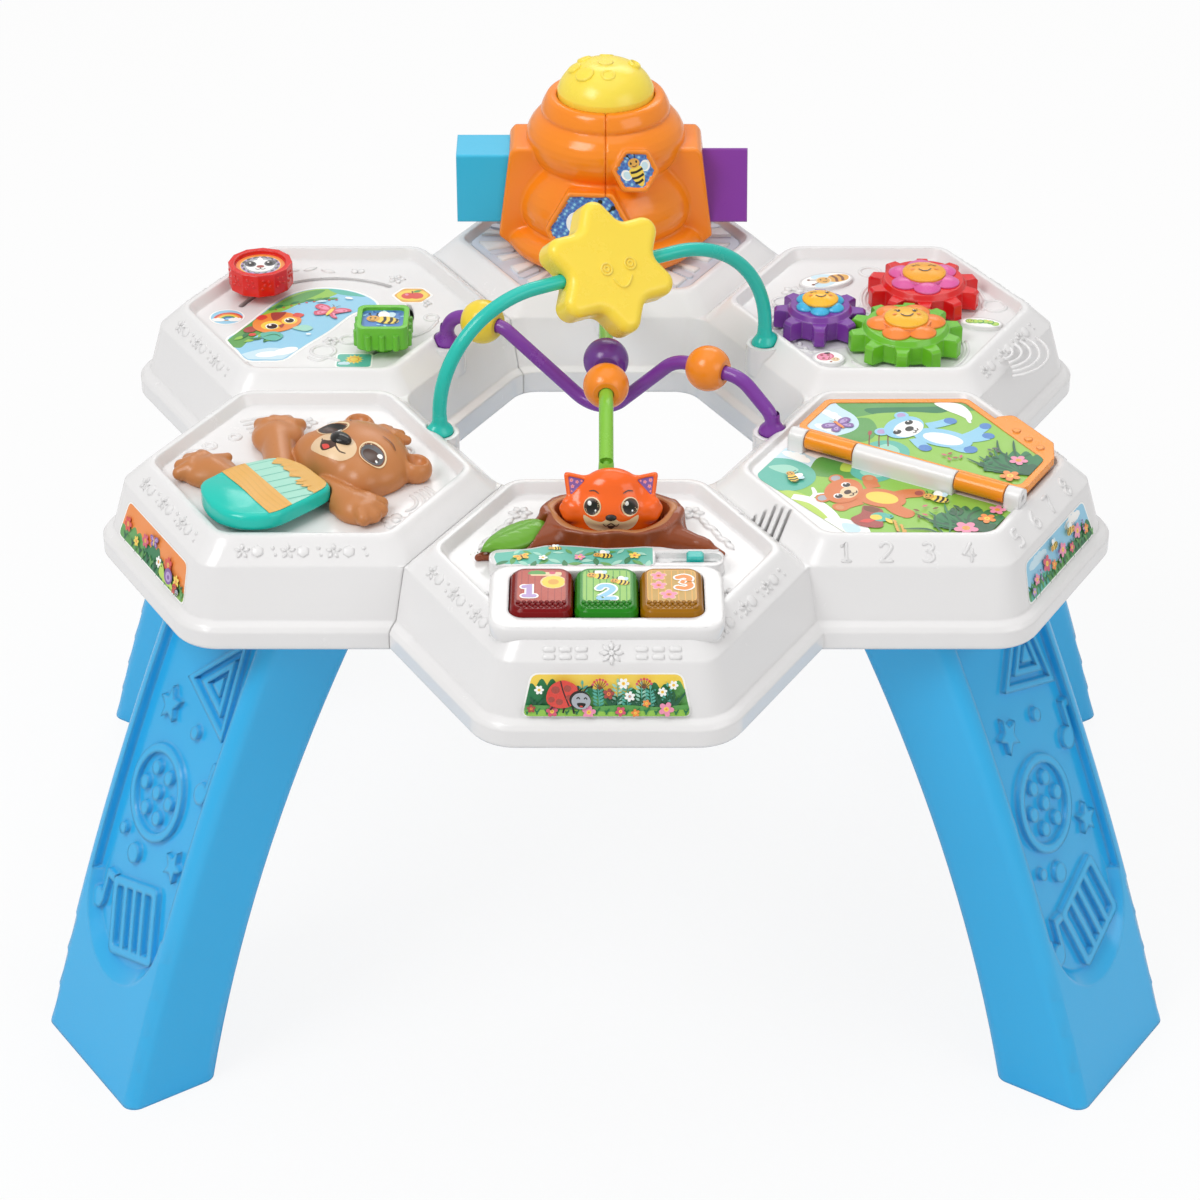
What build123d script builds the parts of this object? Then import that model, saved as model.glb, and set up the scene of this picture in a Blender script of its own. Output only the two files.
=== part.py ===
from build123d import *
import math
import os

os.makedirs("parts", exist_ok=True)

# Toddler activity table: six honeycomb cells round an open middle, on four splayed legs.
# Millimetres, +Z up, origin on the floor under the middle of the table, front towards -Y.

# ---------------------------------------------------------------- driving dimensions
cell_apothem = 92.0        # half the width across flats of one honeycomb cell
deck_top = 335.0           # plateau of every cell
shoulder_height = 323.0    # where the bevels end and the side walls begin
deck_bottom = 280.0        # underside of the lip
lip_height = 13.0          # height of the lip band
wall = 3.0                 # deck wall
bevel = 12.0               # bevel, measured flat, from the shoulder to the plateau
wall_flare = 8.0           # how far the side wall leans out
lip_flare = 14.0           # how far the lip stands outside the honeycomb
opening_shoulder = 100.0   # apothem of the open middle at the shoulder
opening_foot = 92.0        # the same at the foot of its wall
opening_lip = 87.0         # the same at the lip
rim_width = 3.5            # flat rim round each tray
tray_depth = 6.0           # depth of the toy trays
tray_draft = 3.0           # how far a tray's wall leans in
book_tray_depth = 2.5      # the book's tray is shallower
corner_radius = 13.0       # rounded corners of the cells
notch_radius = 17.0        # rounded inner corners between cells
seam_gap = 0.3             # parting gap between the two deck mouldings

base_thickness = 3.0
base_recess = 2.0          # the base plates lie this far above the lip's underside
base_margin = 0.4          # gap between a base plate and the lip's inner wall

leg_angle = 34.0           # from the X axis to each leg's middle line
leg_width = 104.0
leg_edge_radius = 8.0
panel_depth = 6.0          # recessed panel on each leg's outer face
panel_margin = 10.0
panel_foot = 100.0         # below this the panel runs out in a scoop
scoop_reach = 50.0         # from there down to the scoop's rim
relief_rise = 3.4          # ornaments stand this far up from the panel
spigot_width = 66.0
spigot_depth = 34.0
spigot_height = 24.0
spigot_radius = 218.0      # from the middle of the table to the spigot's middle
socket_wall = 2.5
socket_clearance = 0.3

wire_diameter = 8.0
wire_foot_radius = 106.5   # from the middle of the table to each wire's foot
wire_foot_width = 15.0
wire_foot_bottom = 316.0
collar_wall = 3.2
teal_top = 404.5
teal_bend = 62.0
green_top = 354.0
bead_diameter = 25.6
bead_length = 21.0
bead_clearance = 0.3       # round a wire, in beads and star
star_radius = 38.5
star_waist = 26.5
star_thickness = 22.0
star_lobes = 6

gear_module = 6.0
small_teeth = 8
large_teeth = 10
small_addendum = 3.0
large_addendum = 3.4
gear_dedendum = 4.4
tooth_tip = 6.0            # tooth width at its tip
tooth_root = 9.2           # tooth width at its root
gear_bottom_gap = 1.3
gear_height = 11.0
gear_post_radius = 6.0
running_fit = 0.08
green_gear_center = (174.0, 52.0)
purple_gear_bearing = 154.0    # from the green gear
red_gear_bearing = 75.6

key_pitch = 33.2
key_width = 32.4
key_depth = 44.0
key_rise = 3.5             # above the key panel
key_travel = 3.0
key_row_y = -235.0
key_panel_width = 118.0
key_panel_front = -267.0
key_panel_rear = -207.0
key_panel_rise = 3.0       # above the plateau
press_clearance = 0.5      # round every button

fox_x = 2.5
fox_y = -160.0
fox_width = 52.0
fox_depth = 27.0
fox_top = 368.0
stump_width = 75.0
stump_depth = 42.0
stump_hole_width = 60.0
stump_hole_depth = 31.0
stump_top = 345.0
leaf_length = 36.0
leaf_width = 17.0
leaf_x = -48.5
leaf_y = -177.5
leaf_bearing = 33.0
leaf_top = 338.5
leaf_travel = 2.0
strip_width = 122.0
strip_front = -206.0
strip_rear = -189.0
strip_top = 337.0
switch_x = 46.0
switch_y = -197.5
switch_travel = 8.0        # either way

hinge_offset = -11.0       # book hinge line, from its cell's middle
hinge_height = 339.5
hinge_radius = 5.2
pin_radius = 1.6
pin_clearance = 0.06
knuckle_gap = 0.35
page_thickness = 4.2
page_frame = 4.0

red_track_center = (-163.0, 82.0)
red_track_radius = 57.5
red_knob_bearing = 138.0
green_track_center = (-174.5, 88.0)
green_track_radius = 59.5
green_knob_bearing = -40.0
track_width = 3.4
track_clearance = 0.35
knob_bottom = 335.6
knob_height = 14.0
red_knob_radius = 18.5
green_knob_side = 30.0

hive_y = 188.0
hive_plate_thickness = 2.0
hive_seam = 0.2
block_depth = 31.0
block_bottom = 350.5
block_height = 44.5
block_clearance = 0.4
blue_block_end = -90.0
purple_block_end = 86.0
dome_radius = 29.0
dome_top = 449.5

board_height = 306.0
board_thickness = 1.6

# ---------------------------------------------------------------- places that follow
cell_pitch = 2 * cell_apothem
tray_floor = deck_top - tray_depth
book_floor = deck_top - book_tray_depth
ceiling = tray_floor - wall - 0.5       # underside of the trays
skirt_ceiling = shoulder_height - wall  # underside of the grooves
base_bottom = deck_bottom + base_recess
base_top = base_bottom + base_thickness
key_panel_top = deck_top + key_panel_rise
pitch_green = gear_module * large_teeth / 2
pitch_purple = gear_module * small_teeth / 2
gear_bottom = tray_floor + gear_bottom_gap
gear_top = gear_bottom + gear_height
hive_bottom = tray_floor + hive_plate_thickness

front, book, gears, rear, sliders, bear = -90, -30, 30, 90, 150, 210
cell_directions = (front, book, gears, rear, sliders, bear)
leg_directions = {
    "leg_front_left": 180 + leg_angle,
    "leg_front_right": -leg_angle,
    "leg_rear_left": 180 - leg_angle,
    "leg_rear_right": leg_angle,
}


def turned(radius, bearing):
    """Point at a radius and a bearing in degrees from +X."""
    angle = math.radians(bearing)
    return radius * math.cos(angle), radius * math.sin(angle)


def shifted(center, radius, bearing):
    x, y = turned(radius, bearing)
    return center[0] + x, center[1] + y


purple_gear_center = shifted(green_gear_center, pitch_green + pitch_purple, purple_gear_bearing)
red_gear_center = shifted(green_gear_center, 2 * pitch_green, red_gear_bearing)
red_knob_center = shifted(red_track_center, red_track_radius, red_knob_bearing)
green_knob_center = shifted(green_track_center, green_track_radius, green_knob_bearing)


def cell_center(direction):
    return turned(cell_pitch, direction)


def cell_plane(direction, height):
    """Plane in a cell: x runs outwards from the middle of the table, y anticlockwise."""
    x, y = cell_center(direction)
    outward = turned(1, direction)
    return Plane(origin=(x, y, height), x_dir=(outward[0], outward[1], 0), z_dir=(0, 0, 1))


def corners(lines):
    """Corners of the closed outline whose sides lie on lines (bearing, distance, center)."""
    points = []
    for (b1, d1, c1), (b2, d2, c2) in zip(lines, lines[1:] + lines[:1]):
        n1, n2 = turned(1, b1), turned(1, b2)
        k1 = d1 + n1[0] * c1[0] + n1[1] * c1[1]
        k2 = d2 + n2[0] * c2[0] + n2[1] * c2[1]
        cross = n1[0] * n2[1] - n1[1] * n2[0]
        points.append(((k1 * n2[1] - k2 * n1[1]) / cross, (n1[0] * k2 - n2[0] * k1) / cross))
    return points


def ring_outline(flare, height):
    """Outer outline of the six cells together, moved outwards by flare."""
    lines = []
    for direction in cell_directions:
        for side in (-60, 0, 60):
            lines.append((direction + side, cell_apothem + flare, cell_center(direction)))
    corner_limit = 1.3 * cell_pitch
    with BuildSketch(Plane.XY.offset(height)) as sketch:
        with BuildLine():
            Polyline(*corners(lines), close=True)
        make_face()
        points = sketch.vertices()
        fillet(points.filter_by(lambda v: math.hypot(v.X, v.Y) > corner_limit), corner_radius + max(flare, 0))
        points = sketch.vertices()
        fillet(points.filter_by(lambda v: math.hypot(v.X, v.Y) < 1.22 * cell_pitch - notch_radius), notch_radius)
    return sketch.sketch


def opening_outline(apothem, height):
    """Outline of the open middle."""
    with BuildSketch(Plane.XY.offset(height)) as sketch:
        RegularPolygon(radius=apothem, side_count=6, major_radius=False)
        fillet(sketch.vertices(), notch_radius)
    return sketch.sketch


def cell_outline(direction, inset, height, radius=corner_radius):
    """Outline of one cell, moved inwards; its inner side keeps clear of the open middle."""
    inner = inset + opening_shoulder - cell_apothem
    lines = []
    for side in range(6):
        distance = cell_apothem - (inner if side == 3 else inset)
        lines.append((60 * side, distance, (0, 0)))
    with BuildSketch(cell_plane(direction, height)) as sketch:
        with BuildLine():
            Polyline(*corners(lines), close=True)
        make_face()
        fillet(sketch.vertices(), radius)
    return sketch.sketch


def soft_outline(points, radius, plane):
    """Closed outline through corner points, every corner rounded."""
    with BuildSketch(plane) as sketch:
        with BuildLine():
            Polyline(*points, close=True)
        make_face()
        fillet(sketch.vertices(), radius)
    return sketch.sketch


def ellipse_face(center, width, depth, height, bearing=0):
    with BuildSketch(Plane.XY.offset(height)) as sketch:
        with Locations(Location((center[0], center[1], 0), (0, 0, bearing))):
            Ellipse(width / 2, depth / 2)
    return sketch.sketch


def disc(center, radius, low, high, mode=Mode.ADD):
    """Upright cylinder between two heights."""
    with Locations((center[0], center[1], low)):
        Cylinder(radius, high - low, align=(Align.CENTER, Align.CENTER, Align.MIN), mode=mode)


def discs(centers, radius, low, high, mode=Mode.ADD):
    """Equal upright cylinders at several places."""
    with Locations(*[(x, y, low) for x, y in centers]):
        Cylinder(radius, high - low, align=(Align.CENTER, Align.CENTER, Align.MIN), mode=mode)


def slab(x_range, y_range, low, high, mode=Mode.ADD):
    """Upright box between two corners."""
    with Locations(((x_range[0] + x_range[1]) / 2, (y_range[0] + y_range[1]) / 2, low)):
        Box(x_range[1] - x_range[0], y_range[1] - y_range[0], high - low,
            align=(Align.CENTER, Align.CENTER, Align.MIN), mode=mode)


def along(place, bearing):
    """Location whose z axis lies flat, at a bearing."""
    return Location(Plane(origin=place, x_dir=(0, 0, 1), z_dir=(*turned(1, bearing), 0)))


def cap(center, radius, low, rim, rise):
    """Round button: a short rim under a dome cut from a sphere."""
    ball = (radius ** 2 + rise ** 2) / (2 * rise)
    half_turn = math.asin(radius / ball) / 2
    with BuildSketch(Plane(origin=(*center, low), x_dir=(1, 0, 0), z_dir=(0, -1, 0))) as sketch:
        with BuildLine():
            Polyline((0, rim + rise), (0, 0), (radius, 0), (radius, rim))
            ThreePointArc((radius, rim), (ball * math.sin(half_turn), rim + rise - ball * (1 - math.cos(half_turn))),
                          (0, rim + rise))
        make_face()
    return sketch.sketch


def write(piece, name):
    piece.part.label = name
    export_step(piece.part, f"parts/{name}.step")


# ---------------------------------------------------------------- deck, as one ring first
lip_top = deck_bottom + lip_height
wall_foot = lip_top + 2.0
outer_profile = (
    (deck_bottom, lip_flare - 1.2),
    (deck_bottom + 1.5, lip_flare),
    (lip_top - 2.5, lip_flare),
    (lip_top, lip_flare - 2.0),
    (wall_foot, wall_flare),
    (shoulder_height, 0.0),
)
opening_profile = (
    (deck_bottom, opening_lip),
    (lip_top, opening_lip),
    (wall_foot, opening_foot),
    (shoulder_height, opening_shoulder),
)
bevel_profile = (
    (shoulder_height, 0.0),
    (deck_top - 1.6, bevel - 1.6),
    (deck_top - 0.4, bevel - 0.1),
    (deck_top, bevel + 1.0),
)
hollow_profile = (
    (deck_bottom - 1, lip_flare - wall),
    (lip_top - wall / 2, lip_flare - wall),
    (wall_foot, wall_flare - wall),
    (skirt_ceiling, -wall),
)

with BuildPart() as hollow:
    loft(sections=[ring_outline(flare, z) for z, flare in hollow_profile], ruled=True)
    loft(
        sections=[
            opening_outline(opening_lip + wall, deck_bottom - 1),
            opening_outline(opening_lip + wall, lip_top - wall / 2),
            opening_outline(opening_foot + wall, wall_foot),
            opening_outline(opening_shoulder + wall, skirt_ceiling),
        ],
        ruled=True,
        mode=Mode.SUBTRACT,
    )
    with BuildSketch(Plane.XY.offset(skirt_ceiling - 0.5)):
        for direction in cell_directions:
            add(cell_outline(direction, 8.0, skirt_ceiling - 0.5))
    extrude(amount=ceiling - skirt_ceiling + 0.5)
    # the webs that close each half at the seam
    with Locations(*[Location((*turned(cell_pitch, d), deck_bottom - 2), (0, 0, d)) for d in (120, 240)]):
        Box(cell_pitch * 1.4, 2 * wall, 60, align=(Align.CENTER, Align.CENTER, Align.MIN), mode=Mode.SUBTRACT)

with BuildPart() as cell_cap:
    loft(sections=[cell_outline(gears, inset, z) for z, inset in bevel_profile], ruled=True)

with BuildPart() as toy_tray:
    loft(
        sections=[
            cell_outline(gears, bevel + rim_width + tray_draft, tray_floor, corner_radius - 2),
            cell_outline(gears, bevel + rim_width, deck_top, corner_radius - 2),
        ],
        ruled=True,
    )

with BuildPart() as book_tray:
    loft(
        sections=[
            cell_outline(book, bevel + rim_width + tray_draft / 2, book_floor, corner_radius - 2),
            cell_outline(book, bevel + rim_width, deck_top, corner_radius - 2),
        ],
        ruled=True,
    )

wire_feet = [turned(wire_foot_radius, direction) for direction in cell_directions]
with BuildPart() as ring:
    loft(sections=[ring_outline(flare, z) for z, flare in outer_profile], ruled=True)
    loft(sections=[opening_outline(apothem, z) for z, apothem in opening_profile], ruled=True, mode=Mode.SUBTRACT)
    with Locations(*[Location((0, 0, 0), (0, 0, d - gears)) for d in cell_directions]):
        add(cell_cap.part)
    add(hollow.part, mode=Mode.SUBTRACT)
    with Locations(*[Location((0, 0, 0), (0, 0, d - gears)) for d in cell_directions if d != book]):
        add(toy_tray.part, mode=Mode.SUBTRACT)
    add(book_tray.part, mode=Mode.SUBTRACT)
    # collars that hold the wires' feet
    discs(wire_feet, wire_foot_width / 2 + collar_wall, wire_foot_bottom - wall, deck_top - 4)
    discs(wire_feet, wire_foot_width / 2 + 0.2, wire_foot_bottom, deck_top, mode=Mode.SUBTRACT)
    discs(wire_feet, 1.7, wire_foot_bottom - wall - 1, wire_foot_bottom + 1, mode=Mode.SUBTRACT)

reach = 2.4 * cell_pitch


def wedge(gap):
    """The left third of the plan, with its two sides moved outwards by gap."""
    shift = gap / math.sin(math.radians(60))
    with BuildSketch(Plane.XY.offset(deck_bottom - 20)) as sketch:
        with BuildLine():
            Polyline(
                (shift, 0),
                (shift + turned(reach, 120)[0], turned(reach, 120)[1]),
                (-reach, turned(reach, 120)[1]),
                (-reach, turned(reach, 240)[1]),
                (shift + turned(reach, 240)[0], turned(reach, 240)[1]),
                close=True,
            )
        make_face()
    return sketch.sketch


deck_screw_places = [shifted(turned(cell_pitch, d), 92, d + side) for d in cell_directions for side in (-30, 30)]
boss_radius = 4.5
screw_radius = 1.5


def track_slot(center, radius, start, sweep_angle, width, low):
    """Arc-shaped slot outline, for a knob's track."""
    with BuildSketch(Plane.XY.offset(low)) as sketch:
        SlotArc(CenterArc(center, radius, start, sweep_angle, mode=Mode.PRIVATE), width)
    return sketch.sketch


left_screws = [p for p in deck_screw_places if p[0] < -140]
right_screws = [p for p in deck_screw_places if p not in left_screws]

# ---------------------------------------------------------------- left deck: bear and sliders
belly_points = [
    (-217, -131), (-203, -113), (-178, -102), (-163, -111), (-146, -134), (-155, -144),
    (-177, -165.5), (-197, -165.5), (-211.5, -148.5),
]
belly_center = (-184.0, -135.0)
belly_travel = 4.0
belly_stem = 6.0

with BuildPart() as left_cuts:
    extrude(track_slot(red_track_center, red_track_radius, 55, 103, track_width, ceiling - 1), amount=tray_depth + 1)
    extrude(track_slot(green_track_center, green_track_radius, -61, 76, track_width, ceiling - 1),
            amount=tray_depth + 1)
    disc(belly_center, belly_stem + press_clearance, ceiling - 1, tray_floor + 1)
    discs(left_screws, screw_radius + 0.1, base_top, skirt_ceiling - 8)

with BuildPart() as left_deck:
    add(ring.part)
    extrude(wedge(-seam_gap / 2), amount=100, mode=Mode.INTERSECT)
    discs(left_screws, boss_radius, base_top, ceiling + 0.5)
    add(left_cuts.part, mode=Mode.SUBTRACT)
write(left_deck, "left_deck")

# ---------------------------------------------------------------- right deck: the other four
post_top = gear_top + 0.4
gear_centers = (green_gear_center, red_gear_center, purple_gear_center)
gear_reaches = (pitch_green + large_addendum, pitch_green + large_addendum, pitch_purple + small_addendum)
fox_neck_width = fox_width - 2
fox_neck_depth = fox_depth - 1
plaques = (
    ((132.6, 133.0), 34, 19, 20),
    ((128.5, 34.5), 19, 17, 0),
    ((221.0, 78.0), 25, 13, -12),
)
knuckle_spans = ((-60.0, -50.0), (-20.6, 40.0), (69.4, 79.0))
page_spans = ((-50.0, -20.6), (40.0, 69.4))
page_posts = ((-48, 18), (56, 38), (2, 52))
speaker_place = (85.0, -147.0)
speaker_turn = -30


def in_book(u, v, height):
    """Point given in the book cell's own directions."""
    place = cell_plane(book, height).from_local_coords(Vector(u, v, 0))
    return place.X, place.Y, place.Z


with BuildPart() as right_fittings:
    discs(right_screws, boss_radius, base_top, ceiling + 0.5)
    # key panel and label strip
    with BuildSketch(Plane.XY.offset(ceiling)):
        with Locations((0, (key_panel_front + key_panel_rear) / 2)):
            RectangleRounded(key_panel_width, key_panel_rear - key_panel_front, 12)
    extrude(amount=key_panel_top - ceiling)
    with BuildSketch(Plane.XY.offset(ceiling)):
        with Locations((0, (strip_front + strip_rear) / 2)):
            RectangleRounded(strip_width, strip_rear - strip_front, 7)
    extrude(amount=strip_top - ceiling)
    # book hinge: knuckles on feet, and posts under the page
    for low, high in knuckle_spans:
        middle = in_book((low + high) / 2, hinge_offset, hinge_height)
        with Locations(along(middle, book)):
            Cylinder(hinge_radius, high - low - 2 * knuckle_gap)
        with Locations(Location(middle, (0, 0, book))):
            Box(high - low - 2 * knuckle_gap, 2 * hinge_radius, hinge_height - book_floor + 0.5,
                align=(Align.CENTER, Align.CENTER, Align.MAX))
    discs([in_book(u, v, 0)[:2] for u, v in page_posts], 3, book_floor - 0.5,
          hinge_height - page_thickness / 2 - 0.25)
    # gear posts and raised plaques
    discs(gear_centers, gear_post_radius, tray_floor - 1, post_top)
    for center, width, depth, bearing in plaques:
        extrude(ellipse_face(center, width, depth, tray_floor - 1, bearing), amount=3.2)

with BuildPart() as right_cuts:
    with BuildSketch(Plane.XY.offset(skirt_ceiling - 2)):
        with Locations((0, key_row_y)):
            RectangleRounded(2 * key_pitch + key_width + 2 * press_clearance, key_depth + 2 * press_clearance, 8)
        with Locations((switch_x, switch_y)):
            SlotOverall(2 * switch_travel + 8, 3.2)
        with Locations((fox_x, fox_y)):
            Ellipse(fox_neck_width / 2 + press_clearance, fox_neck_depth / 2 + press_clearance)
        with Locations((leaf_x, leaf_y)):
            Circle(3 + press_clearance)
        with Locations((-30, hive_y), (30, hive_y)):
            Circle(screw_radius + 0.2)
        for step in (-2, -1, 0, 1, 2):
            slit = shifted(speaker_place, 5.2 * step, speaker_turn)
            with Locations(Location((slit[0], slit[1], 0), (0, 0, speaker_turn + 90))):
                SlotOverall(24 - 3 * abs(step), 1.8)
    extrude(amount=30)
    with BuildSketch(Plane.XY.offset(deck_top - 1)):
        with Locations((switch_x - 6, switch_y)):
            SlotOverall(40, 9)
    extrude(amount=5)
    discs(right_screws, screw_radius + 0.1, base_top, skirt_ceiling - 8)
    with Locations(along(in_book(9, hinge_offset, hinge_height), book)):
        Cylinder(pin_radius + pin_clearance, 160)
    # a shallow ring under each gear, and the screw holes in its post
    for center, gear_reach in zip(gear_centers, gear_reaches):
        with BuildSketch(Plane.XY.offset(tray_floor - 0.8)):
            with Locations(center):
                Circle(gear_reach + 0.6)
                Circle(gear_post_radius, mode=Mode.SUBTRACT)
        extrude(amount=1.0)
    discs(gear_centers, screw_radius, tray_floor - 2, post_top + 1)

with BuildPart() as right_deck:
    add(ring.part)
    extrude(wedge(seam_gap / 2), amount=100, mode=Mode.SUBTRACT)
    add(right_fittings.part)
    add(right_cuts.part, mode=Mode.SUBTRACT)
write(right_deck, "right_deck")


# ---------------------------------------------------------------- base plates
web_room = wall + base_margin      # the plates stop short of the webs at the seam
socket_length = spigot_width + 2 * socket_clearance
socket_depth = spigot_depth + 2 * socket_clearance
post_places = [(x, y) for x in (-46, 46) for y in (-236, -148)]
battery_middle = (0.0, -196.0)
battery_radius = 7.25
battery_length = 50.5
battery_bay = (54.0, 60.0)
bay_top = base_top + 17.5
socket_top = base_bottom + spigot_height + socket_wall


def leg_place(direction, radius, height):
    """Plane at a leg: x runs outwards, y across the leg."""
    x, y = turned(radius, direction)
    outward = turned(1, direction)
    return Plane(origin=(x, y, height), x_dir=(outward[0], outward[1], 0), z_dir=(0, 0, 1))


with BuildPart() as base_ring:
    extrude(ring_outline(lip_flare - wall - base_margin, base_bottom), amount=base_thickness)
    extrude(opening_outline(opening_lip + wall + base_margin, base_bottom), amount=base_thickness,
            mode=Mode.SUBTRACT)
    for direction in leg_directions.values():
        with BuildSketch(leg_place(direction, spigot_radius, base_bottom)):
            RectangleRounded(socket_depth + 2 * socket_wall, socket_length + 2 * socket_wall, 5)
        extrude(amount=socket_top - base_bottom)
        with BuildSketch(leg_place(direction, spigot_radius, base_bottom)):
            RectangleRounded(socket_depth, socket_length, 3)
        extrude(amount=spigot_height, mode=Mode.SUBTRACT)
    discs(deck_screw_places, 3.6, base_bottom, base_bottom + 1.8, mode=Mode.SUBTRACT)
    discs(deck_screw_places, screw_radius + 0.2, base_bottom, base_top, mode=Mode.SUBTRACT)

with BuildPart() as left_base:
    add(base_ring.part)
    extrude(wedge(-web_room), amount=100, mode=Mode.INTERSECT)
write(left_base, "left_base")

with BuildPart() as right_base:
    add(base_ring.part)
    extrude(wedge(web_room), amount=100, mode=Mode.SUBTRACT)
    discs(post_places, 3.5, base_top - 1, board_height)
    slab((battery_middle[0] - battery_bay[0] / 2 - 2, battery_middle[0] + battery_bay[0] / 2 + 2),
         (battery_middle[1] - battery_bay[1] / 2 - 2, battery_middle[1] + battery_bay[1] / 2 + 2),
         base_top - 1, bay_top)
    slab((battery_middle[0] - battery_bay[0] / 2, battery_middle[0] + battery_bay[0] / 2),
         (battery_middle[1] - battery_bay[1] / 2, battery_middle[1] + battery_bay[1] / 2),
         base_bottom - 1, bay_top - 2, mode=Mode.SUBTRACT)
write(right_base, "right_base")

door_clearance = 0.3
with BuildPart() as battery_door:
    slab((battery_middle[0] - battery_bay[0] / 2 + door_clearance,
          battery_middle[0] + battery_bay[0] / 2 - door_clearance),
         (battery_middle[1] - battery_bay[1] / 2 + door_clearance,
          battery_middle[1] + battery_bay[1] / 2 - door_clearance),
         base_bottom, base_bottom + 2)
write(battery_door, "battery_door")

with BuildPart() as batteries:
    for step in (-1, 0, 1):
        center = Vector(battery_middle[0] + step * (2 * battery_radius + 1.2), battery_middle[1],
                        base_bottom + 2.3 + battery_radius)
        with Locations(Location(center, (90, 0, 0))):
            Cylinder(battery_radius, battery_length - 1)
            Cylinder(2.7, battery_length + 1)
write(batteries, "batteries")

with BuildPart() as battery_contacts:
    for side in (-1, 1):
        y = battery_middle[1] + side * (battery_bay[1] / 2 - 0.4)
        for step in (-1, 0, 1):
            x = battery_middle[0] + step * (2 * battery_radius + 1.2)
            slab((x - 5, x + 5), (y - 0.3, y + 0.3), base_bottom + 4, base_bottom + 15)
            inner = y - side * (battery_bay[1] / 2 - 0.7 - battery_length / 2 - 0.5)
            slab((x - 2, x + 2), (min(y, inner), max(y, inner)), base_bottom + 8, base_bottom + 11)
write(battery_contacts, "battery_contacts")

with BuildPart() as deck_screws:
    discs(deck_screw_places, 3.2, base_bottom + 0.2, base_bottom + 1.8)
    discs(deck_screw_places, screw_radius, base_bottom + 1, base_bottom + 18)
write(deck_screws, "deck_screws")

# ---------------------------------------------------------------- legs
leg_outer_side = ((247, base_bottom), (308.5, 141), (357, 0))     # outwards, up
leg_inner_side = ((182, base_bottom), (255, 141), (300, 0))


def leg_profile(inset):
    """Side outline of a leg in its own upright plane, moved inwards."""
    outer = [(x - inset, z) for x, z in leg_outer_side]
    inner = [(x + inset, z) for x, z in leg_inner_side]
    with BuildSketch(Plane.XZ) as sketch:
        with BuildLine():
            Polyline(inner[0], outer[0])
            ThreePointArc(*outer)
            Line(outer[2], inner[2])
            ThreePointArc(*reversed(inner))
        make_face()
    return sketch.sketch


def star_points(center, reach, turn):
    """Corners of a five-pointed star."""
    return [shifted(center, reach if i % 2 == 0 else 0.45 * reach, turn + 36 * i) for i in range(10)]


def note(center, size):
    """Music note: a round head, a stem and a flag."""
    with Locations(center):
        Circle(0.3 * size)
    with Locations((center[0] + 0.24 * size, center[1] + 0.5 * size)):
        Rectangle(0.16 * size, size)
    with Locations((center[0] + 0.4 * size, center[1] + 0.9 * size)):
        Rectangle(0.42 * size, 0.22 * size)


def shrunk(outline, size):
    """Outline drawn smaller about its middle."""
    middle = [sum(point[i] for point in outline) / len(outline) for i in (0, 1)]
    return [(middle[0] + size * (y - middle[0]), middle[1] + size * (z - middle[1])) for y, z in outline]


relief_triangle = ((-11, 227), (37, 212), (30, 266))      # across the leg, up
panel_half = leg_width / 2 - panel_margin
scoop_tilt = 19.3          # how far the outer face leans back at the scoop
scoop_place = Plane(origin=(324.0, 0, panel_foot), x_dir=(0, 1, 0),
                    z_dir=(math.cos(math.radians(scoop_tilt)), 0, math.sin(math.radians(scoop_tilt))))

with BuildPart() as leg_panel:
    extrude(leg_profile(-20), amount=panel_half, both=True)
    extrude(leg_profile(panel_depth), amount=leg_width, both=True, mode=Mode.SUBTRACT)
    with Locations((330, 0, 0)):
        Box(160, leg_width, 2 * panel_foot, mode=Mode.SUBTRACT)
    with BuildSketch(scoop_place.offset(-panel_depth)) as scoop_floor:
        Ellipse(panel_half - 5, scoop_reach - 14)
    with BuildSketch(scoop_place.offset(1.5)) as scoop_rim:
        Ellipse(panel_half, scoop_reach)
    loft(sections=[scoop_floor.sketch, scoop_rim.sketch], ruled=True)

with BuildPart() as panel_skin:
    extrude(leg_profile(panel_depth - relief_rise), amount=panel_half, both=True)
    extrude(leg_profile(panel_depth + 1), amount=leg_width, both=True, mode=Mode.SUBTRACT)

with BuildPart() as leg_relief:
    with BuildSketch(Plane.YZ.offset(220)):
        # triangles, one in another
        for size, mode in ((1.0, Mode.ADD), (0.8, Mode.SUBTRACT), (0.56, Mode.ADD), (0.36, Mode.SUBTRACT),
                           (0.2, Mode.ADD)):
            with BuildLine():
                Polyline(*shrunk(relief_triangle, size), close=True)
            make_face(mode=mode)
        for center, reach, turn in (((-19, 207), 10, 100), ((28, 136), 9, 80)):
            with BuildLine():
                Polyline(*star_points(center, reach, turn), close=True)
            make_face()
        for center, radius in (((11, 205), 3.6), ((-27, 131), 3.2), ((-11, 124), 5.4)):
            with Locations(center):
                Circle(radius)
        note((33, 181), 19)
        note((-33, 86), 19)
        # ring with seven dots
        with Locations((-6, 162)):
            Circle(26)
            Circle(21.5, mode=Mode.SUBTRACT)
            Circle(3.8)
            with PolarLocations(13.5, 6):
                Circle(3.8)
        # frame with three bars
        with Locations(Location((6, 92, 0), (0, 0, 18))):
            RectangleRounded(46, 42, 4)
            RectangleRounded(37, 33, 2, mode=Mode.SUBTRACT)
            for step in (-9.5, 0, 9.5):
                with Locations((step, 0)):
                    Rectangle(4, 34)
    extrude(amount=160)
    add(panel_skin.part, mode=Mode.INTERSECT)

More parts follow.
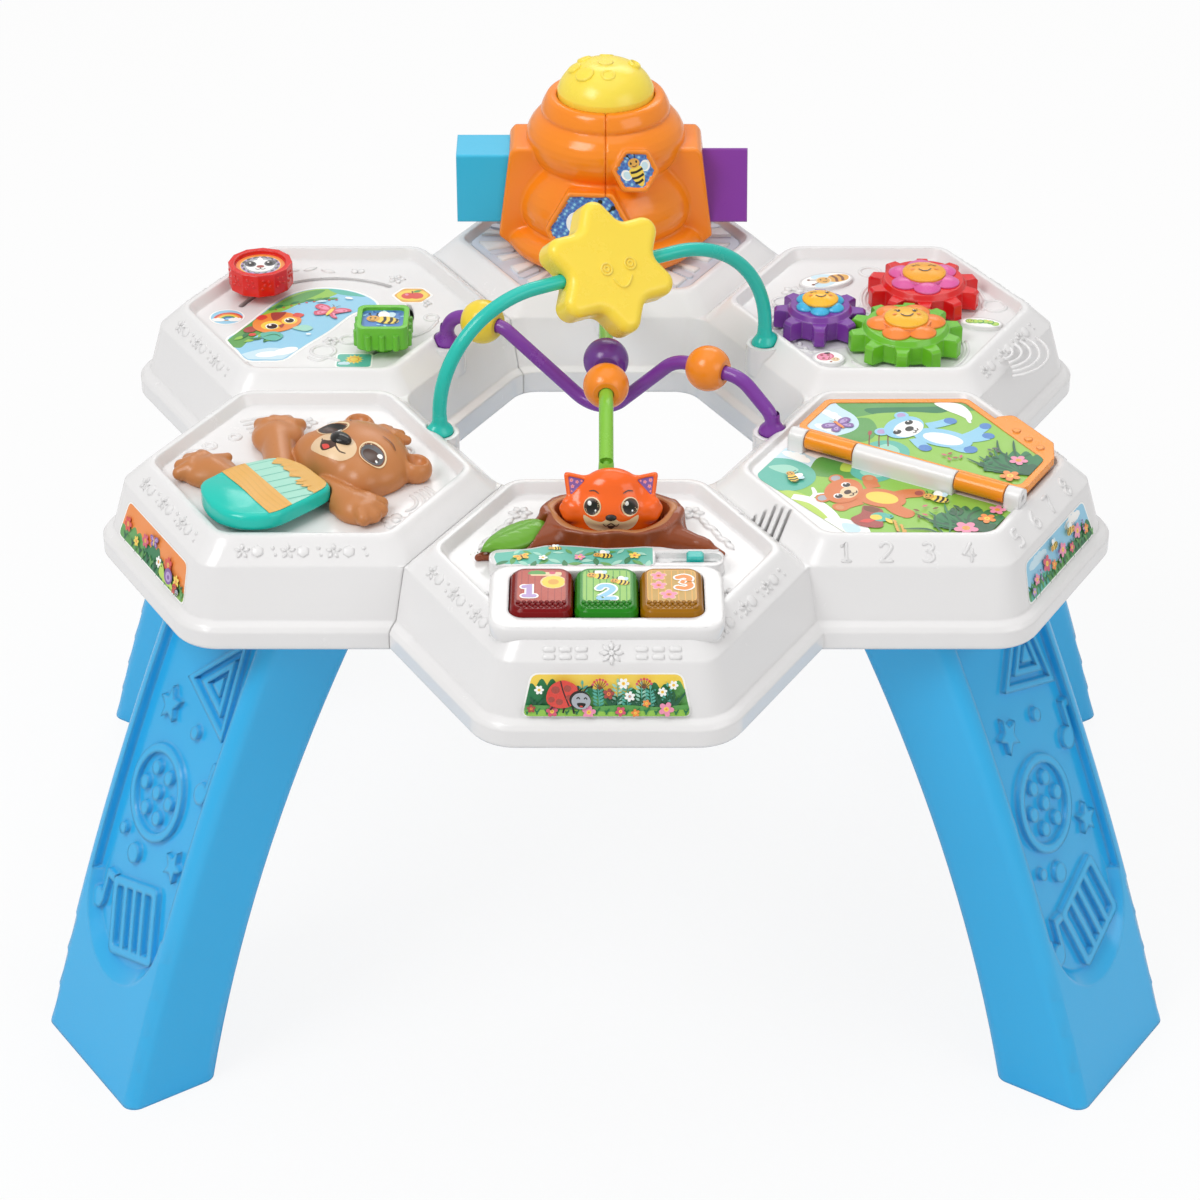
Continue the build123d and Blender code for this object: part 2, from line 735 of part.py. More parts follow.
with BuildPart() as leg:
    extrude(leg_profile(0), amount=leg_width / 2, both=True)
    sides = leg.edges().filter_by(lambda e: abs(abs(e.center().Y) - leg_width / 2) < 0.1 and e.length > 120)
    fillet(sides, leg_edge_radius)
    with BuildSketch(Plane.XY.offset(base_bottom - 1)):
        with Locations((spigot_radius, 0)):
            RectangleRounded(spigot_depth, spigot_width, 3)
    extrude(amount=spigot_height)
    # recessed panel on the outer face with its ornaments, ending in a scoop
    add(leg_panel.part, mode=Mode.SUBTRACT)
    add(leg_relief.part)

for name, direction in leg_directions.items():
    with BuildPart() as placed_leg:
        with Locations(Location((0, 0, 0), (0, 0, direction))):
            add(leg.part)
    write(placed_leg, name)

# ---------------------------------------------------------------- wires
wire_radius = wire_diameter / 2
wire_routes = {
    "teal_wire": (30, [
        (-wire_foot_radius, 322, 0), (-wire_foot_radius, teal_top, teal_bend),
        (wire_foot_radius, teal_top, teal_bend), (wire_foot_radius, 322, 0)]),
    "purple_wire": (-30, [
        (-wire_foot_radius, 322, 0), (-wire_foot_radius, 351, 14), (-68, 351, 14), (-3, 311, 24),
        (45, 360, 22), (86, 360, 20), (wire_foot_radius, 341, 12), (wire_foot_radius, 322, 0)]),
    "green_wire": (90, [
        (-wire_foot_radius, 322, 0), (-wire_foot_radius, 334, 14), (-70, green_top, 42),
        (70, green_top, 42), (wire_foot_radius, 334, 14), (wire_foot_radius, 322, 0)]),
}
for name, (bearing, corners_and_bends) in wire_routes.items():
    outward = turned(1, bearing)
    route_plane = Plane(origin=(0, 0, 0), x_dir=(outward[0], outward[1], 0), z_dir=(outward[1], -outward[0], 0))
    with BuildPart() as wire:
        with BuildLine(route_plane) as route:
            points = [(x, z) for x, z, bend in corners_and_bends]
            FilletPolyline(*points, radius=[bend for x, z, bend in corners_and_bends[1:-1]])
        with BuildSketch(Plane(origin=route.line @ 0, z_dir=route.line % 0)):
            Circle(wire_radius)
        sweep(path=route.line)
        for side in (-1, 1):
            foot = turned(side * wire_foot_radius, bearing)
            disc(foot, wire_foot_width / 2, wire_foot_bottom, wire_foot_bottom + 9)
            with Locations((foot[0], foot[1], wire_foot_bottom + 9)):
                Cone(wire_foot_width / 2, wire_radius, 7, align=(Align.CENTER, Align.CENTER, Align.MIN))
            disc(foot, 1.2, wire_foot_bottom - 1, wire_foot_bottom + 8, mode=Mode.SUBTRACT)
    write(wire, name)

with BuildPart() as wire_screws:
    discs(wire_feet, 3.2, wire_foot_bottom - wall - 2, wire_foot_bottom - wall)
    discs(wire_feet, 1.15, wire_foot_bottom - wall - 1, wire_foot_bottom + 7)
write(wire_screws, "wire_screws")

# ---------------------------------------------------------------- star and beads
wire_hole = wire_radius + bead_clearance
teal_along = turned(1, 30)
face_out = (teal_along[1], -teal_along[0])
star_tilt = 38.0      # how far the star's face leans back
star_point = 46.6     # corner of the sharp star that the lobes round off
lobe_radius = 8.0
star_normal = Vector(face_out[0] * math.cos(math.radians(star_tilt)),
                     face_out[1] * math.cos(math.radians(star_tilt)), math.sin(math.radians(star_tilt)))
star_plane = Plane(origin=(0, 0, teal_top), x_dir=(teal_along[0], teal_along[1], 0), z_dir=star_normal)
with BuildSketch(star_plane) as star_outline:
    with BuildLine():
        Polyline(*[turned(star_point if i % 2 == 0 else star_waist, 90 + i * 180 / star_lobes)
                   for i in range(2 * star_lobes)], close=True)
    make_face()
    fillet(star_outline.vertices().filter_by(lambda v: math.hypot(v.X, v.Y) > star_point - 1), lobe_radius)
    fillet(star_outline.vertices().filter_by(lambda v: math.hypot(v.X, v.Y) < star_waist + 0.5), lobe_radius)
with BuildPart() as star:
    extrude(star_outline.sketch, amount=star_thickness / 2, both=True)
    fillet(star.faces().filter_by(lambda f: abs(abs(f.normal_at().dot(star_normal)) - 1) < 0.01).edges(), 5.5)
    with Locations(along((0, 0, teal_top), 30)):
        Cylinder(wire_hole, 3 * star_radius, mode=Mode.SUBTRACT)
write(star, "star")

bead_places = {
    "purple_bead": ((0, -12.0, green_top), 90),
    "arch_orange_bead": ((0, -42.0, green_top), 90),
    "yellow_bead": ((*turned(82.0, 150), 351.0), -30),
    "wave_orange_bead": ((*turned(65.5, -30), 360.0), -30),
}
for name, (place, bearing) in bead_places.items():
    with BuildPart() as bead:
        with BuildSketch(Plane.XZ):
            with BuildLine():
                half = bead_length / 2
                Polyline((wire_hole, -half), (wire_hole, half), (wire_hole + 3, half))
                ThreePointArc((wire_hole + 3, half), (bead_diameter / 2, 0), (wire_hole + 3, -half))
                Line((wire_hole + 3, -half), (wire_hole, -half))
            make_face()
        revolve(axis=Axis.Z)
    with BuildPart() as placed_bead:
        with Locations(along(place, bearing)):
            add(bead.part)
    write(placed_bead, name)

# ---------------------------------------------------------------- keys, leaf, fox, stump, switch
key_flange = 1.3
flange_top = ceiling - 0.3
flange_bottom = flange_top - 1.7
pad_height = board_height + board_thickness


def key_outline(x, inset, height, radius):
    """Outline of one key, moved inwards."""
    with BuildSketch(Plane.XY.offset(height)) as sketch:
        with Locations((x, key_row_y)):
            RectangleRounded(key_width - 2 * inset, key_depth - 2 * inset, radius)
    return sketch.sketch


for index, x in enumerate((-key_pitch, 0.0, key_pitch)):
    with BuildPart() as key:
        extrude(key_outline(x, 0, flange_bottom, 7), amount=key_panel_top - 0.5 - flange_bottom)
        loft(sections=[key_outline(x, 0, key_panel_top - 0.5, 7),
                       key_outline(x, 1.0, key_panel_top + key_rise - 1.4, 6.5),
                       key_outline(x, 2.6, key_panel_top + key_rise, 5.5)], ruled=True)
        slab((x - key_width / 2 + 2, x + key_width / 2 - 2),
             (key_row_y - key_depth / 2 - key_flange, key_row_y + key_depth / 2 + key_flange),
             flange_bottom, flange_top)
        extrude(key_outline(x, 2.5, flange_bottom, 4.5), amount=key_panel_top - 3 - flange_bottom,
                mode=Mode.SUBTRACT)
        disc((x, key_row_y), 3.0, pad_height + 0.3 + key_travel + 4.0, key_panel_top)
    write(key, f"key_{index + 1}")

with BuildPart() as key_pads:
    with BuildSketch(Plane.XY.offset(pad_height)):
        with Locations((0, key_row_y)):
            RectangleRounded(2 * key_pitch + 16, 14, 3)
    extrude(amount=1.2)
    for x in (-key_pitch, 0.0, key_pitch):
        with Locations((x, key_row_y, pad_height + 1.0)):
            Cone(5.0, 3.0, 3.0, align=(Align.CENTER, Align.CENTER, Align.MIN))
write(key_pads, "key_pads")

with BuildPart() as main_board:
    slab((-52, 52), (-250, -140), board_height, board_height + board_thickness)
    slab((leaf_x - 3, leaf_x + 3), (leaf_y - 3, leaf_y + 3), pad_height, pad_height + 2)
    slab((switch_x - 12, switch_x + 12), (switch_y - 3.5, switch_y + 3.5), pad_height, pad_height + 5)
    slab((-20, -4), (-206, -190), pad_height, pad_height + 1.5)
write(main_board, "main_board")

with BuildPart() as power_switch:
    with BuildSketch(Plane.XY.offset(deck_top - 0.7)):
        with Locations((switch_x, switch_y)):
            RectangleRounded(9, 7.4, 2)
    extrude(amount=5)
    chamfer(power_switch.faces().sort_by(Axis.Z)[-1].edges(), 0.8)
    slab((switch_x - 3.5, switch_x + 3.5), (switch_y - 1.2, switch_y + 1.2), pad_height + 5.3, deck_top)
    slab((switch_x - 3.5, switch_x + 3.5), (switch_y - 3, switch_y + 3), flange_bottom, flange_top)
write(power_switch, "power_switch")


def leaf_outline(length, width, height):
    """Pointed leaf made of two arcs."""
    with BuildSketch(Plane(origin=(leaf_x, leaf_y, height), x_dir=(*turned(1, leaf_bearing), 0),
                           z_dir=(0, 0, 1))) as sketch:
        with BuildLine():
            ThreePointArc((-length / 2, 0), (0, width / 2), (length / 2, 0))
            ThreePointArc((length / 2, 0), (0, -width / 2), (-length / 2, 0))
        make_face()
        fillet(sketch.vertices(), 1.2)
    return sketch.sketch


root_top = tray_floor + 4.0
with BuildPart() as leaf_button:
    loft(sections=[leaf_outline(leaf_length, leaf_width, tray_floor + leaf_travel + 1.5),
                   leaf_outline(leaf_length, leaf_width, leaf_top - 2.0),
                   leaf_outline(leaf_length - 6, leaf_width - 6, leaf_top)], ruled=True)
    disc((leaf_x, leaf_y), 3, pad_height + 2.3 + leaf_travel, tray_floor + leaf_travel + 3)
    disc((leaf_x, leaf_y), 4.5, flange_bottom, flange_top)
write(leaf_button, "leaf_button")

with BuildPart() as stump:
    stump_middle = (fox_x + 0.5, fox_y)
    loft(sections=[ellipse_face(stump_middle, stump_width + 6, stump_depth + 4, tray_floor),
                   ellipse_face(stump_middle, stump_width - 1, stump_depth - 1, tray_floor + 5),
                   ellipse_face(stump_middle, stump_width, stump_depth, stump_top - 2),
                   ellipse_face(stump_middle, stump_width - 5, stump_depth - 4, stump_top)], ruled=True)
    loft(sections=[leaf_outline(leaf_length + 6, leaf_width + 6, tray_floor),
                   leaf_outline(leaf_length + 4, leaf_width + 4, root_top)], ruled=True)
    loft(sections=[soft_outline([(25, -184), (54, -168), (56, -161), (36, -150)], 3, Plane.XY.offset(tray_floor)),
                   soft_outline([(26, -180), (46, -168), (48, -163), (36, -154)], 2, Plane.XY.offset(root_top + 3))],
         ruled=True)
    extrude(ellipse_face(stump_middle, stump_hole_width, stump_hole_depth, tray_floor - 1), amount=20,
            mode=Mode.SUBTRACT)
    extrude(leaf_outline(leaf_length + 1.0, leaf_width + 1.0, tray_floor + 1.0), amount=8, mode=Mode.SUBTRACT)
    disc((leaf_x, leaf_y), 3 + press_clearance, tray_floor - 1, root_top, mode=Mode.SUBTRACT)
    slab((-80, 80), (strip_front, strip_rear + 0.4), tray_floor - 1, strip_top + 1, mode=Mode.SUBTRACT)
write(stump, "stump")

neck_height = stump_top - 5
fox_hub = 5.0
with BuildPart() as fox_head:
    extrude(ellipse_face((fox_x, fox_y), fox_neck_width, fox_neck_depth, flange_bottom),
            amount=neck_height - flange_bottom)
    extrude(ellipse_face((fox_x, fox_y), fox_neck_width + 2.6, fox_neck_depth + 2.6, flange_bottom),
            amount=flange_top - flange_bottom)
    extrude(ellipse_face((fox_x, fox_y), fox_neck_width - 5, fox_neck_depth - 5, flange_bottom),
            amount=neck_height - 3 - flange_bottom, mode=Mode.SUBTRACT)
    loft(sections=[ellipse_face((fox_x, fox_y), fox_neck_width, fox_neck_depth, neck_height),
                   ellipse_face((fox_x, fox_y), fox_width, fox_depth, neck_height + 5),
                   ellipse_face((fox_x, fox_y + 0.3), fox_width - 4, fox_depth - 2, neck_height + 12),
                   ellipse_face((fox_x, fox_y + 1), fox_width - 14, fox_depth - 6, fox_top - 9),
                   ellipse_face((fox_x, fox_y + 1.5), fox_width - 26, fox_depth - 12, fox_top - 3.5),
                   ellipse_face((fox_x, fox_y + 1.5), fox_width - 38, fox_depth - 20, fox_top - 1)])
    for side in (-1, 1):
        ear = fox_x + side * 18
        loft(sections=[ellipse_face((ear - side * 2, fox_y + 1), 14, 9, neck_height + 10),
                       ellipse_face((ear + side * 1.5, fox_y + 1), 12, 7, fox_top - 8),
                       ellipse_face((ear + side * 3.5, fox_y + 1), 4, 3, fox_top)], ruled=True)
    loft(sections=[ellipse_face((fox_x, fox_y - fox_depth / 2 + 5), 24, 8, neck_height + 3),
                   ellipse_face((fox_x, fox_y - fox_depth / 2 + 4.5), 20, 9, neck_height + 8),
                   ellipse_face((fox_x, fox_y - fox_depth / 2 + 6), 8, 6, neck_height + 13)], ruled=True)
    disc((fox_x, fox_y), fox_hub, board_height + board_thickness + 8.7, neck_height)
write(fox_head, "fox_head")

# ---------------------------------------------------------------- bear
bear_head = (-141.0, -97.0)
belly_gap = 0.6
belly_top = 344.0


def belly_outline(grow, height):
    middle = belly_center
    points = [(middle[0] + (x - middle[0]) * (1 + grow / 35), middle[1] + (y - middle[1]) * (1 + grow / 35))
              for x, y in belly_points]
    return soft_outline(points, 6.0, Plane.XY.offset(height))


muzzle_place = (-147.0, -103.5)
nose_place = (-143.0, -99.5)
with BuildPart() as bear_body:
    loft(sections=[ellipse_face(bear_head, 68, 60, tray_floor, -24),
                   ellipse_face(bear_head, 70, 62, tray_floor + 7, -24),
                   ellipse_face(bear_head, 66, 57, tray_floor + 13, -24),
                   ellipse_face(bear_head, 55, 46, tray_floor + 18, -24),
                   ellipse_face(bear_head, 38, 30, tray_floor + 21.5, -24)])
    add(cap(muzzle_place, 13.5, tray_floor + 16, 1.0, 6.5))
    revolve(axis=Axis(origin=(*muzzle_place, 0), direction=(0, 0, 1)))
    add(cap(nose_place, 5.5, tray_floor + 18, 3.0, 3.0))
    revolve(axis=Axis(origin=(*nose_place, 0), direction=(0, 0, 1)))
    for center, radius in (((-137.4, -58.0), 9.5), ((-104.0, -105.0), 9.5)):
        add(cap(center, radius, tray_floor, 9.0, 4.0))
        revolve(axis=Axis(origin=(*center, 0), direction=(0, 0, 1)))
        disc(center, radius - 3.5, tray_floor + 10.0, tray_floor + 14, mode=Mode.SUBTRACT)
    for center, width, depth, bearing in (
        ((-181.0, -62.0), 30, 24, 10), ((-216.0, -101.0), 32, 26, -40), ((-130.0, -144.0), 25, 23, 20),
    ):
        loft(sections=[ellipse_face(center, width, depth, tray_floor, bearing),
                       ellipse_face(center, width, depth, tray_floor + 5, bearing),
                       ellipse_face(center, width - 4, depth - 4, tray_floor + 9.5, bearing),
                       ellipse_face(center, width - 13, depth - 13, tray_floor + 12.5, bearing)])
    for start, end, width in (
        ((-181, -64), (-170, -104), 20), ((-216, -101), (-196, -120), 20), ((-130, -143), (-152, -118), 18),
    ):
        length = math.dist(start, end)
        bearing = math.degrees(math.atan2(end[1] - start[1], end[0] - start[0]))
        with BuildSketch(Plane.XY.offset(tray_floor)):
            with Locations(Location(((start[0] + end[0]) / 2, (start[1] + end[1]) / 2, 0), (0, 0, bearing))):
                SlotCenterToCenter(length, width)
        extrude(amount=8.5)
    extrude(belly_outline(-2.5, tray_floor), amount=2.5)
    extrude(belly_outline(belly_gap, tray_floor + 2.5), amount=30, mode=Mode.SUBTRACT)
    disc(belly_center, belly_stem + press_clearance, tray_floor - 1, tray_floor + 5, mode=Mode.SUBTRACT)
write(bear_body, "bear_body")

belly_bottom = tray_floor + 2.5 + belly_travel + 0.4
with BuildPart() as bear_belly:
    loft(sections=[belly_outline(0, belly_bottom), belly_outline(0, belly_top - 4),
                   belly_outline(-1.6, belly_top - 1.2), belly_outline(-5, belly_top)], ruled=True)
    disc(belly_center, belly_stem, board_height + 8.7, belly_bottom + 1)
    disc(belly_center, belly_stem + 2.2, flange_bottom, flange_top)
write(bear_belly, "bear_belly")

# ---------------------------------------------------------------- book page and its pin
page_bottom = hinge_height - page_thickness / 2
with BuildPart() as book_page:
    extrude(soft_outline([(-60, -5.3), (77, -5.3), (77, 32), (8, 71.5), (-60, 31.5)], 5,
                         cell_plane(book, page_bottom)), amount=page_thickness)
    extrude(soft_outline([(76, 20), (77, 34), (70, 49), (38, 67), (30, 60), (40, 40)], 4,
                         cell_plane(book, page_bottom)), amount=page_thickness)
    for side in (0, 1):
        extrude(soft_outline([(-60 + page_frame, -3.0), (77 - page_frame, -3.0), (77 - page_frame, 29.5),
                              (8, 71.5 - page_frame * 1.15), (-60 + page_frame, 29.3)], 4,
                             cell_plane(book, page_bottom + side * (page_thickness - 0.5))), amount=0.5,
                mode=Mode.SUBTRACT)
    for low, high in page_spans:
        middle = in_book((low + high) / 2, hinge_offset, hinge_height)
        with Locations(along(middle, book)):
            Cylinder(hinge_radius, high - low - 2 * knuckle_gap)
        with Locations(Location(in_book((low + high) / 2, hinge_offset, page_bottom), (0, 0, book))):
            Box(high - low - 2 * knuckle_gap, 7, page_thickness, align=(Align.CENTER, Align.MIN, Align.MIN))
        with Locations(along(middle, book)):
            Cylinder(pin_radius + pin_clearance, high - low + 1, mode=Mode.SUBTRACT)
    for u, v in ((66, 40), (56.5, 45.5), (47, 51)):
        disc(in_book(u, v, 0), 2.2, page_bottom, page_bottom + page_thickness + 0.8)
write(book_page, "book_page")

with BuildPart() as hinge_pin:
    middle = in_book((knuckle_spans[0][0] + knuckle_spans[2][1]) / 2, hinge_offset, hinge_height)
    with Locations(along(middle, book)):
        Cylinder(pin_radius, knuckle_spans[2][1] - knuckle_spans[0][0] - 3)
write(hinge_pin, "hinge_pin")

# ---------------------------------------------------------------- gears and their flowers
def gear_outline(teeth, addendum, phase, tip_loss=0.0):
    """Corner points of a gear with straight-sided teeth."""
    pitch = gear_module * teeth / 2
    outline = []
    for tooth in range(teeth):
        angle = phase + tooth * 360 / teeth
        for radius, half in ((pitch - gear_dedendum, -tooth_root / 2), (pitch + addendum - tip_loss, -tooth_tip / 2),
                             (pitch + addendum - tip_loss, tooth_tip / 2), (pitch - gear_dedendum, tooth_root / 2)):
            along = math.sqrt(radius ** 2 - half ** 2)
            turn = math.radians(angle)
            outline.append((along * math.cos(turn) - half * math.sin(turn),
                            along * math.sin(turn) + half * math.cos(turn)))
    return outline


green_phase = purple_gear_bearing
purple_phase = purple_gear_bearing + 180 + 180 / small_teeth
offset_to_red = (red_gear_bearing - green_phase) % (360 / large_teeth)
red_phase = red_gear_bearing + 180 + 180 / large_teeth + offset_to_red
gear_set = {
    "green": (green_gear_center, large_teeth, large_addendum, green_phase, 23.0, 8.4, 12.8),
    "red": (red_gear_center, large_teeth, large_addendum, red_phase, 22.0, 8.0, 12.8),
    "purple": (purple_gear_center, small_teeth, small_addendum, purple_phase, 15.2, 5.6, 10.5),
}
gear_crown = gear_top + 3.0
petal_top = gear_crown + 3.6
face_top = petal_top + 3.4
for name, (center, teeth, addendum, phase, petal_reach, petal_radius, face_radius) in gear_set.items():
    hub = gear_module * teeth / 2 - gear_dedendum
    with BuildPart() as gear:
        with BuildSketch(Plane(origin=(*center, gear_bottom))):
            with BuildLine():
                Polyline(*gear_outline(teeth, addendum, phase), close=True)
            make_face()
        extrude(amount=gear_height - 1.5)
        with BuildSketch(Plane(origin=(*center, gear_top - 1.5))) as lower:
            with BuildLine():
                Polyline(*gear_outline(teeth, addendum, phase), close=True)
            make_face()
        with BuildSketch(Plane(origin=(*center, gear_top))) as upper:
            with BuildLine():
                Polyline(*gear_outline(teeth, addendum, phase, 1.5), close=True)
            make_face()
        loft(sections=[lower.sketch, upper.sketch], ruled=True)
        with Locations((*center, gear_top)):
            Cone(hub - 0.6, hub - 2.4, gear_crown - gear_top, align=(Align.CENTER, Align.CENTER, Align.MIN))
        disc(center, gear_post_radius + running_fit, gear_bottom - 1, gear_crown, mode=Mode.SUBTRACT)
        disc(center, 9.0, gear_top - 0.6, gear_crown + 1, mode=Mode.SUBTRACT)
    write(gear, f"{name}_gear")
    with BuildPart() as petals:
        for petal in range(6):
            place = shifted(center, petal_reach - petal_radius, phase + 30 + 60 * petal)
            add(cap(place, petal_radius, gear_crown, 0.8, petal_top - gear_crown - 0.8))
            revolve(axis=Axis(origin=(*place, 0), direction=(0, 0, 1)))
        disc(center, petal_reach - petal_radius, gear_crown, petal_top - 0.6)
        disc(center, face_radius + 0.1, petal_top - 0.6, petal_top + 1, mode=Mode.SUBTRACT)
    write(petals, f"{name}_petals")
    with BuildPart() as face:
        add(cap(center, face_radius, petal_top - 0.6, 1.2, face_top - petal_top - 0.6))
        revolve(axis=Axis(origin=(*center, 0), direction=(0, 0, 1)))
    write(face, f"{name}_face")

with BuildPart() as gear_screws:
    discs(gear_centers, 8.2, post_top, post_top + 1.4)
    discs(gear_centers, screw_radius - 0.05, post_top - 9, post_top + 1)
write(gear_screws, "gear_screws")

# ---------------------------------------------------------------- sliding knobs
stem_half = track_width / 2 - track_clearance
for name, center, bearing in (("red_knob", red_knob_center, red_knob_bearing),
                              ("green_knob", green_knob_center, green_knob_bearing)):
    with BuildPart() as knob:
        top = knob_bottom + knob_height
        if name == "red_knob":
            with BuildSketch(Plane(origin=(*center, knob_bottom))):
                RegularPolygon(radius=red_knob_radius, side_count=12, major_radius=False)
            extrude(amount=knob_height)
            disc(center, red_knob_radius - 3.2, top - 2.2, top + 1, mode=Mode.SUBTRACT)
        else:
            with BuildSketch(Plane(origin=(*center, knob_bottom))):
                RectangleRounded(green_knob_side, green_knob_side, 5)
            extrude(amount=knob_height)
            for side in range(4):
                for step in (-1, 0, 1):
                    rib = shifted(shifted(center, green_knob_side / 2, 90 * side), step * 8.0, 90 * side + 90)
                    disc(rib, 1.8, knob_bottom, top - 4.5)
            with BuildSketch(Plane(origin=(*center, top - 2.2))):
                RectangleRounded(green_knob_side - 6, green_knob_side - 6, 3)
            extrude(amount=3, mode=Mode.SUBTRACT)
        disc(center, 6, tray_floor + 0.3, knob_bottom + 1)
        with BuildSketch(Plane(origin=(*center, ceiling - 2.0), x_dir=(*turned(1, bearing + 90), 0), z_dir=(0, 0, 1))):
            SlotOverall(7.0, 2 * stem_half)
        extrude(amount=tray_floor + 1 - ceiling + 2.0)
    write(knob, name)
    with BuildPart() as retainer:
        disc(center, 7.5, ceiling - 2.0, ceiling - 0.3)
        with BuildSketch(Plane(origin=(*center, ceiling - 2.5), x_dir=(*turned(1, bearing + 90), 0), z_dir=(0, 0, 1))):
            SlotOverall(7.2, 2 * stem_half + 0.2)
        extrude(amount=3, mode=Mode.SUBTRACT)
    write(retainer, name.replace("knob", "retainer"))

# ---------------------------------------------------------------- beehive
with BuildPart() as hive_plate:
    extrude(cell_outline(rear, bevel + rim_width + tray_draft + 1.0, tray_floor, corner_radius - 3),
            amount=hive_plate_thickness)
    for ray in range(12):
        bearing = 15 + 30 * ray
        place = shifted((0, hive_y), 65.5, bearing)
        with BuildSketch(Plane(origin=(*place, tray_floor + 0.5), x_dir=(*turned(1, bearing), 0), z_dir=(0, 0, 1))):
            SlotOverall(16, 5)
        extrude(amount=hive_plate_thickness + 0.6)
    extrude(cell_outline(rear, bevel + rim_width + tray_draft + 1.0, tray_floor, corner_radius - 3),
            amount=20, mode=Mode.INTERSECT)
    for side in (-1, 1):
        disc((side * 30, hive_y), screw_radius + 0.2, tray_floor - 1, hive_bottom + 1, mode=Mode.SUBTRACT)
write(hive_plate, "hive_plate")

tunnel = block_depth + 2 * block_clearance
dome_flange = 31.5
dome_seat = 418.3
with BuildPart() as hive:
    with BuildSketch(Plane(origin=(0, hive_y, 0), x_dir=(1, 0, 0), z_dir=(0, -1, 0))):
        with BuildLine():
            Line((0, hive_bottom), (52.2, hive_bottom))
            ThreePointArc((52.2, hive_bottom), (61.5, 340.3), (50.5, 349.5))
            ThreePointArc((50.5, 349.5), (53.8, 364), (42.8, 387.5))
            ThreePointArc((42.8, 387.5), (48, 403), (35, 424))
            ThreePointArc((35, 424), (34.4, 427.6), (31.2, 429))
            Line((31.2, 429), (0, 429))
            Line((0, 429), (0, hive_bottom))
        make_face()
    revolve(axis=Axis(origin=(0, hive_y, 0), direction=(0, 0, 1)))
    # side frames that carry the sliding blocks
    with BuildSketch(Plane(origin=(0, hive_y, 0), x_dir=(1, 0, 0), z_dir=(0, -1, 0))):
        with BuildLine():
            Polyline((-54, 334), (-66.5, 343), (-58, 408), (-55, 411), (-30, 412), (30, 412), (55, 411),
                     (58, 408), (66.5, 343), (54, 334), close=True)
        make_face()
    extrude(amount=block_depth / 2 + 3.6, both=True)
    disc((0, hive_y), dome_radius + 0.5, dome_seat, 430, mode=Mode.SUBTRACT)
    disc((0, hive_y), dome_flange + 0.5, 405, dome_seat, mode=Mode.SUBTRACT)
    # tunnels: square on the left, triangular on the right
    slab((-70, -8), (hive_y - tunnel / 2, hive_y + tunnel / 2), block_bottom - block_clearance,
         block_bottom + block_height + block_clearance, mode=Mode.SUBTRACT)
    with BuildSketch(Plane(origin=(8, hive_y, 0), x_dir=(0, 1, 0), z_dir=(1, 0, 0))):
        with BuildLine():
            Polyline((-tunnel / 2 - 1, block_bottom - block_clearance), (tunnel / 2 + 1, block_bottom - block_clearance),
                     (0, block_bottom + block_height + 1.3), close=True)
        make_face()
    extrude(amount=70, mode=Mode.SUBTRACT)
    slab((-10, 10), (hive_y - 5.5, hive_y + 5.5), 360, 371, mode=Mode.SUBTRACT)
    for side in (-1, 1):
        disc((side * 30, hive_y), screw_radius - 0.1, hive_bottom - 1, hive_bottom + 12, mode=Mode.SUBTRACT)
    # raised frames of the two picture windows
    for x, height, radius, out in ((17.0, 386.0, 14.5, 47.5), (-9.0, 362.0, 25.0, 55.5)):
        window_plane = Plane(origin=(x, hive_y - out, height), x_dir=(1, 0, 0), z_dir=(0, -1, 0.12))
        with BuildSketch(window_plane.offset(-14)):
            RegularPolygon(radius=radius, side_count=6, rotation=0)
        extrude(amount=14)
for name, side in (("hive_left", -1), ("hive_right", 1)):
    with BuildPart() as half:
        add(hive.part)
        with Locations((side * (100 + hive_seam / 2), hive_y, 380)):
            Box(200, 200, 200, mode=Mode.INTERSECT)
    write(half, name)

with BuildPart() as hive_screws:
    for side in (-1, 1):
        disc((side * 30, hive_y), 3.2, ceiling - 1.8, ceiling)
        disc((side * 30, hive_y), screw_radius - 0.15, ceiling - 1, hive_bottom + 8)
write(hive_screws, "hive_screws")

with BuildPart() as hive_dome:
    with BuildSketch(Plane(origin=(0, hive_y, 0), x_dir=(1, 0, 0), z_dir=(0, -1, 0))):
        with BuildLine():
            Polyline((0, 414.5), (dome_flange, 414.5), (dome_flange, dome_seat - 0.3), (dome_radius, dome_seat - 0.3),
                     (dome_radius, 432))
            ThreePointArc((dome_radius, 432), (21.0, 443.5), (0, dome_top - 2))
            Line((0, dome_top - 2), (0, 414.5))
        make_face()
    revolve(axis=Axis(origin=(0, hive_y, 0), direction=(0, 0, 1)))
    for place, radius in (((0, 0), 5.6), ((-11, 4), 5.0), ((10, 5), 5.2), ((3, -10.5), 5.6), ((-9, -8), 5.2), ((-1, 11.5), 4.6),
                          ((13.5, -6), 4.4)):
        lift = dome_top - 2.2 - 0.0225 * (place[0] ** 2 + place[1] ** 2)
        with Locations((place[0], hive_y + place[1], lift - 5)):
            Cone(radius, radius - 1.2, 6.8, align=(Align.CENTER, Align.CENTER, Align.MIN))
write(hive_dome, "hive_dome")

bar_reach = 44.0
bar_side = 10.0
bar_bottom = 360.5
block_inner = 34.0


def bar_solid(low, high, grow, mode=Mode.ADD):
    """The square bar that joins the two blocks, or its socket."""
    side = bar_side / 2 + grow
    slab((low, high), (hive_y - side, hive_y + side), bar_bottom - grow, bar_bottom + bar_side + grow, mode=mode)


with BuildPart() as slider_bar:
    bar_solid(-bar_reach, bar_reach, 0)
write(slider_bar, "slider_bar")

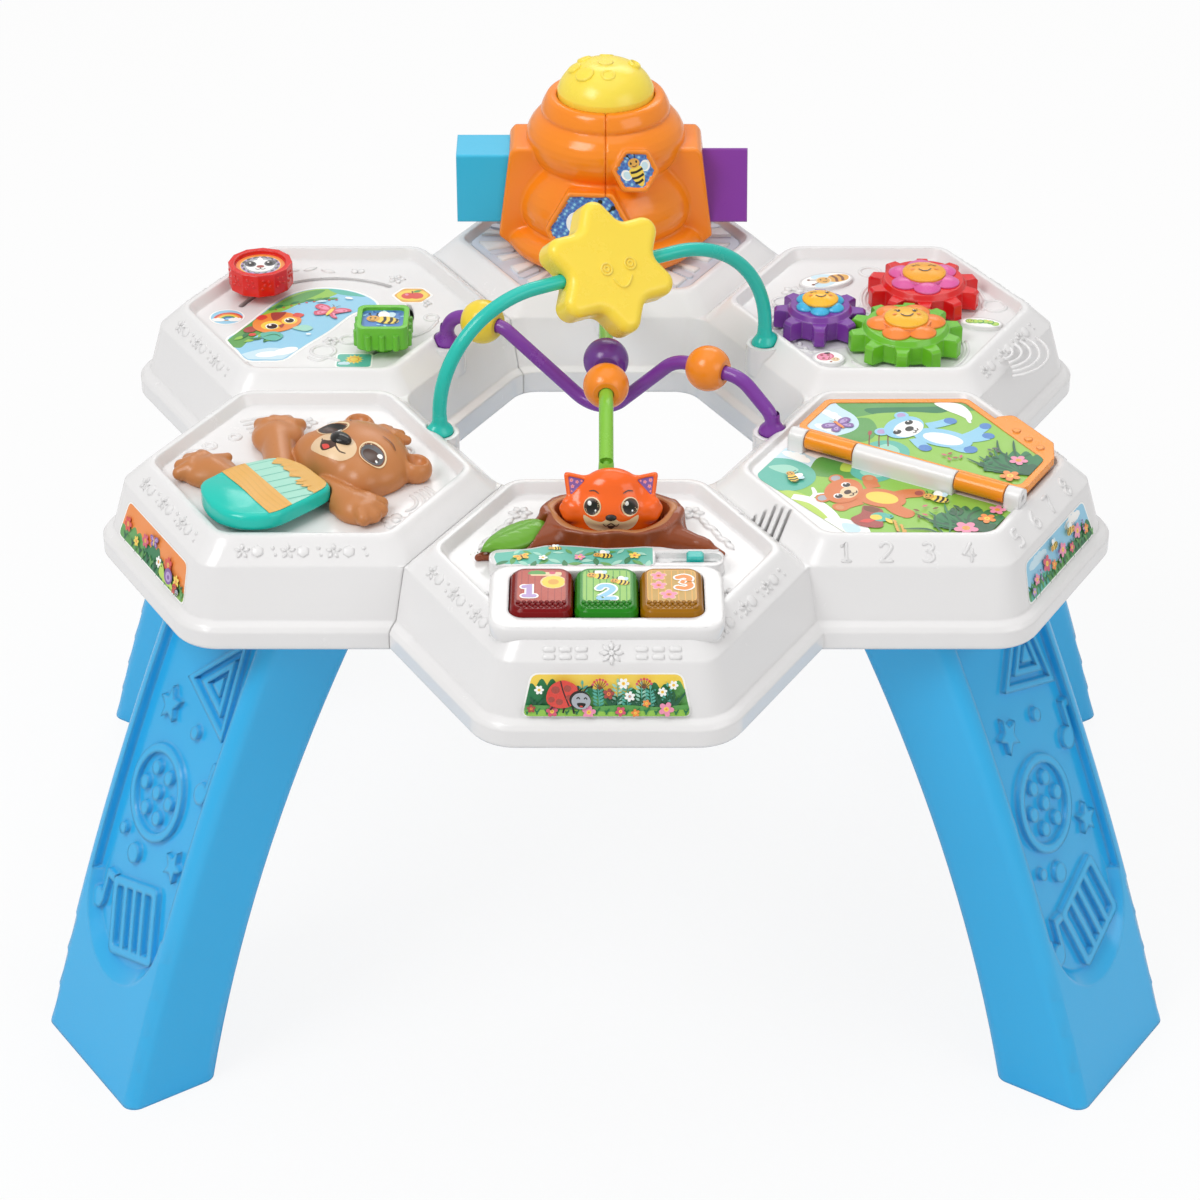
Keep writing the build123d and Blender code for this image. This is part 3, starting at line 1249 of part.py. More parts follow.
with BuildPart() as blue_block:
    slab((blue_block_end, -block_inner), (hive_y - block_depth / 2, hive_y + block_depth / 2), block_bottom,
         block_bottom + block_height)
    fillet(blue_block.edges().filter_by(Axis.X), 1.5)
    bar_solid(-bar_reach - 0.3, -block_inner + 1, 0.05, mode=Mode.SUBTRACT)
write(blue_block, "blue_block")

with BuildPart() as purple_block:
    with BuildSketch(Plane(origin=(block_inner, hive_y, 0), x_dir=(0, 1, 0), z_dir=(1, 0, 0))):
        with BuildLine():
            Polyline((-block_depth / 2 - 0.6, block_bottom), (block_depth / 2 + 0.6, block_bottom),
                     (0, block_bottom + block_height), close=True)
        make_face()
    extrude(amount=purple_block_end - block_inner)
    fillet(purple_block.edges().filter_by(Axis.X), 1.2)
    bar_solid(block_inner - 1, bar_reach + 0.3, 0.05, mode=Mode.SUBTRACT)
write(purple_block, "purple_block")

# ---------------------------------------------------------------- return springs and speaker
def spring_pad(center, radius, low, high):
    """Square-wire spring, drawn as a thin sleeve."""
    disc(center, radius, low, high)
    disc(center, radius - 1.0, low, high, mode=Mode.SUBTRACT)


with BuildPart() as fox_spring:
    spring_pad((fox_x, fox_y), fox_hub, pad_height, pad_height + 8.7)
write(fox_spring, "fox_spring")
with BuildPart() as bear_spring:
    spring_pad(belly_center, belly_stem, socket_top, board_height + 8.7)
write(bear_spring, "bear_spring")
with BuildPart() as dome_spring:
    spring_pad((0, hive_y), 14, 405, 414.5)
write(dome_spring, "dome_spring")

with BuildPart() as speaker:
    disc((85, -147), 20, skirt_ceiling - 4.3, skirt_ceiling - 0.3)
    with Locations((85, -147, skirt_ceiling - 14)):
        Cone(9, 19, 10, align=(Align.CENTER, Align.CENTER, Align.MIN))
    disc((85, -147), 10, skirt_ceiling - 20, skirt_ceiling - 13)
write(speaker, "speaker")
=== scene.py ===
import math

import bmesh
import bpy
import numpy as np
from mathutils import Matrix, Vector
from mathutils.bvhtree import BVHTree
from mathutils.geometry import tessellate_polygon


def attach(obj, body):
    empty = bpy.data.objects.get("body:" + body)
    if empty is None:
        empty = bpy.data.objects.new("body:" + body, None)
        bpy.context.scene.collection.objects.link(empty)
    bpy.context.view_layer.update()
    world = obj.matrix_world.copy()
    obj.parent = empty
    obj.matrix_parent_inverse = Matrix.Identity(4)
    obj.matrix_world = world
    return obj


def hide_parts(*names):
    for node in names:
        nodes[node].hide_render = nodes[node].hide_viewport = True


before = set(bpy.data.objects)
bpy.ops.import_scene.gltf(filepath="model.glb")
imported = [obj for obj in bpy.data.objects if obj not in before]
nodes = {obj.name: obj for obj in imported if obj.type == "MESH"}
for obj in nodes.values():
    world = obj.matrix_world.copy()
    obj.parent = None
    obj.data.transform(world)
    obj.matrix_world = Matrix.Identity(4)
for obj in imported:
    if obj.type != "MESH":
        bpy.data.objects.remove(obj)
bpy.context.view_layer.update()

# Toddler activity table. Shapes are worked out in millimetres and built in metres.
MM = 0.001
CELL_PITCH = 184.0
CELL_APOTHEM = 92.0
TRAY_FLOOR = 329.0
BOOK_FLOOR = 332.5
SHOULDER = 323.0
WALL_FOOT = 295.0
WALL_FLARE = 8.0
BEVEL = 12.0
LABEL_RISE = 14.0                       # middle of a wall label above the wall's foot
FLANGE = (323.5, 325.2)                 # flange of a press-down piece under the tray
KEY_TOP, PAGE_TOP, KNOB_TOP, PLAQUE_TOP = 341.5, 341.1, 349.6, 331.2
FRONT, BOOK, GEARS, SLIDERS, BEAR = -90, -30, 30, 150, 210
FLOWERS = {"green": (174.0, 52.0), "red": (188.9, 110.1), "purple": (125.5, 75.7)}
# curved slots of the knobs: middle x and y, radius, bearing at rest, first and last bearing
TRACKS = {"red": (-163.0, 82.0, 57.5, 138, 66, 160), "green": (-174.5, 88.0, 59.5, -40, -62, 17)}


# ---------------------------------------- shader groups
def tint(code):
    """Linear colour of a sRGB hex code."""
    parts = [int(code[i:i + 2], 16) / 255 for i in (1, 3, 5)]
    return tuple(p / 12.92 if p <= 0.04045 else ((p + 0.055) / 1.055) ** 2.4 for p in parts) + (1.0,)


def new_group(name, inputs, outputs):
    group = bpy.data.node_groups.new(name, "ShaderNodeTree")
    for label, kind, value in inputs:
        socket = group.interface.new_socket(name=label, in_out="INPUT", socket_type=kind)
        if value is not None:
            socket.default_value = value
    for label, kind in outputs:
        group.interface.new_socket(name=label, in_out="OUTPUT", socket_type=kind)
    return group, group.nodes.new("NodeGroupInput"), group.nodes.new("NodeGroupOutput")


def noise(tree, where, scale, detail=3.0, rough=0.5):
    node = tree.nodes.new("ShaderNodeTexNoise")
    node.inputs["Detail"].default_value = detail
    node.inputs["Roughness"].default_value = rough
    tree.links.new(where, node.inputs["Vector"])
    if isinstance(scale, (int, float)):
        node.inputs["Scale"].default_value = scale
    else:
        tree.links.new(scale, node.inputs["Scale"])
    return node.outputs["Fac"]


def maths(tree, operation, *values, clamp=False):
    node = tree.nodes.new("ShaderNodeMath")
    node.operation = operation
    node.use_clamp = clamp
    for socket, value in zip(node.inputs, values):
        if isinstance(value, (int, float)):
            socket.default_value = value
        else:
            tree.links.new(value, socket)
    return node.outputs[0]


def mixed(tree, factor, one, other):
    node = tree.nodes.new("ShaderNodeMix")
    node.data_type = "RGBA"
    for socket, value in ((node.inputs[0], factor), (node.inputs[6], one), (node.inputs[7], other)):
        if isinstance(value, (int, float, tuple)):
            socket.default_value = value
        else:
            tree.links.new(value, socket)
    return node.outputs[2]


def ramp(tree, value, low, high, to_low=0.0, to_high=1.0):
    node = tree.nodes.new("ShaderNodeMapRange")
    for i, v in enumerate((value, low, high, to_low, to_high)):
        if isinstance(v, (int, float)):
            node.inputs[i].default_value = v
        else:
            tree.links.new(v, node.inputs[i])
    return node.outputs[0]


def make_moulded():
    """Moulded plastic: soft tone drift, fine spark-eroded grain, scuffed gloss and handled edges."""
    group, given, out = new_group("moulded_plastic", [
        ("Color", "NodeSocketColor", (0.8, 0.8, 0.8, 1)),
        ("Tone drift", "NodeSocketFloat", 0.04),
        ("Gloss roughness", "NodeSocketFloat", 0.28),
        ("Grain size", "NodeSocketFloat", 900.0),
        ("Scuffs", "NodeSocketFloat", 0.25),
        ("Edge radius", "NodeSocketFloat", 0.0012),
        ("Edge tone", "NodeSocketFloat", 0.12),
    ], [("Color", "NodeSocketColor"), ("Roughness", "NodeSocketFloat"), ("Height", "NodeSocketFloat"),
        ("Normal", "NodeSocketVector")])
    where = group.nodes.new("ShaderNodeTexCoord").outputs["Object"]
    drift = noise(group, where, 9.0, 2.0)
    dark = maths(group, "SUBTRACT", 1.0, given.outputs["Tone drift"])
    light = maths(group, "ADD", 1.0, given.outputs["Tone drift"])
    factor = ramp(group, drift, 0.3, 0.7, dark, light)
    tone = group.nodes.new("ShaderNodeVectorMath")
    tone.operation = "SCALE"
    group.links.new(given.outputs["Color"], tone.inputs[0])
    group.links.new(factor, tone.inputs["Scale"])
    rounding = group.nodes.new("ShaderNodeBevel")
    rounding.samples = 4
    group.links.new(given.outputs["Edge radius"], rounding.inputs["Radius"])
    flat = group.nodes.new("ShaderNodeNewGeometry").outputs["Normal"]
    meeting = group.nodes.new("ShaderNodeVectorMath")
    meeting.operation = "DOT_PRODUCT"
    group.links.new(rounding.outputs[0], meeting.inputs[0])
    group.links.new(flat, meeting.inputs[1])
    edge = ramp(group, meeting.outputs["Value"], 0.999, 0.93)
    scuff_patches = ramp(group, noise(group, where, 38.0, 5.0, 0.65), 0.5, 0.72)
    edge_light = maths(group, "MULTIPLY", maths(group, "MULTIPLY", edge, given.outputs["Edge tone"]),
                       maths(group, "ADD", 0.5, scuff_patches))
    colour = mixed(group, edge_light, tone.outputs[0], (1.0, 1.0, 1.0, 1.0))
    group.links.new(colour, out.inputs["Color"])
    grain = noise(group, where, given.outputs["Grain size"], 2.0, 0.6)
    spread = maths(group, "MULTIPLY", maths(group, "MULTIPLY", scuff_patches, given.outputs["Scuffs"]), 0.5)
    fine = maths(group, "MULTIPLY", maths(group, "SUBTRACT", grain, 0.5), 0.12)
    group.links.new(maths(group, "ADD", maths(group, "ADD", given.outputs["Gloss roughness"], spread), fine),
                    out.inputs["Roughness"])
    flow = noise(group, where, 70.0, 2.0)
    group.links.new(maths(group, "ADD", grain, maths(group, "MULTIPLY", flow, 2.5)), out.inputs["Height"])
    group.links.new(rounding.outputs[0], out.inputs["Normal"])
    return group


def make_inked():
    """Printed label film: fine halftone dots in the ink and a faintly rippled gloss coat."""
    group, given, out = new_group("inked_film", [
        ("Color", "NodeSocketColor", (0.8, 0.8, 0.8, 1)), ("Dot strength", "NodeSocketFloat", 0.04),
        ("Gloss roughness", "NodeSocketFloat", 0.3),
    ], [("Color", "NodeSocketColor"), ("Roughness", "NodeSocketFloat"), ("Height", "NodeSocketFloat")])
    where = group.nodes.new("ShaderNodeTexCoord").outputs["Object"]
    dots = group.nodes.new("ShaderNodeTexVoronoi")
    dots.inputs["Scale"].default_value = 1500.0
    group.links.new(where, dots.inputs["Vector"])
    speck = maths(group, "MULTIPLY", ramp(group, dots.outputs["Distance"], 0.2, 0.5),
                  given.outputs["Dot strength"])
    wash = noise(group, where, 60.0, 3.0)
    pale = maths(group, "MULTIPLY", given.outputs["Dot strength"], 1.2)
    washed = mixed(group, ramp(group, wash, 0.35, 0.7, 0.0, pale), given.outputs["Color"],
                   (0.9, 0.9, 0.85, 1.0))
    group.links.new(mixed(group, speck, washed, (1.0, 1.0, 1.0, 1.0)), out.inputs["Color"])
    ripple = noise(group, where, 160.0, 2.0)
    group.links.new(maths(group, "ADD", given.outputs["Gloss roughness"],
                          maths(group, "MULTIPLY", ripple, 0.1)), out.inputs["Roughness"])
    group.links.new(ripple, out.inputs["Height"])
    return group


def make_streaked():
    """Brushed and rolled metal: long fine streaks with small dull spots."""
    group, given, out = new_group("streaked_metal", [
        ("Color", "NodeSocketColor", (0.7, 0.7, 0.7, 1)), ("Gloss roughness", "NodeSocketFloat", 0.25),
    ], [("Color", "NodeSocketColor"), ("Roughness", "NodeSocketFloat"), ("Height", "NodeSocketFloat")])
    where = group.nodes.new("ShaderNodeTexCoord").outputs["Object"]
    stretch = group.nodes.new("ShaderNodeMapping")
    stretch.inputs["Scale"].default_value = (1.0, 1.0, 0.06)
    group.links.new(where, stretch.inputs["Vector"])
    streak = noise(group, stretch.outputs[0], 2600.0, 3.0)
    spots = ramp(group, noise(group, where, 300.0, 4.0), 0.5, 0.7)
    dull = maths(group, "MULTIPLY", spots, 0.35)
    group.links.new(mixed(group, dull, given.outputs["Color"], (0.32, 0.3, 0.28, 1.0)), out.inputs["Color"])
    group.links.new(maths(group, "ADD", given.outputs["Gloss roughness"],
                          maths(group, "MULTIPLY", streak, 0.2)),
                    out.inputs["Roughness"])
    group.links.new(streak, out.inputs["Height"])
    return group


MOULDED = make_moulded()
INKED = make_inked()
STREAKED = make_streaked()


def material(name, group, code, bump, **values):
    """Material whose colour, gloss and relief come from a shader group; bump is in metres."""
    made = bpy.data.materials.new(name)
    made.use_nodes = True
    tree = made.node_tree
    shader = tree.nodes["Principled BSDF"]
    node = tree.nodes.new("ShaderNodeGroup")
    node.node_tree = group
    node.inputs["Color"].default_value = tint(code)
    for label, value in values.items():
        node.inputs[label.replace("_", " ")].default_value = value
    tree.links.new(node.outputs["Color"], shader.inputs["Base Color"])
    tree.links.new(node.outputs["Roughness"], shader.inputs["Roughness"])
    raised = tree.nodes.new("ShaderNodeBump")
    raised.inputs["Strength"].default_value = 1.0
    raised.inputs["Distance"].default_value = bump
    tree.links.new(node.outputs["Height"], raised.inputs["Height"])
    if "Normal" in node.outputs:
        tree.links.new(node.outputs["Normal"], raised.inputs["Normal"])
    tree.links.new(raised.outputs[0], shader.inputs["Normal"])
    return made, shader


def plastic(name, code, gloss=0.28, drift=0.04, scuffs=0.25, edge=0.0012, edge_tone=0.12, soft=0.0):
    """Moulded plastic finish of one colour; soft lets a little light through."""
    made, shader = material(name, MOULDED, code, 0.00003, Tone_drift=drift, Gloss_roughness=gloss,
                            Grain_size=900.0,
                            Scuffs=scuffs, Edge_radius=edge, Edge_tone=edge_tone)
    shader.inputs["IOR"].default_value = 1.49
    if soft:
        shader.inputs["Subsurface Weight"].default_value = soft
        shader.inputs["Subsurface Radius"].default_value = (1.0, 0.8, 0.6)
        shader.inputs["Subsurface Scale"].default_value = 0.004
    return made


def ink(name, code):
    """Printing ink; its halftone dots are fainter in dark colours."""
    dots = 0.006 if max(tint(code)[:3]) < 0.2 else 0.03
    return material(name, INKED, code, 0.00002, Gloss_roughness=0.3, Dot_strength=dots)[0]


def metal(name, code, gloss):
    made, shader = material(name, STREAKED, code, 0.00002, Gloss_roughness=gloss)
    shader.inputs["Metallic"].default_value = 1.0
    return made


def pebbled(name, code):
    """Deep coloured key plastic, pebbled so that it glitters."""
    made, shader = material(name, MOULDED, code, 0.00006, Tone_drift=0.1, Gloss_roughness=0.12,
                            Grain_size=500.0,
                            Scuffs=0.1, Edge_radius=0.0008, Edge_tone=0.05)
    shader.inputs["IOR"].default_value = 1.5
    shader.inputs["Specular IOR Level"].default_value = 0.22
    return made


# ---------------------------------------- finishes of the pieces
FINISHES = {
    "deck_white": plastic("deck_white_plastic", "#e9e8e8", gloss=0.16, drift=0.01, edge=0.0022,
                          edge_tone=0.2),
    "base_white": plastic("base_white_plastic", "#dcdcdf", gloss=0.42, drift=0.02),
    "leg_blue": plastic("leg_sky_blue_plastic", "#2fb2ec", gloss=0.18, drift=0.015, scuffs=0.12, edge=0.003,
                        edge_tone=0.08),
    "steel": metal("zinc_screw_steel", "#b9bcc0", 0.3),
    "bark": plastic("stump_bark_brown", "#8e431b", gloss=0.16, drift=0.14, edge_tone=0.12),
    "bark_pale": plastic("stump_rim_tan", "#b5743f", gloss=0.3, drift=0.08),
    "bear_brown": plastic("bear_satin_brown", "#c27d46", gloss=0.3, drift=0.05, edge_tone=0.1),
    "belly_teal": plastic("belly_teal_plastic", "#0cc7b6", gloss=0.14, drift=0.03),
    "hive_orange": plastic("hive_orange_plastic", "#fb8d18", gloss=0.14, drift=0.02, edge=0.0016,
                           edge_tone=0.06),
    "tray_grey": plastic("sunburst_tray_grey", "#cfd6e2", gloss=0.3, drift=0.03),
    "wire_teal": plastic("arch_teal_plastic", "#1fc2b3", gloss=0.18, drift=0.03),
    "wire_purple": plastic("wave_purple_plastic", "#7d389f", gloss=0.2, drift=0.05),
    "wire_green": plastic("arch_green_plastic", "#86c83f", gloss=0.2, drift=0.04),
    "speaker_black": plastic("speaker_black_paper", "#1b1b1d", gloss=0.6, drift=0.1),
    "board_green": plastic("circuit_board_green", "#1d6a3a", gloss=0.35, drift=0.1),
    "pad_grey": plastic("silicone_pad_grey", "#8f9296", gloss=0.6, drift=0.05, soft=0.1),
    "battery_shell": plastic("battery_sleeve_dark", "#2a2c30", gloss=0.25, drift=0.05),
    "contact_metal": metal("nickel_contact", "#c9c6bd", 0.22),
    "key_red": pebbled("key_ruby_clear", "#7a0206"),
    "key_green": pebbled("key_leaf_clear", "#1f8013"),
    "key_amber": pebbled("key_amber_clear", "#9a6604"),
    "leaf_green": plastic("leaf_button_green", "#6cab30", gloss=0.2, drift=0.06),
    "fox_orange": plastic("fox_orange_plastic", "#fb6612", gloss=0.14, drift=0.02, edge_tone=0.04),
    "switch_teal": plastic("switch_teal_plastic", "#16b9b0", gloss=0.2),
    "page_orange": plastic("page_orange_plastic", "#f79512", gloss=0.2, drift=0.03),
    "gear_purple": plastic("gear_purple_plastic", "#7b3aa0", gloss=0.14, drift=0.03, edge_tone=0.08),
    "gear_green": plastic("gear_green_plastic", "#70c22c", gloss=0.14, drift=0.03, edge_tone=0.08),
    "gear_red": plastic("gear_red_plastic", "#e31a1c", gloss=0.14, drift=0.03, edge_tone=0.06),
    "petal_blue": plastic("petal_sky_blue", "#3fb8e6", gloss=0.22, drift=0.05),
    "petal_orange": plastic("petal_orange", "#fa8a30", gloss=0.22, drift=0.05),
    "petal_pink": plastic("petal_pink", "#e35fa8", gloss=0.22, drift=0.05),
    "face_yellow": plastic("flower_face_yellow", "#f9bb22", gloss=0.24, drift=0.05),
    "face_orange": plastic("flower_face_amber", "#f9ab20", gloss=0.24, drift=0.05),
    "knob_red": plastic("knob_red_plastic", "#e3170f", gloss=0.14, drift=0.03, edge_tone=0.08),
    "knob_green": plastic("knob_green_plastic", "#6ac42f", gloss=0.14, drift=0.03, edge_tone=0.08),
    "dome_yellow": plastic("dome_soft_yellow", "#fbe14e", gloss=0.24, drift=0.03, soft=0.1),
    "block_blue": plastic("block_sky_blue", "#33bde6", gloss=0.3, drift=0.04),
    "block_purple": plastic("block_purple_plastic", "#8434a2", gloss=0.3, drift=0.04),
    "bar_grey": plastic("slider_bar_grey", "#9a9da2", gloss=0.35),
    "star_yellow": plastic("star_soft_yellow", "#fede46", gloss=0.24, drift=0.03, soft=0.12),
    "bead_yellow": plastic("bead_yellow_plastic", "#f4d63a", gloss=0.2, drift=0.05),
    "bead_orange": plastic("bead_orange_plastic", "#f68d20", gloss=0.2, drift=0.05),
    "bead_purple": plastic("bead_purple_plastic", "#6b3691", gloss=0.2, drift=0.05),
    "fox_nose_black": plastic("nose_gloss_black", "#15110f", gloss=0.12, drift=0.05),
}
INKS = {
    "black": "#17130f", "white": "#fbfbf8", "cream": "#e9c79b", "sand": "#efd3a6", "tan": "#d98f5a",
    "ochre": "#e3a83d", "gold": "#dba53a", "brown": "#7b4422", "dark_brown": "#40210f", "russet": "#d9742e",
    "red": "#dc3526", "brick": "#a5382b", "pink": "#f08fb0", "rose": "#d64e6c", "orange": "#f18a2c",
    "yellow": "#f8d545", "sky": "#8fcdea", "pale_sky": "#c9e6f2", "blue": "#3f7fc9", "deep_blue": "#2b5bb5",
    "teal": "#4fb8a4", "pale_teal": "#9dd9c4", "meadow": "#8ec63f", "lime": "#b8d84f", "leaf": "#4c9c3e",
    "forest": "#1f7a47", "pine": "#135a3a", "purple": "#7a4a9d", "rose_glass": "#b94a38",
    "lime_glass": "#92c75c", "amber_glass": "#c39a40", "lilac": "#b79ad0", "grey": "#aab0b8",
    # grey print ink; in the bear's right eye it is painted glare
    "eye_grey": "#5d5f63",
}
made_inks = {}


def finish(name):
    """A moulded finish, or a printing ink by its name with "ink:" before it."""
    if not name.startswith("ink:"):
        return FINISHES[name]
    short = name[4:]
    if short not in made_inks:
        made_inks[short] = ink("ink_" + short, INKS[short])
    return made_inks[short]


NODE_FINISH = {
    "left_deck": "deck_white", "right_deck": "deck_white", "left_base": "base_white",
    "right_base": "base_white",
    "battery_door": "base_white", "battery_contacts": "contact_metal", "batteries": "battery_shell",
    "deck_screws": "steel", "wire_screws": "steel", "gear_screws": "steel", "hive_screws": "steel",
    "leg_front_left": "leg_blue", "leg_front_right": "leg_blue", "leg_rear_left": "leg_blue",
    "leg_rear_right": "leg_blue", "teal_wire": "wire_teal", "purple_wire": "wire_purple",
    "green_wire": "wire_green",
    "key_1": "key_red", "key_2": "key_green", "key_3": "key_amber", "key_pads": "pad_grey",
    "main_board": "board_green",
    "power_switch": "switch_teal", "leaf_button": "leaf_green", "stump": "bark", "fox_head": "fox_orange",
    "bear_body": "bear_brown", "bear_belly": "belly_teal", "book_page": "page_orange", "hinge_pin": "steel",
    "green_gear": "gear_green", "red_gear": "gear_red", "purple_gear": "gear_purple",
    "green_petals": "petal_orange", "red_petals": "petal_pink", "purple_petals": "petal_blue",
    "green_face": "face_yellow", "red_face": "face_orange", "purple_face": "face_yellow",
    "red_knob": "knob_red", "red_retainer": "base_white", "green_knob": "knob_green",
    "green_retainer": "base_white",
    "hive_plate": "tray_grey", "hive_left": "hive_orange", "hive_right": "hive_orange",
    "hive_dome": "dome_yellow",
    "slider_bar": "bar_grey", "blue_block": "block_blue", "purple_block": "block_purple",
    "fox_spring": "steel",
    "bear_spring": "steel", "dome_spring": "steel", "speaker": "speaker_black", "star": "star_yellow",
    "yellow_bead": "bead_yellow", "wave_orange_bead": "bead_orange", "arch_orange_bead": "bead_orange",
    "purple_bead": "bead_purple",
}
for node_name, finish_name in NODE_FINISH.items():
    slots = nodes[node_name].data.materials
    slots.clear()
    slots.append(finish(finish_name))


# ---------------------------------------- making pieces
def piece(name, points, faces, finishes, body, picks=None, smooth=True, stands_for=()):
    """One mesh piece, given in millimetres, riding on a body."""
    mesh = bpy.data.meshes.new(name)
    mesh.from_pydata([Vector(p) * MM for p in points], [], faces)
    for finish_name in finishes:
        mesh.materials.append(finish(finish_name))
    if picks is not None:
        mesh.polygons.foreach_set("material_index", picks)
    mesh.polygons.foreach_set("use_smooth", [smooth] * len(mesh.polygons))
    mesh.update()
    thing = bpy.data.objects.new(name, mesh)
    bpy.context.scene.collection.objects.link(thing)
    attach(thing, body)
    if stands_for:
        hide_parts(*stands_for)
    return thing


def crease(thing, angle):
    """Keeps corners sharper than the angle crisp in the shading."""
    mesh = bmesh.new()
    mesh.from_mesh(thing.data)
    for edge in mesh.edges:
        if len(edge.link_faces) == 2 and edge.calc_face_angle(0) > math.radians(angle):
            edge.smooth = False
    mesh.to_mesh(thing.data)
    mesh.free()
    return thing


def polar(radius, bearing):
    angle = math.radians(bearing)
    return radius * math.cos(angle), radius * math.sin(angle)


def place_frame(origin, across, up):
    """Frame of a flat place: a function of (u, v, h) that gives a point; u runs across, v up, h outwards."""
    u = Vector(across).normalized()
    w = u.cross(Vector(up)).normalized()
    v = w.cross(u)
    base = Vector(origin)

    def point(a, b, h=0.0):
        return base + u * a + v * b + w * h
    point.out = w
    point.across = u
    point.up = v
    point.origin = base
    return point


def cell_frame(direction, height):
    """Frame of a cell's floor: u outwards from the middle of the table, v anticlockwise."""
    x, y = polar(CELL_PITCH, direction)
    return place_frame((x, y, height), (*polar(1, direction), 0), (*polar(1, direction + 90), 0))


def ground_frame(x, y, height, bearing=0.0):
    return place_frame((x, y, height), (*polar(1, bearing), 0), (*polar(1, bearing + 90), 0))


def wall_frame(direction):
    """Frame of the label's spot on a cell's outer side wall."""
    x, y = polar(CELL_PITCH, direction)
    slope = WALL_FLARE / (SHOULDER - WALL_FOOT)
    a, b = polar(CELL_APOTHEM + WALL_FLARE - slope * LABEL_RISE, direction)
    c, d = polar(slope, direction)
    return place_frame((x + a, y + b, WALL_FOOT + LABEL_RISE), (*polar(1, direction + 90), 0), (-c, -d, 1))


def bevel_frame(direction, side, up):
    """Frame of the bevel round a cell, turned side degrees from its direction; up runs from 0 to 1."""
    x, y = polar(CELL_PITCH, direction)
    a, b = polar(CELL_APOTHEM - BEVEL * up, direction + side)
    c, d = polar(1, direction + side)
    return place_frame((x + a, y + b, SHOULDER + BEVEL * up), (*polar(1, direction + side + 90), 0),
                       (-c, -d, 1))


# ---------------------------------------- outlines, in millimetres
def moved(outline, dx=0.0, dy=0.0, turn=0.0, size=1.0):
    c, s = math.cos(math.radians(turn)) * size, math.sin(math.radians(turn)) * size
    return [(dx + x * c - y * s, dy + x * s + y * c) for x, y in outline]


def oval(x, y, width, depth, turn=0.0, count=28):
    angles = [2 * math.pi * i / count for i in range(count)]
    return moved([(width / 2 * math.cos(a), depth / 2 * math.sin(a)) for a in angles], x, y, turn)


def blossom(x, y, reach, petals=5, turn=0.0, depth=0.32, count=50):
    ring = []
    for i in range(count):
        a = 2 * math.pi * i / count
        r = reach * (1 - depth + depth * abs(math.cos(petals * (a - math.radians(turn)) / 2)) ** 0.7)
        ring.append((x + r * math.cos(a), y + r * math.sin(a)))
    return ring


def between(span, t):
    """Point at t on the smooth curve between the middle two of four points."""
    return tuple(0.5 * (2 * b + (c - a) * t + (2 * a - 5 * b + 4 * c - d) * t * t
                        + (3 * b - a - 3 * c + d) * t ** 3)
                 for a, b, c, d in zip(*span))


def spline(points, per=6):
    """Closed smooth outline through points."""
    n = len(points)
    return [between([points[(i + k - 1) % n] for k in range(4)], j / per) for i in range(n)
            for j in range(per)]


def open_spline(points, per=8):
    """Smooth line through points, open at its ends."""
    full = [points[0], *points, points[-1]]
    line = [between(full[i - 1:i + 3], j / per) for i in range(1, len(full) - 2) for j in range(per)]
    return line + [tuple(points[-1])]


def rounded(points, radius, steps=4):
    """Closed outline with every corner rounded."""
    ring = []
    n = len(points)
    for i in range(n):
        before, here, after = (Vector(points[(i + k) % n]) for k in (-1, 0, 1))
        to_before, to_after = (before - here), (after - here)
        reach = min(radius, to_before.length * 0.45, to_after.length * 0.45)
        a, b = here + to_before.normalized() * reach, here + to_after.normalized() * reach
        for j in range(steps + 1):
            t = j / steps
            p = a * (1 - t) ** 2 + here * 2 * t * (1 - t) + b * t * t
            ring.append((p.x, p.y))
    return ring


def box_outline(x, y, width, depth, radius):
    corners = [(x + a * width / 2, y + b * depth / 2) for a, b in ((-1, -1), (1, -1), (1, 1), (-1, 1))]
    return rounded(corners, radius)


def ribbon(line, width, taper=1.0):
    """Closed outline of a band along an open line; taper below 1 thins its ends."""
    left, right = [], []
    n = len(line)
    for i, here in enumerate(line):
        ahead = Vector(line[min(i + 1, n - 1)]) - Vector(line[max(i - 1, 0)])
        ahead.normalize()
        t = i / (n - 1)
        half = width / 2 * (taper + (1 - taper) * math.sin(math.pi * t) ** 0.6 if taper < 1 else 1)
        left.append((here[0] - ahead.y * half, here[1] + ahead.x * half))
        right.append((here[0] + ahead.y * half, here[1] - ahead.x * half))
    return left + right[::-1]


def pointed(x, y, length, width, turn=0.0, count=18):
    """Leaf outline with two pointed ends."""
    run = [i / (count // 2) for i in range(count // 2)]
    return moved([(length * (t - 0.5) * side, width / 2 * math.sin(math.pi * t) * side)
                  for side in (1, -1) for t in run], x, y, turn)


def spiky(x, y, reach, waist, points=5, turn=90.0, radius=1.0):
    tips = [polar(waist if i % 2 else reach, turn + i * 180 / points) for i in range(2 * points)]
    return rounded(moved(tips, x, y), radius)


def area_of(outline):
    return 0.5 * sum(a[0] * b[1] - b[0] * a[1] for a, b in zip(outline, outline[1:] + outline[:1]))


def anticlockwise(outline):
    return outline if area_of(outline) > 0 else outline[::-1]


def inset(outline, amount):
    """Outline moved inwards along its own corner normals."""
    ring = []
    n = len(outline)
    for i in range(n):
        a, b, c = (Vector(outline[(i + k) % n]) for k in (-1, 0, 1))
        ahead = (c - b).normalized() + (b - a).normalized()
        if ahead.length < 1e-6:
            ahead = Vector((1, 0))
        ahead.normalize()
        ring.append((b.x - ahead.y * amount, b.y + ahead.x * amount))
    return ring


def fill(outline):
    """Triangles that fill an outline."""
    return tessellate_polygon([[Vector((x, y, 0)) for x, y in outline]])


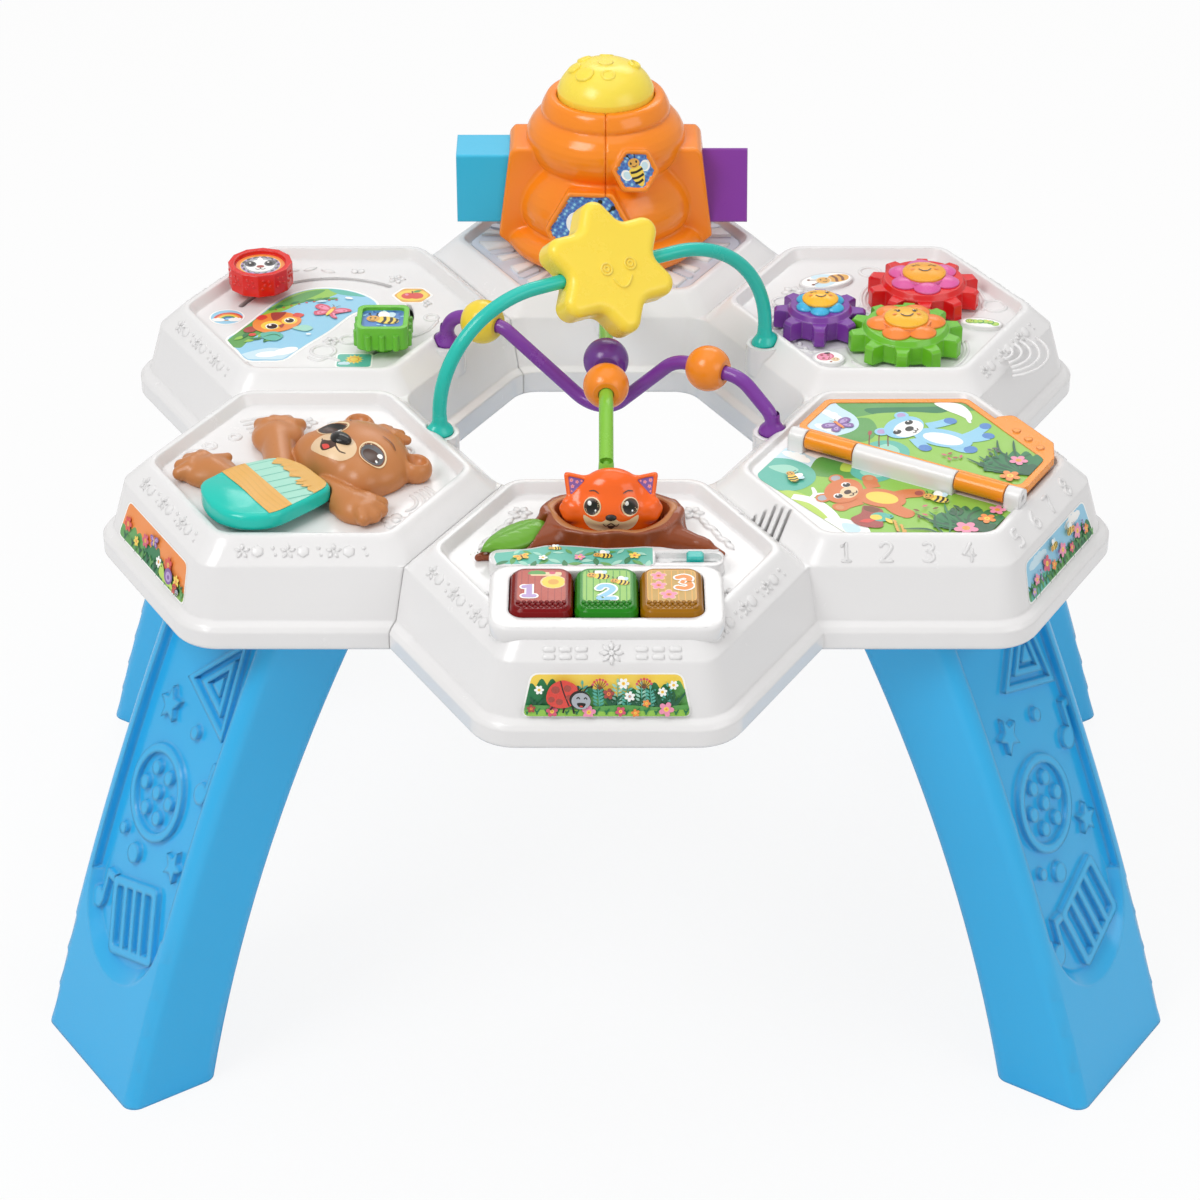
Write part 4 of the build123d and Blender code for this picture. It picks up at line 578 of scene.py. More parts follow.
# ---------------------------------------- prints: flat inks laid over each other
class Print:
    """A printed label: shapes laid one over the other in a flat place, each a hair above the last."""

    step = 0.012

    def __init__(self, name, place, body, lift=0.06):
        self.name, self.place, self.body, self.lift = name, place, body, lift
        self.points, self.faces, self.picks, self.inks = [], [], [], []
        self.clip = None

    def lay(self, outline, colour, rise=True):
        """Adds a shape; with rise off, the next shape lies level with it."""
        outline = anticlockwise(outline)
        if self.clip:
            outline = clip_to(outline, self.clip)
            if len(outline) < 3:
                return self
        start = len(self.points)
        self.points += [self.place(x, y, self.lift) for x, y in outline]
        if colour not in self.inks:
            self.inks.append(colour)
        for triangle in fill(outline):
            self.faces.append([start + i for i in triangle])
            self.picks.append(self.inks.index(colour))
        if rise:
            self.lift += self.step
        return self

    def lay_all(self, picture):
        for outline, colour in picture:
            self.lay(outline, colour)

    def done(self):
        out = self.place.out
        for face in self.faces:
            a, b, c = (self.points[i] for i in face)
            if (b - a).cross(c - a).dot(out) < 0:
                face.reverse()
        return piece(self.name, self.points, self.faces, ["ink:" + i for i in self.inks], self.body,
                     self.picks,
                     smooth=False)


def clip_to(outline, window):
    """Part of an outline inside a convex window (Sutherland and Hodgman)."""
    result = outline
    window = anticlockwise(window)
    for a, b in zip(window, window[1:] + window[:1]):
        if abs(a[0] - b[0]) + abs(a[1] - b[1]) < 1e-9:
            continue
        ahead = (b[0] - a[0], b[1] - a[1])
        kept = []
        n = len(result)
        for i in range(n):
            p, q = result[i], result[(i + 1) % n]
            dp = ahead[0] * (p[1] - a[1]) - ahead[1] * (p[0] - a[0])
            dq = ahead[0] * (q[1] - a[1]) - ahead[1] * (q[0] - a[0])
            if dp >= 0:
                kept.append(p)
            if (dp >= 0) != (dq >= 0):
                t = dp / (dp - dq)
                kept.append((p[0] + t * (q[0] - p[0]), p[1] + t * (q[1] - p[1])))
        result = kept
        if len(result) < 3:
            return []
    return result


# ---------------------------------------- reliefs: raised shapes with a rounded edge
def relief(name, place, shapes, body, finish_name, edge=0.8, sink=0.8):
    """Raised ornaments in one piece. Each shape is (outline, height)."""
    points, faces = [], []
    for outline, height in shapes:
        outline = anticlockwise(outline)
        n = len(outline)
        levels = [(0.0, -sink), (0.0, height - edge), (edge * 0.3, height - edge * 0.3), (edge, height)]
        start = len(points)
        for amount, level in levels:
            ring = inset(outline, amount) if amount else outline
            points += [place(x, y, level) for x, y in ring]
        for k in range(len(levels) - 1):
            for i in range(n):
                j = (i + 1) % n
                faces.append((start + k * n + i, start + k * n + j, start + (k + 1) * n + j,
                              start + (k + 1) * n + i))
        top = start + (len(levels) - 1) * n
        for triangle in fill([(x, y) for x, y in inset(outline, edge)]):
            a, b, c = (points[top + i] for i in triangle)
            order = triangle if (b - a).cross(c - a).dot(place.out) > 0 else triangle[::-1]
            faces.append(tuple(top + i for i in order))
    thing = piece(name, points, faces, [finish_name], body)
    return crease(thing, 50.0)


# ---------------------------------------- carving: shapes from distance fields
def egg(middle, radii, bearing=0.0):
    """Distance to an ellipsoid, turned about the upright."""
    c, s = math.cos(math.radians(bearing)), math.sin(math.radians(bearing))

    def field(x, y, z):
        px, py, pz = x - middle[0], y - middle[1], z - middle[2]
        px, py = px * c + py * s, -px * s + py * c
        k = np.sqrt((px / radii[0]) ** 2 + (py / radii[1]) ** 2 + (pz / radii[2]) ** 2) + 1e-9
        g = np.sqrt((px / radii[0] ** 2) ** 2 + (py / radii[1] ** 2) ** 2 + (pz / radii[2] ** 2) ** 2) + 1e-9
        return k * (k - 1) / g
    return field


def rod(a, b, first, last=None):
    """Distance to a rod with round ends; its radius may change along it."""
    last = first if last is None else last
    ax, ay, az = a
    dx, dy, dz = (q - p for p, q in zip(a, b))
    length = dx * dx + dy * dy + dz * dz

    def field(x, y, z):
        t = np.clip(((x - ax) * dx + (y - ay) * dy + (z - az) * dz) / length, 0, 1)
        d = np.sqrt((x - ax - t * dx) ** 2 + (y - ay - t * dy) ** 2 + (z - az - t * dz) ** 2)
        return d - (first + (last - first) * t)
    return field


def slab_of(outline, low, high, soft=1.0):
    """Distance to an outline drawn up between two heights, its edges rounded by soft."""
    ring = np.array(outline, float)
    nxt = np.roll(ring, -1, axis=0)

    def field(x, y, z):
        best = np.full(np.shape(x), 1e9)
        inside = np.zeros(np.shape(x), bool)
        for (ax, ay), (bx, by) in zip(ring, nxt):
            ex, ey = bx - ax, by - ay
            size = ex * ex + ey * ey
            if size < 1e-12:
                continue
            t = np.clip(((x - ax) * ex + (y - ay) * ey) / size, 0, 1)
            best = np.minimum(best, (x - ax - t * ex) ** 2 + (y - ay - t * ey) ** 2)
            crossing = ((ay > y) != (by > y)) & (x < ex * (y - ay) / (ey if ey else 1e-12) + ax)
            inside ^= crossing
        flat = np.where(inside, -1, 1) * np.sqrt(best) + soft
        tall = np.maximum(low - z, z - high) + soft
        return np.minimum(np.maximum(flat, tall), 0) + np.sqrt(np.maximum(flat, 0) ** 2
                                                               + np.maximum(tall, 0) ** 2) - soft
    return field


def melt(soft, *fields):
    """Union whose seams are filled smoothly."""
    def field(x, y, z):
        total = fields[0](x, y, z)
        for other in fields[1:]:
            d = other(x, y, z)
            h = np.clip(0.5 + 0.5 * (d - total) / soft, 0, 1)
            total = d * (1 - h) + total * h - soft * h * (1 - h)
        return total
    return field


def dug(body, soft, *tools):
    """The body with each tool's shape dug out."""
    def field(x, y, z):
        total = body(x, y, z)
        for tool in tools:
            d = -tool(x, y, z)
            h = np.clip(0.5 - 0.5 * (total - d) / soft, 0, 1)
            total = total * (1 - h) + d * h + soft * h * (1 - h)
        return total
    return field


def turned_to(place, shape):
    """A field given in a place's own u, v and h."""
    o, a, b, n = place.origin, place.across, place.up, place.out

    def field(x, y, z):
        dx, dy, dz = x - o[0], y - o[1], z - o[2]
        return shape(dx * a[0] + dy * a[1] + dz * a[2], dx * b[0] + dy * b[1] + dz * b[2],
                     dx * n[0] + dy * n[1] + dz * n[2])
    return field


def above(body, height):
    return lambda x, y, z: np.maximum(body(x, y, z), height - z)


CORNERS = [(i, j, k) for i in (0, 1) for j in (0, 1) for k in (0, 1)]
EDGES = [(a, b) for a in CORNERS for b in CORNERS if a < b and sum(abs(p - q) for p, q in zip(a, b)) == 1]


def carve(name, field, low, high, step, finish_name, body, stands_for=()):
    """Skin of a distance field, as quads through its zero surface (surface nets)."""
    axes = [np.arange(a - 2 * step, b + 3 * step, step) for a, b in zip(low, high)]
    values = field(*np.meshgrid(*axes, indexing="ij"))
    size = [n - 1 for n in values.shape]

    def corner(c):
        return values[c[0]:c[0] + size[0], c[1]:c[1] + size[1], c[2]:c[2] + size[2]]
    total = sum((corner(c) < 0).astype(int) for c in CORNERS)
    skin = (total > 0) & (total < 8)
    place = np.zeros((3,) + tuple(size))
    hits = np.zeros(size)
    for a, b in EDGES:
        va, vb = corner(a), corner(b)
        crossed = (va < 0) != (vb < 0)
        t = np.where(crossed, va / np.where(crossed, va - vb, 1), 0)
        for axis in range(3):
            place[axis] += np.where(crossed, a[axis] + t * (b[axis] - a[axis]), 0)
        hits += crossed
    index = np.full(size, -1)
    index[skin] = np.arange(skin.sum())
    where = np.argwhere(skin)
    points = np.array([(where[:, i] + (place[i] / np.maximum(hits, 1))[skin]) * step + axes[i][0]
                       for i in range(3)]).T
    probe = 0.02
    for _ in range(3):       # settle every point on the true surface
        here = field(*points.T)
        slope = np.array([(field(*(points + np.eye(3)[i] * probe).T) - here) / probe for i in range(3)]).T
        size_of = np.maximum((slope ** 2).sum(1), 0.05)
        points -= np.clip(here / size_of, -0.4 * step, 0.4 * step)[:, None] * slope
    faces = []
    for axis in range(3):
        u, v = (axis + 1) % 3, (axis + 2) % 3
        near = [slice(None)] * 3
        far = [slice(None)] * 3
        near[axis], far[axis] = slice(0, -1), slice(1, None)
        one, other = values[tuple(near)] < 0, values[tuple(far)] < 0
        for cell in np.argwhere(one != other):
            if cell[u] < 1 or cell[v] < 1 or cell[u] >= size[u] or cell[v] >= size[v]:
                continue
            ring = []
            for du, dv in ((0, 0), (-1, 0), (-1, -1), (0, -1)):
                c = list(cell)
                c[u] += du
                c[v] += dv
                ring.append(int(index[tuple(c)]))
            faces.append(ring if one[tuple(cell)] else ring[::-1])
    return piece(name, points, faces, [finish_name], body, stands_for=stands_for)


def surface_of(*things):
    """Search tree over the surfaces of pieces, in millimetres."""
    points, faces = [], []
    for thing in things:
        start = len(points)
        points += [v.co / MM for v in thing.data.vertices]
        faces += [[start + i for i in p.vertices] for p in thing.data.polygons]
    return BVHTree.FromPolygons(points, faces)


PAINT_LIFT, PAINT_STEP = 0.12, 0.03


def painted(name, place, surface, shapes, body, fineness=1.2):
    """Paint that follows a curved surface. Each shape is (outline, ink), dropped on the surface along the
    frame's own h direction."""
    lift = PAINT_LIFT
    points, faces, picks, inks = [], [], [], []
    for outline, colour in shapes:
        outline = anticlockwise(outline)
        flat = bmesh.new()
        corners_3d = [flat.verts.new((x, y, 0)) for x, y in outline]
        for triangle in fill(outline):
            try:
                flat.faces.new([corners_3d[i] for i in triangle])
            except ValueError:
                continue
        for _ in range(6):
            long_edges = [e for e in flat.edges if e.calc_length() > fineness]
            if not long_edges:
                break
            bmesh.ops.subdivide_edges(flat, edges=long_edges, cuts=1, use_grid_fill=False)
            bmesh.ops.triangulate(flat, faces=flat.faces[:])
        bmesh.ops.beautify_fill(flat, faces=flat.faces[:], edges=flat.edges[:])
        start = len(points)
        flat.verts.index_update()
        if colour not in inks:
            inks.append(colour)
        laid = []
        for v in flat.verts:
            high = place(v.co.x, v.co.y, 60.0)
            spot, normal, _, _ = surface.ray_cast(high, -place.out, 200.0)
            laid.append(spot + normal * lift if spot is not None else place(v.co.x, v.co.y, lift))
        points += laid
        for f in flat.faces:
            ring = [start + v.index for v in f.verts]
            a, b, c = (points[i] for i in ring[:3])
            if (b - a).cross(c - a).dot(place.out) < 0:
                ring.reverse()
            faces.append(ring)
            picks.append(inks.index(colour))
        flat.free()
        lift += PAINT_STEP
    return piece(name, points, faces, ["ink:" + i for i in inks], body, picks)


def hoops(name, place, lines, body, finish_name, sink=0.6):
    """Raised round-topped bands in one piece. Each line is (points, width, height, closed)."""
    points, faces = [], []
    profile = ((-0.5, None), (-0.5, 0.3), (-0.38, 0.76), (-0.16, 1.0), (0.16, 1.0), (0.38, 0.76), (0.5, 0.3),
               (0.5, None))
    for line, width, height, closed in lines:
        line = [Vector(p) for p in line]
        stations = [(p, 1.0) for p in line]
        if not closed:
            first, last = (line[0] - line[1]).normalized(), (line[-1] - line[-2]).normalized()
            stations = [(line[0] + first * width * 0.4, 0.25)] + stations + [(line[-1] + last * width * 0.4,
                                                                              0.25)]
        start, n = len(points), len(stations)
        for i, (here, size) in enumerate(stations):
            behind, ahead = (i - 1) % n if closed else max(i - 1, 0), (i + 1) % n if closed else min(i + 1,
                                                                                                     n - 1)
            run = (stations[ahead][0] - stations[behind][0]).normalized()
            for share, level in profile:
                h = -sink if level is None else height * level * (size if size == 1.0 else 0.4)
                points.append(place(here.x - run.y * share * width * size,
                                    here.y + run.x * share * width * size, h))
        count = len(profile)
        for i in range(n if closed else n - 1):
            j = (i + 1) % n
            for k in range(count - 1):
                faces.append((start + i * count + k, start + j * count + k, start + j * count + k + 1,
                              start + i * count + k + 1))
        if not closed:
            faces.append(tuple(start + k for k in range(count)))
            faces.append(tuple(start + (n - 1) * count + k for k in reversed(range(count))))
    return piece(name, points, faces, [finish_name], body)


def ring_line(x, y, radius, count=32):
    return oval(x, y, 2 * radius, 2 * radius, 0, count)


def arc_line(x, y, radius, first, last, count=14):
    return moved([polar(radius, first + (last - first) * i / count) for i in range(count + 1)], x, y)


def hexagon(radius, turn=0.0):
    return [polar(radius, 60 * k + turn) for k in range(6)]


# ---------------------------------------- small pictures for the prints
def put(picture, x, y, size=1.0, turn=0.0, mirror=False):
    """A picture drawn round its own middle, set down at a place."""
    return [(moved([(-p if mirror else p, q) for p, q in outline], x, y, turn, size), colour)
            for outline, colour in picture]


def band(points, width, taper=1.0):
    return ribbon(open_spline(points), width, taper)


def bee_picture():
    """Round striped bee, head to the left, about 14 across."""
    art = [(oval(1.6, 4.2, 4.6, 6.6, -28), "pale_sky"), (oval(-0.8, 4.6, 4.8, 6.6, 18), "white"),
           (oval(1.2, 0, 10.6, 6.4, -6), "yellow")]
    for x, w, h in ((0.0, 1.3, 6.2), (2.8, 1.3, 5.8), (5.2, 1.0, 4.0)):
        art.append((band([(x - 0.3, -h / 2 - 0.1), (x + 0.5, -0.1), (x - 0.1, h / 2 - 0.2)], w), "black"))
    art += [(oval(-4.6, 0.6, 5.6, 5.4), "ochre"), (oval(-5.8, 1.0, 0.9, 1.3), "black"),
            (oval(-3.8, 1.2, 0.9, 1.3), "black"), (band([(-6.0, -0.6), (-4.8, -1.3), (-3.6, -0.5)], 0.4),
                                                   "dark_brown"),
            (band([(-5.8, 2.8), (-6.8, 4.6)], 0.4), "black"), (band([(-3.8, 3.0), (-3.6, 4.9)], 0.4),
                                                               "black"),
            (oval(-6.9, 4.9, 1.0, 1.0), "black"), (oval(-3.6, 5.2, 1.0, 1.0), "black")]
    return art


def tall_bee_picture():
    """Bee seen from above with its head up, about 20 tall."""
    art = [(oval(-6.2, -0.6, 6.0, 7.4, 30), "white"), (oval(6.4, 2.4, 6.2, 7.2, -20), "white"),
           (oval(-5.8, -0.8, 4.2, 5.4, 30), "pale_sky"), (oval(6.0, 2.2, 4.2, 5.2, -20), "pale_sky"),
           (spline([(-3.6, 2.4), (3.2, 3.2), (4.6, -1.6), (3.9, -6.6), (1.8, -9.8), (-0.8, -7.6),
                    (-3.4, -2.8)]), "yellow")]
    for y, w in ((0.6, 7.6), (-3.0, 7.4), (-6.2, 5.0)):
        art.append((band([(-w / 2 + 0.4, y - 0.4), (0.4, y - 0.6), (w / 2 + 0.6, y + 0.6)], 1.5), "black"))
    art += [(oval(-0.2, 5.6, 7.4, 6.2), "ochre"), (oval(-2.0, 5.8, 1.2, 1.7), "black"),
            (oval(1.6, 6.2, 1.2, 1.7), "black"), (band([(-1.4, 4.0), (0.0, 3.4), (1.4, 4.2)], 0.5),
                                                  "dark_brown"),
            (band([(-1.6, 8.4), (-2.8, 10.6)], 0.6), "black"),
            (band([(1.0, 8.6), (1.4, 11.0)], 0.6), "black"), (oval(-3.0, 10.9, 1.5, 1.5), "black"),
            (oval(1.5, 11.4, 1.5, 1.5), "black")]
    return art


def ladybird_picture():
    """Spotted red beetle with a smiling grey face at its right, about 24 across."""
    art = [(band([(-6, -5), (-8.2, -8.6)], 1.0), "black"), (band([(-1, -6), (-1.6, -9.6)], 1.0), "black"),
           (band([(3, -5.6), (4.2, -9.4)], 1.0), "black"),
           (spline([(-11, -1.5), (-9, 4.6), (-3, 8.0), (4, 5.4), (5.4, 0), (2, -5.4), (-4, -7.2),
                    (-9.4, -5.6)]), "red"),
           (band([(-4.6, 7.6), (-2.6, 2), (1.2, -5.6)], 0.7), "black")]
    art += [(oval(x, y, w, w * 0.9), "brick") for x, y, w in ((-6.6, 2.4, 4.4), (-8.2, -3.0, 3.4),
                                                              (-0.6, 3.8, 4.0), (-4.0, -3.8, 3.6),
                                                              (0.6, -1.0, 3.2))]
    art += [(oval(6.4, -1.6, 11.0, 10.0), "black"), (oval(7.0, -2.2, 9.8, 8.8), "grey"),
            (band([(4.6, -1.2), (5.4, -0.3), (6.2, -1.2)], 0.6), "black"),
            (band([(8.4, -1.0), (9.2, -0.1), (10.0, -1.0)], 0.6), "black"),
            (spline([(5.2, -3.4), (9.4, -3.2), (8.6, -5.4), (6.2, -5.4)], 4), "black"),
            (oval(7.4, -5.0, 1.8, 0.8), "red"), (band([(8.0, 3.0), (9.4, 5.4), (11.4, 6.0)], 0.7), "black"),
            (oval(11.6, 6.1, 1.5, 1.5), "black"), (band([(5.0, 3.4), (4.6, 6.0)], 0.7), "black")]
    return art


def butterfly_picture(wings="rose", veins="pink", trunk="yellow"):
    """Butterfly with spread wings, about 24 across."""
    art = []
    for side in (-1, 1):
        art += [(spline([(0, 1.0), (side * 4, 6.4), (side * 10.4, 6.8), (side * 11.6, 2.4),
                         (side * 6, -0.4)]), wings),
                (spline([(0, -0.4), (side * 6, -0.6), (side * 9.2, -3.6), (side * 6.6, -7.4),
                         (side * 2.0, -5.0)]), wings),
                (spline([(side * 2, 2.2), (side * 5, 5.0), (side * 8.6, 5.2), (side * 9.2, 2.8),
                         (side * 5, 1.0)]), veins),
                (spline([(side * 2, -1.4), (side * 5.6, -1.8), (side * 7.0, -3.8), (side * 5.4, -5.6)]),
                 veins),
                (oval(side * 7.4, 3.6, 1.8, 1.8), wings), (oval(side * 5.2, -3.4, 1.5, 1.5), wings),
                (band([(0.2 * side, 5.0), (side * 1.6, 8.0), (side * 2.8, 8.4)], 0.4), "dark_brown")]
    art += [(oval(0, -0.4, 2.6, 11.0), trunk), (oval(0, 4.6, 3.0, 3.0), "orange"),
            (oval(-0.6, 4.8, 0.5, 0.6), "black"), (oval(0.6, 4.8, 0.5, 0.6), "black")]
    return art


def flower_picture(petal="pink", heart="yellow", petals=5, turn=0.0):
    """Flower 10 across."""
    return [(blossom(0, 0, 5.0, petals, turn, 0.5), petal), (oval(0, 0, 3.2, 3.2), heart),
            (oval(0, 0, 1.4, 1.4), "orange" if heart != "orange" else "brick")]


def grass(x, y, height, colour, blades, spread, width):
    art = []
    for i in range(blades):
        a = math.radians(90 + spread * (i / max(blades - 1, 1) - 0.5))
        tall = height * (0.75 + 0.25 * math.cos(i * 2.3))
        end = (x + tall * math.cos(a), y + tall * math.sin(a))
        mid = (x + tall * 0.55 * math.cos(a) * 0.75, y + tall * 0.6 * math.sin(a))
        art.append((band([(x + (i - blades / 2) * width * 0.5, y), mid, end], width, 0.15), colour))
    return art


def sprig(x, y, height, stem, leaf, turn, pairs):
    """Stem with paired leaves."""
    art = [(band([(0, 0), (0.4, height * 0.5), (0, height)], 0.5), stem)]
    for k in range(pairs):
        h = height * (0.3 + 0.7 * k / pairs)
        for side in (-1, 1):
            art.append((pointed(side * 1.6, h + 0.9, 3.2, 1.3, 90 - side * 55), leaf))
    art.append((pointed(0, height + 1.2, 3.0, 1.3, 90), leaf))
    return put(art, x, y, 1.0, turn)


def bush(x, y, width, height, lumps):
    ring = [(-width / 2, 0)]
    count = lumps * 6
    for i in range(count + 1):
        t = i / count
        swell = 0.5 + 0.5 * math.sin(math.pi * t)
        lump = 0.8 + 0.2 * abs(math.sin(math.pi * lumps * t))
        ring.append((-width / 2 + width * t, height * swell * lump))
    ring.append((width / 2, 0))
    return moved(ring, x, y)


def cloud(x, y, width, height, lumps, turn=0.0):
    upper = bush(0, 0, width, height, lumps)
    return moved(upper + [(width * 0.3, -height * 0.25), (-width * 0.3, -height * 0.25)], x, y, turn)


def digit(which):
    """Outlines of a rounded number about 12 tall, drawn as thick bands round its own middle."""
    return {
        1: [[(-2.2, 3.4), (0.4, 5.4), (0.4, -5.4)], [(-2.0, -5.2), (0.4, -5.3), (2.8, -5.2)]],
        2: [[(-3.2, 3.2), (-1.6, 5.4), (1.6, 5.2), (3.0, 2.8), (1.2, -0.4), (-3.2, -5.0), (-1.0, -5.3),
             (3.4, -5.2)]],
        3: [[(-2.8, 4.4), (0.2, 5.6), (2.8, 3.8), (1.8, 1.2), (-0.6, 0.4), (2.2, -0.6), (3.2, -3.2),
             (0.8, -5.4), (-2.8, -4.6)]],
        4: [[(0.8, 5.4), (-3.2, -1.6), (0.6, -1.7), (3.4, -1.6)], [(1.4, 2.0), (1.5, -1.6), (1.4, -5.4)]],
        5: [[(2.8, 5.2), (-2.2, 5.2), (-2.6, 1.0), (0.6, 1.2), (3.0, -1.4), (1.6, -4.8), (-2.8, -4.8)]],
        6: [[(1.8, 5.4), (-1.8, 2.2), (-2.8, -1.8), (-0.4, -5.2), (2.6, -3.6), (2.2, -0.6), (-0.6, 0.2),
             (-2.6, -1.6)]],
        7: [[(-3.0, 5.2), (0.2, 5.2), (3.0, 5.0), (0.6, 0.2), (-0.8, -5.4)]],
        8: [[(0, 0.4), (-2.6, 2.8), (0, 5.4), (2.6, 2.8), (0, 0.4), (-2.9, -2.6), (0, -5.4), (2.9, -2.6),
             (0, 0.4)]],
    }[which]


# ---------------------------------------- fox in its stump
def make_fox():
    cx, cy = 2.4, -160.0
    head = melt(4.0, egg((cx, cy + 0.6, 352.5), (17.5, 11.2, 15.3)), egg((cx, cy, 344.5), (25.4, 13.2, 11.5)),
                egg((cx, cy - 3.0, 350.0), (19.5, 11.2, 8.5)),
                egg((cx, cy - 8.0, 346.5), (14.0, 6.8, 6.0)),
                egg((cx - 20.4, cy - 4.6, 346.6), (6.2, 5.4, 6.2)),
                egg((cx + 20.4, cy - 4.6, 346.6), (6.2, 5.4, 6.2)))
    tufts = [egg((cx + side * (21.8 + dx), cy - 5.6 + dy, 347 + dz), (2.6, 2.3, 2.6))
             for side in (-1, 1) for dx, dy, dz in ((1.2, 0.4, 4.4), (2.6, 1.0, 0.8), (0.4, -1.4, -2.8),
                                                    (-2.4, -2.0, 2.4))]
    ears, hollows, ear_frames = [], [], {}
    for side in (-1, 1):
        ear_frames[side] = place_frame((cx + side * 17.6, cy + 0.6, 359.6), (1, 0, 0), (0, 0.5, 0.866))
        ear = [(7.4 * side, 6.4), (-6.6 * side, 3.4), (-8.4 * side, -9.5), (5.4 * side, -9.0)]
        ears.append(turned_to(ear_frames[side], slab_of(rounded(anticlockwise(ear), 3.0, 5), -2.8, 2.2, 1.7)))
        lined = [(5.0 * side, 4.0), (-4.2 * side, 1.8), (3.6 * side, -6.6)]
        hollows.append(turned_to(ear_frames[side], slab_of(rounded(anticlockwise(lined), 1.6, 4), 1.1, 12,
                                                           0.5)))
    sockets = [egg((cx + side * 9.7, cy - 13.4, 352.8), (4.6, 2.4, 4.4)) for side in (-1, 1)]
    neck = slab_of(oval(cx, cy, 49.6, 25.6), 323.6, 347, 0.4)
    flange = slab_of(oval(cx, cy, 52.4, 28.4), *FLANGE, 0.3)
    hub = slab_of(oval(cx, cy, 9.8, 9.8), 316.4, 330, 0.2)
    field = melt(0.8, dug(melt(1.6, melt(2.6, head, *ears), *tufts), 0.8, *hollows, *sockets), neck, flange,
                 hub)
    fox = carve("fox_head_carved", field, (-27, -177, 316), (32, -144, 368), 0.8, "fox_orange", "fox_head",
                ["fox_head"])
    skin = surface_of(fox)
    face = place_frame((cx, cy - 14, 350), (1, 0, 0), (0, 0.34, 0.94))
    shapes = []
    # cream muzzle, its top edge dipping to both cheeks
    shapes.append((spline([(-14.2, -1.4), (-9.0, -4.0), (-4.6, -4.6), (0, -1.6), (4.6, -4.6), (9.0, -4.0),
                           (14.2, -1.4), (13.4, -6.0), (9.5, -9.6), (0, -11.0), (-9.5, -9.6), (-13.4, -6.0)]),
                   "sand"))
    for side in (-1, 1):
        x = side * 9.7
        shapes.append((oval(x, 3.2, 9.2, 10.0), "sand"))
        shapes.append((oval(x + side * 0.2, 3.1, 8.2, 9.0), "dark_brown"))
        shapes.append((oval(x - 0.1, 2.7, 6.0, 7.2), "black"))
        shapes.append((oval(x - 1.5, 5.0, 2.0, 2.4), "white"))
        shapes.append((oval(x + 1.6, 1.0, 1.0, 1.2), "white"))
        shapes.append((ribbon(open_spline([(side * 6.2, 10.0), (side * 8.6, 11.4), (side * 11.4, 11.0)]), 0.7,
                              0.3),
                       "dark_brown"))
    shapes.append((ribbon(open_spline([(-4.2, -5.6), (-2.6, -7.0), (0, -5.4), (2.6, -7.0), (4.2, -5.6)]), 0.6,
                          0.4),
                   "dark_brown"))
    shapes.append((spline([(-1.7, -6.8), (1.7, -6.8), (1.2, -8.2), (0, -8.8), (-1.2, -8.2)], 4),
                   "dark_brown"))
    painted("fox_face_paint", face, skin, shapes, "fox_head")
    # the nose stands proud and shiny
    nose_spot, nose_out, _, _ = skin.ray_cast(face(0, -2.4, 40), -face.out)
    carve("fox_nose", egg(tuple(nose_spot - nose_out * 0.1), (3.0, 1.6, 1.9)),
          tuple(nose_spot - Vector((4, 3, 3))),
          tuple(nose_spot + Vector((4, 3, 3))), 0.5, "fox_nose_black", "fox_head")
    for side, word in ((-1, "left"), (1, "right")):
        ear = ear_frames[side]
        art = [(rounded(anticlockwise([(4.9 * side, 3.9), (-4.1 * side, 1.8), (3.6 * side, -6.4)]), 1.5, 4),
                "purple")]
        for x, y, r in ((3.2, 1.6, 1.1), (0.2, 0.7, 1.0), (2.6, -1.6, 1.1), (-2.2, 1.3, 0.7),
                        (3.2, -4.2, 0.7)):
            x *= side
            art.append((blossom(x, y, r, 5, 20 * x, 0.4, 20), "pink"))
            art.append((oval(x, y, r * 0.8, r * 0.8, 0, 8), "orange"))
        painted(f"fox_{word}_ear_lining", ear, skin, art, "fox_head", fineness=0.9)


def stump_top(x, y):
    """Height of the stump's cut top: it dips towards the front in soft waves."""
    front = np.clip((-160.0 - y - 3.0) / 13.0, 0, 1)
    back = np.clip((y + 160.0 - 6.0) / 12.0, 0, 1)
    wave = 0.7 * np.sin(0.16 * x + 0.9) + 0.35 * np.sin(0.33 * x)
    return 345.2 - front * front * (3 - 2 * front) * 3.4 + wave * front - 0.3 * back


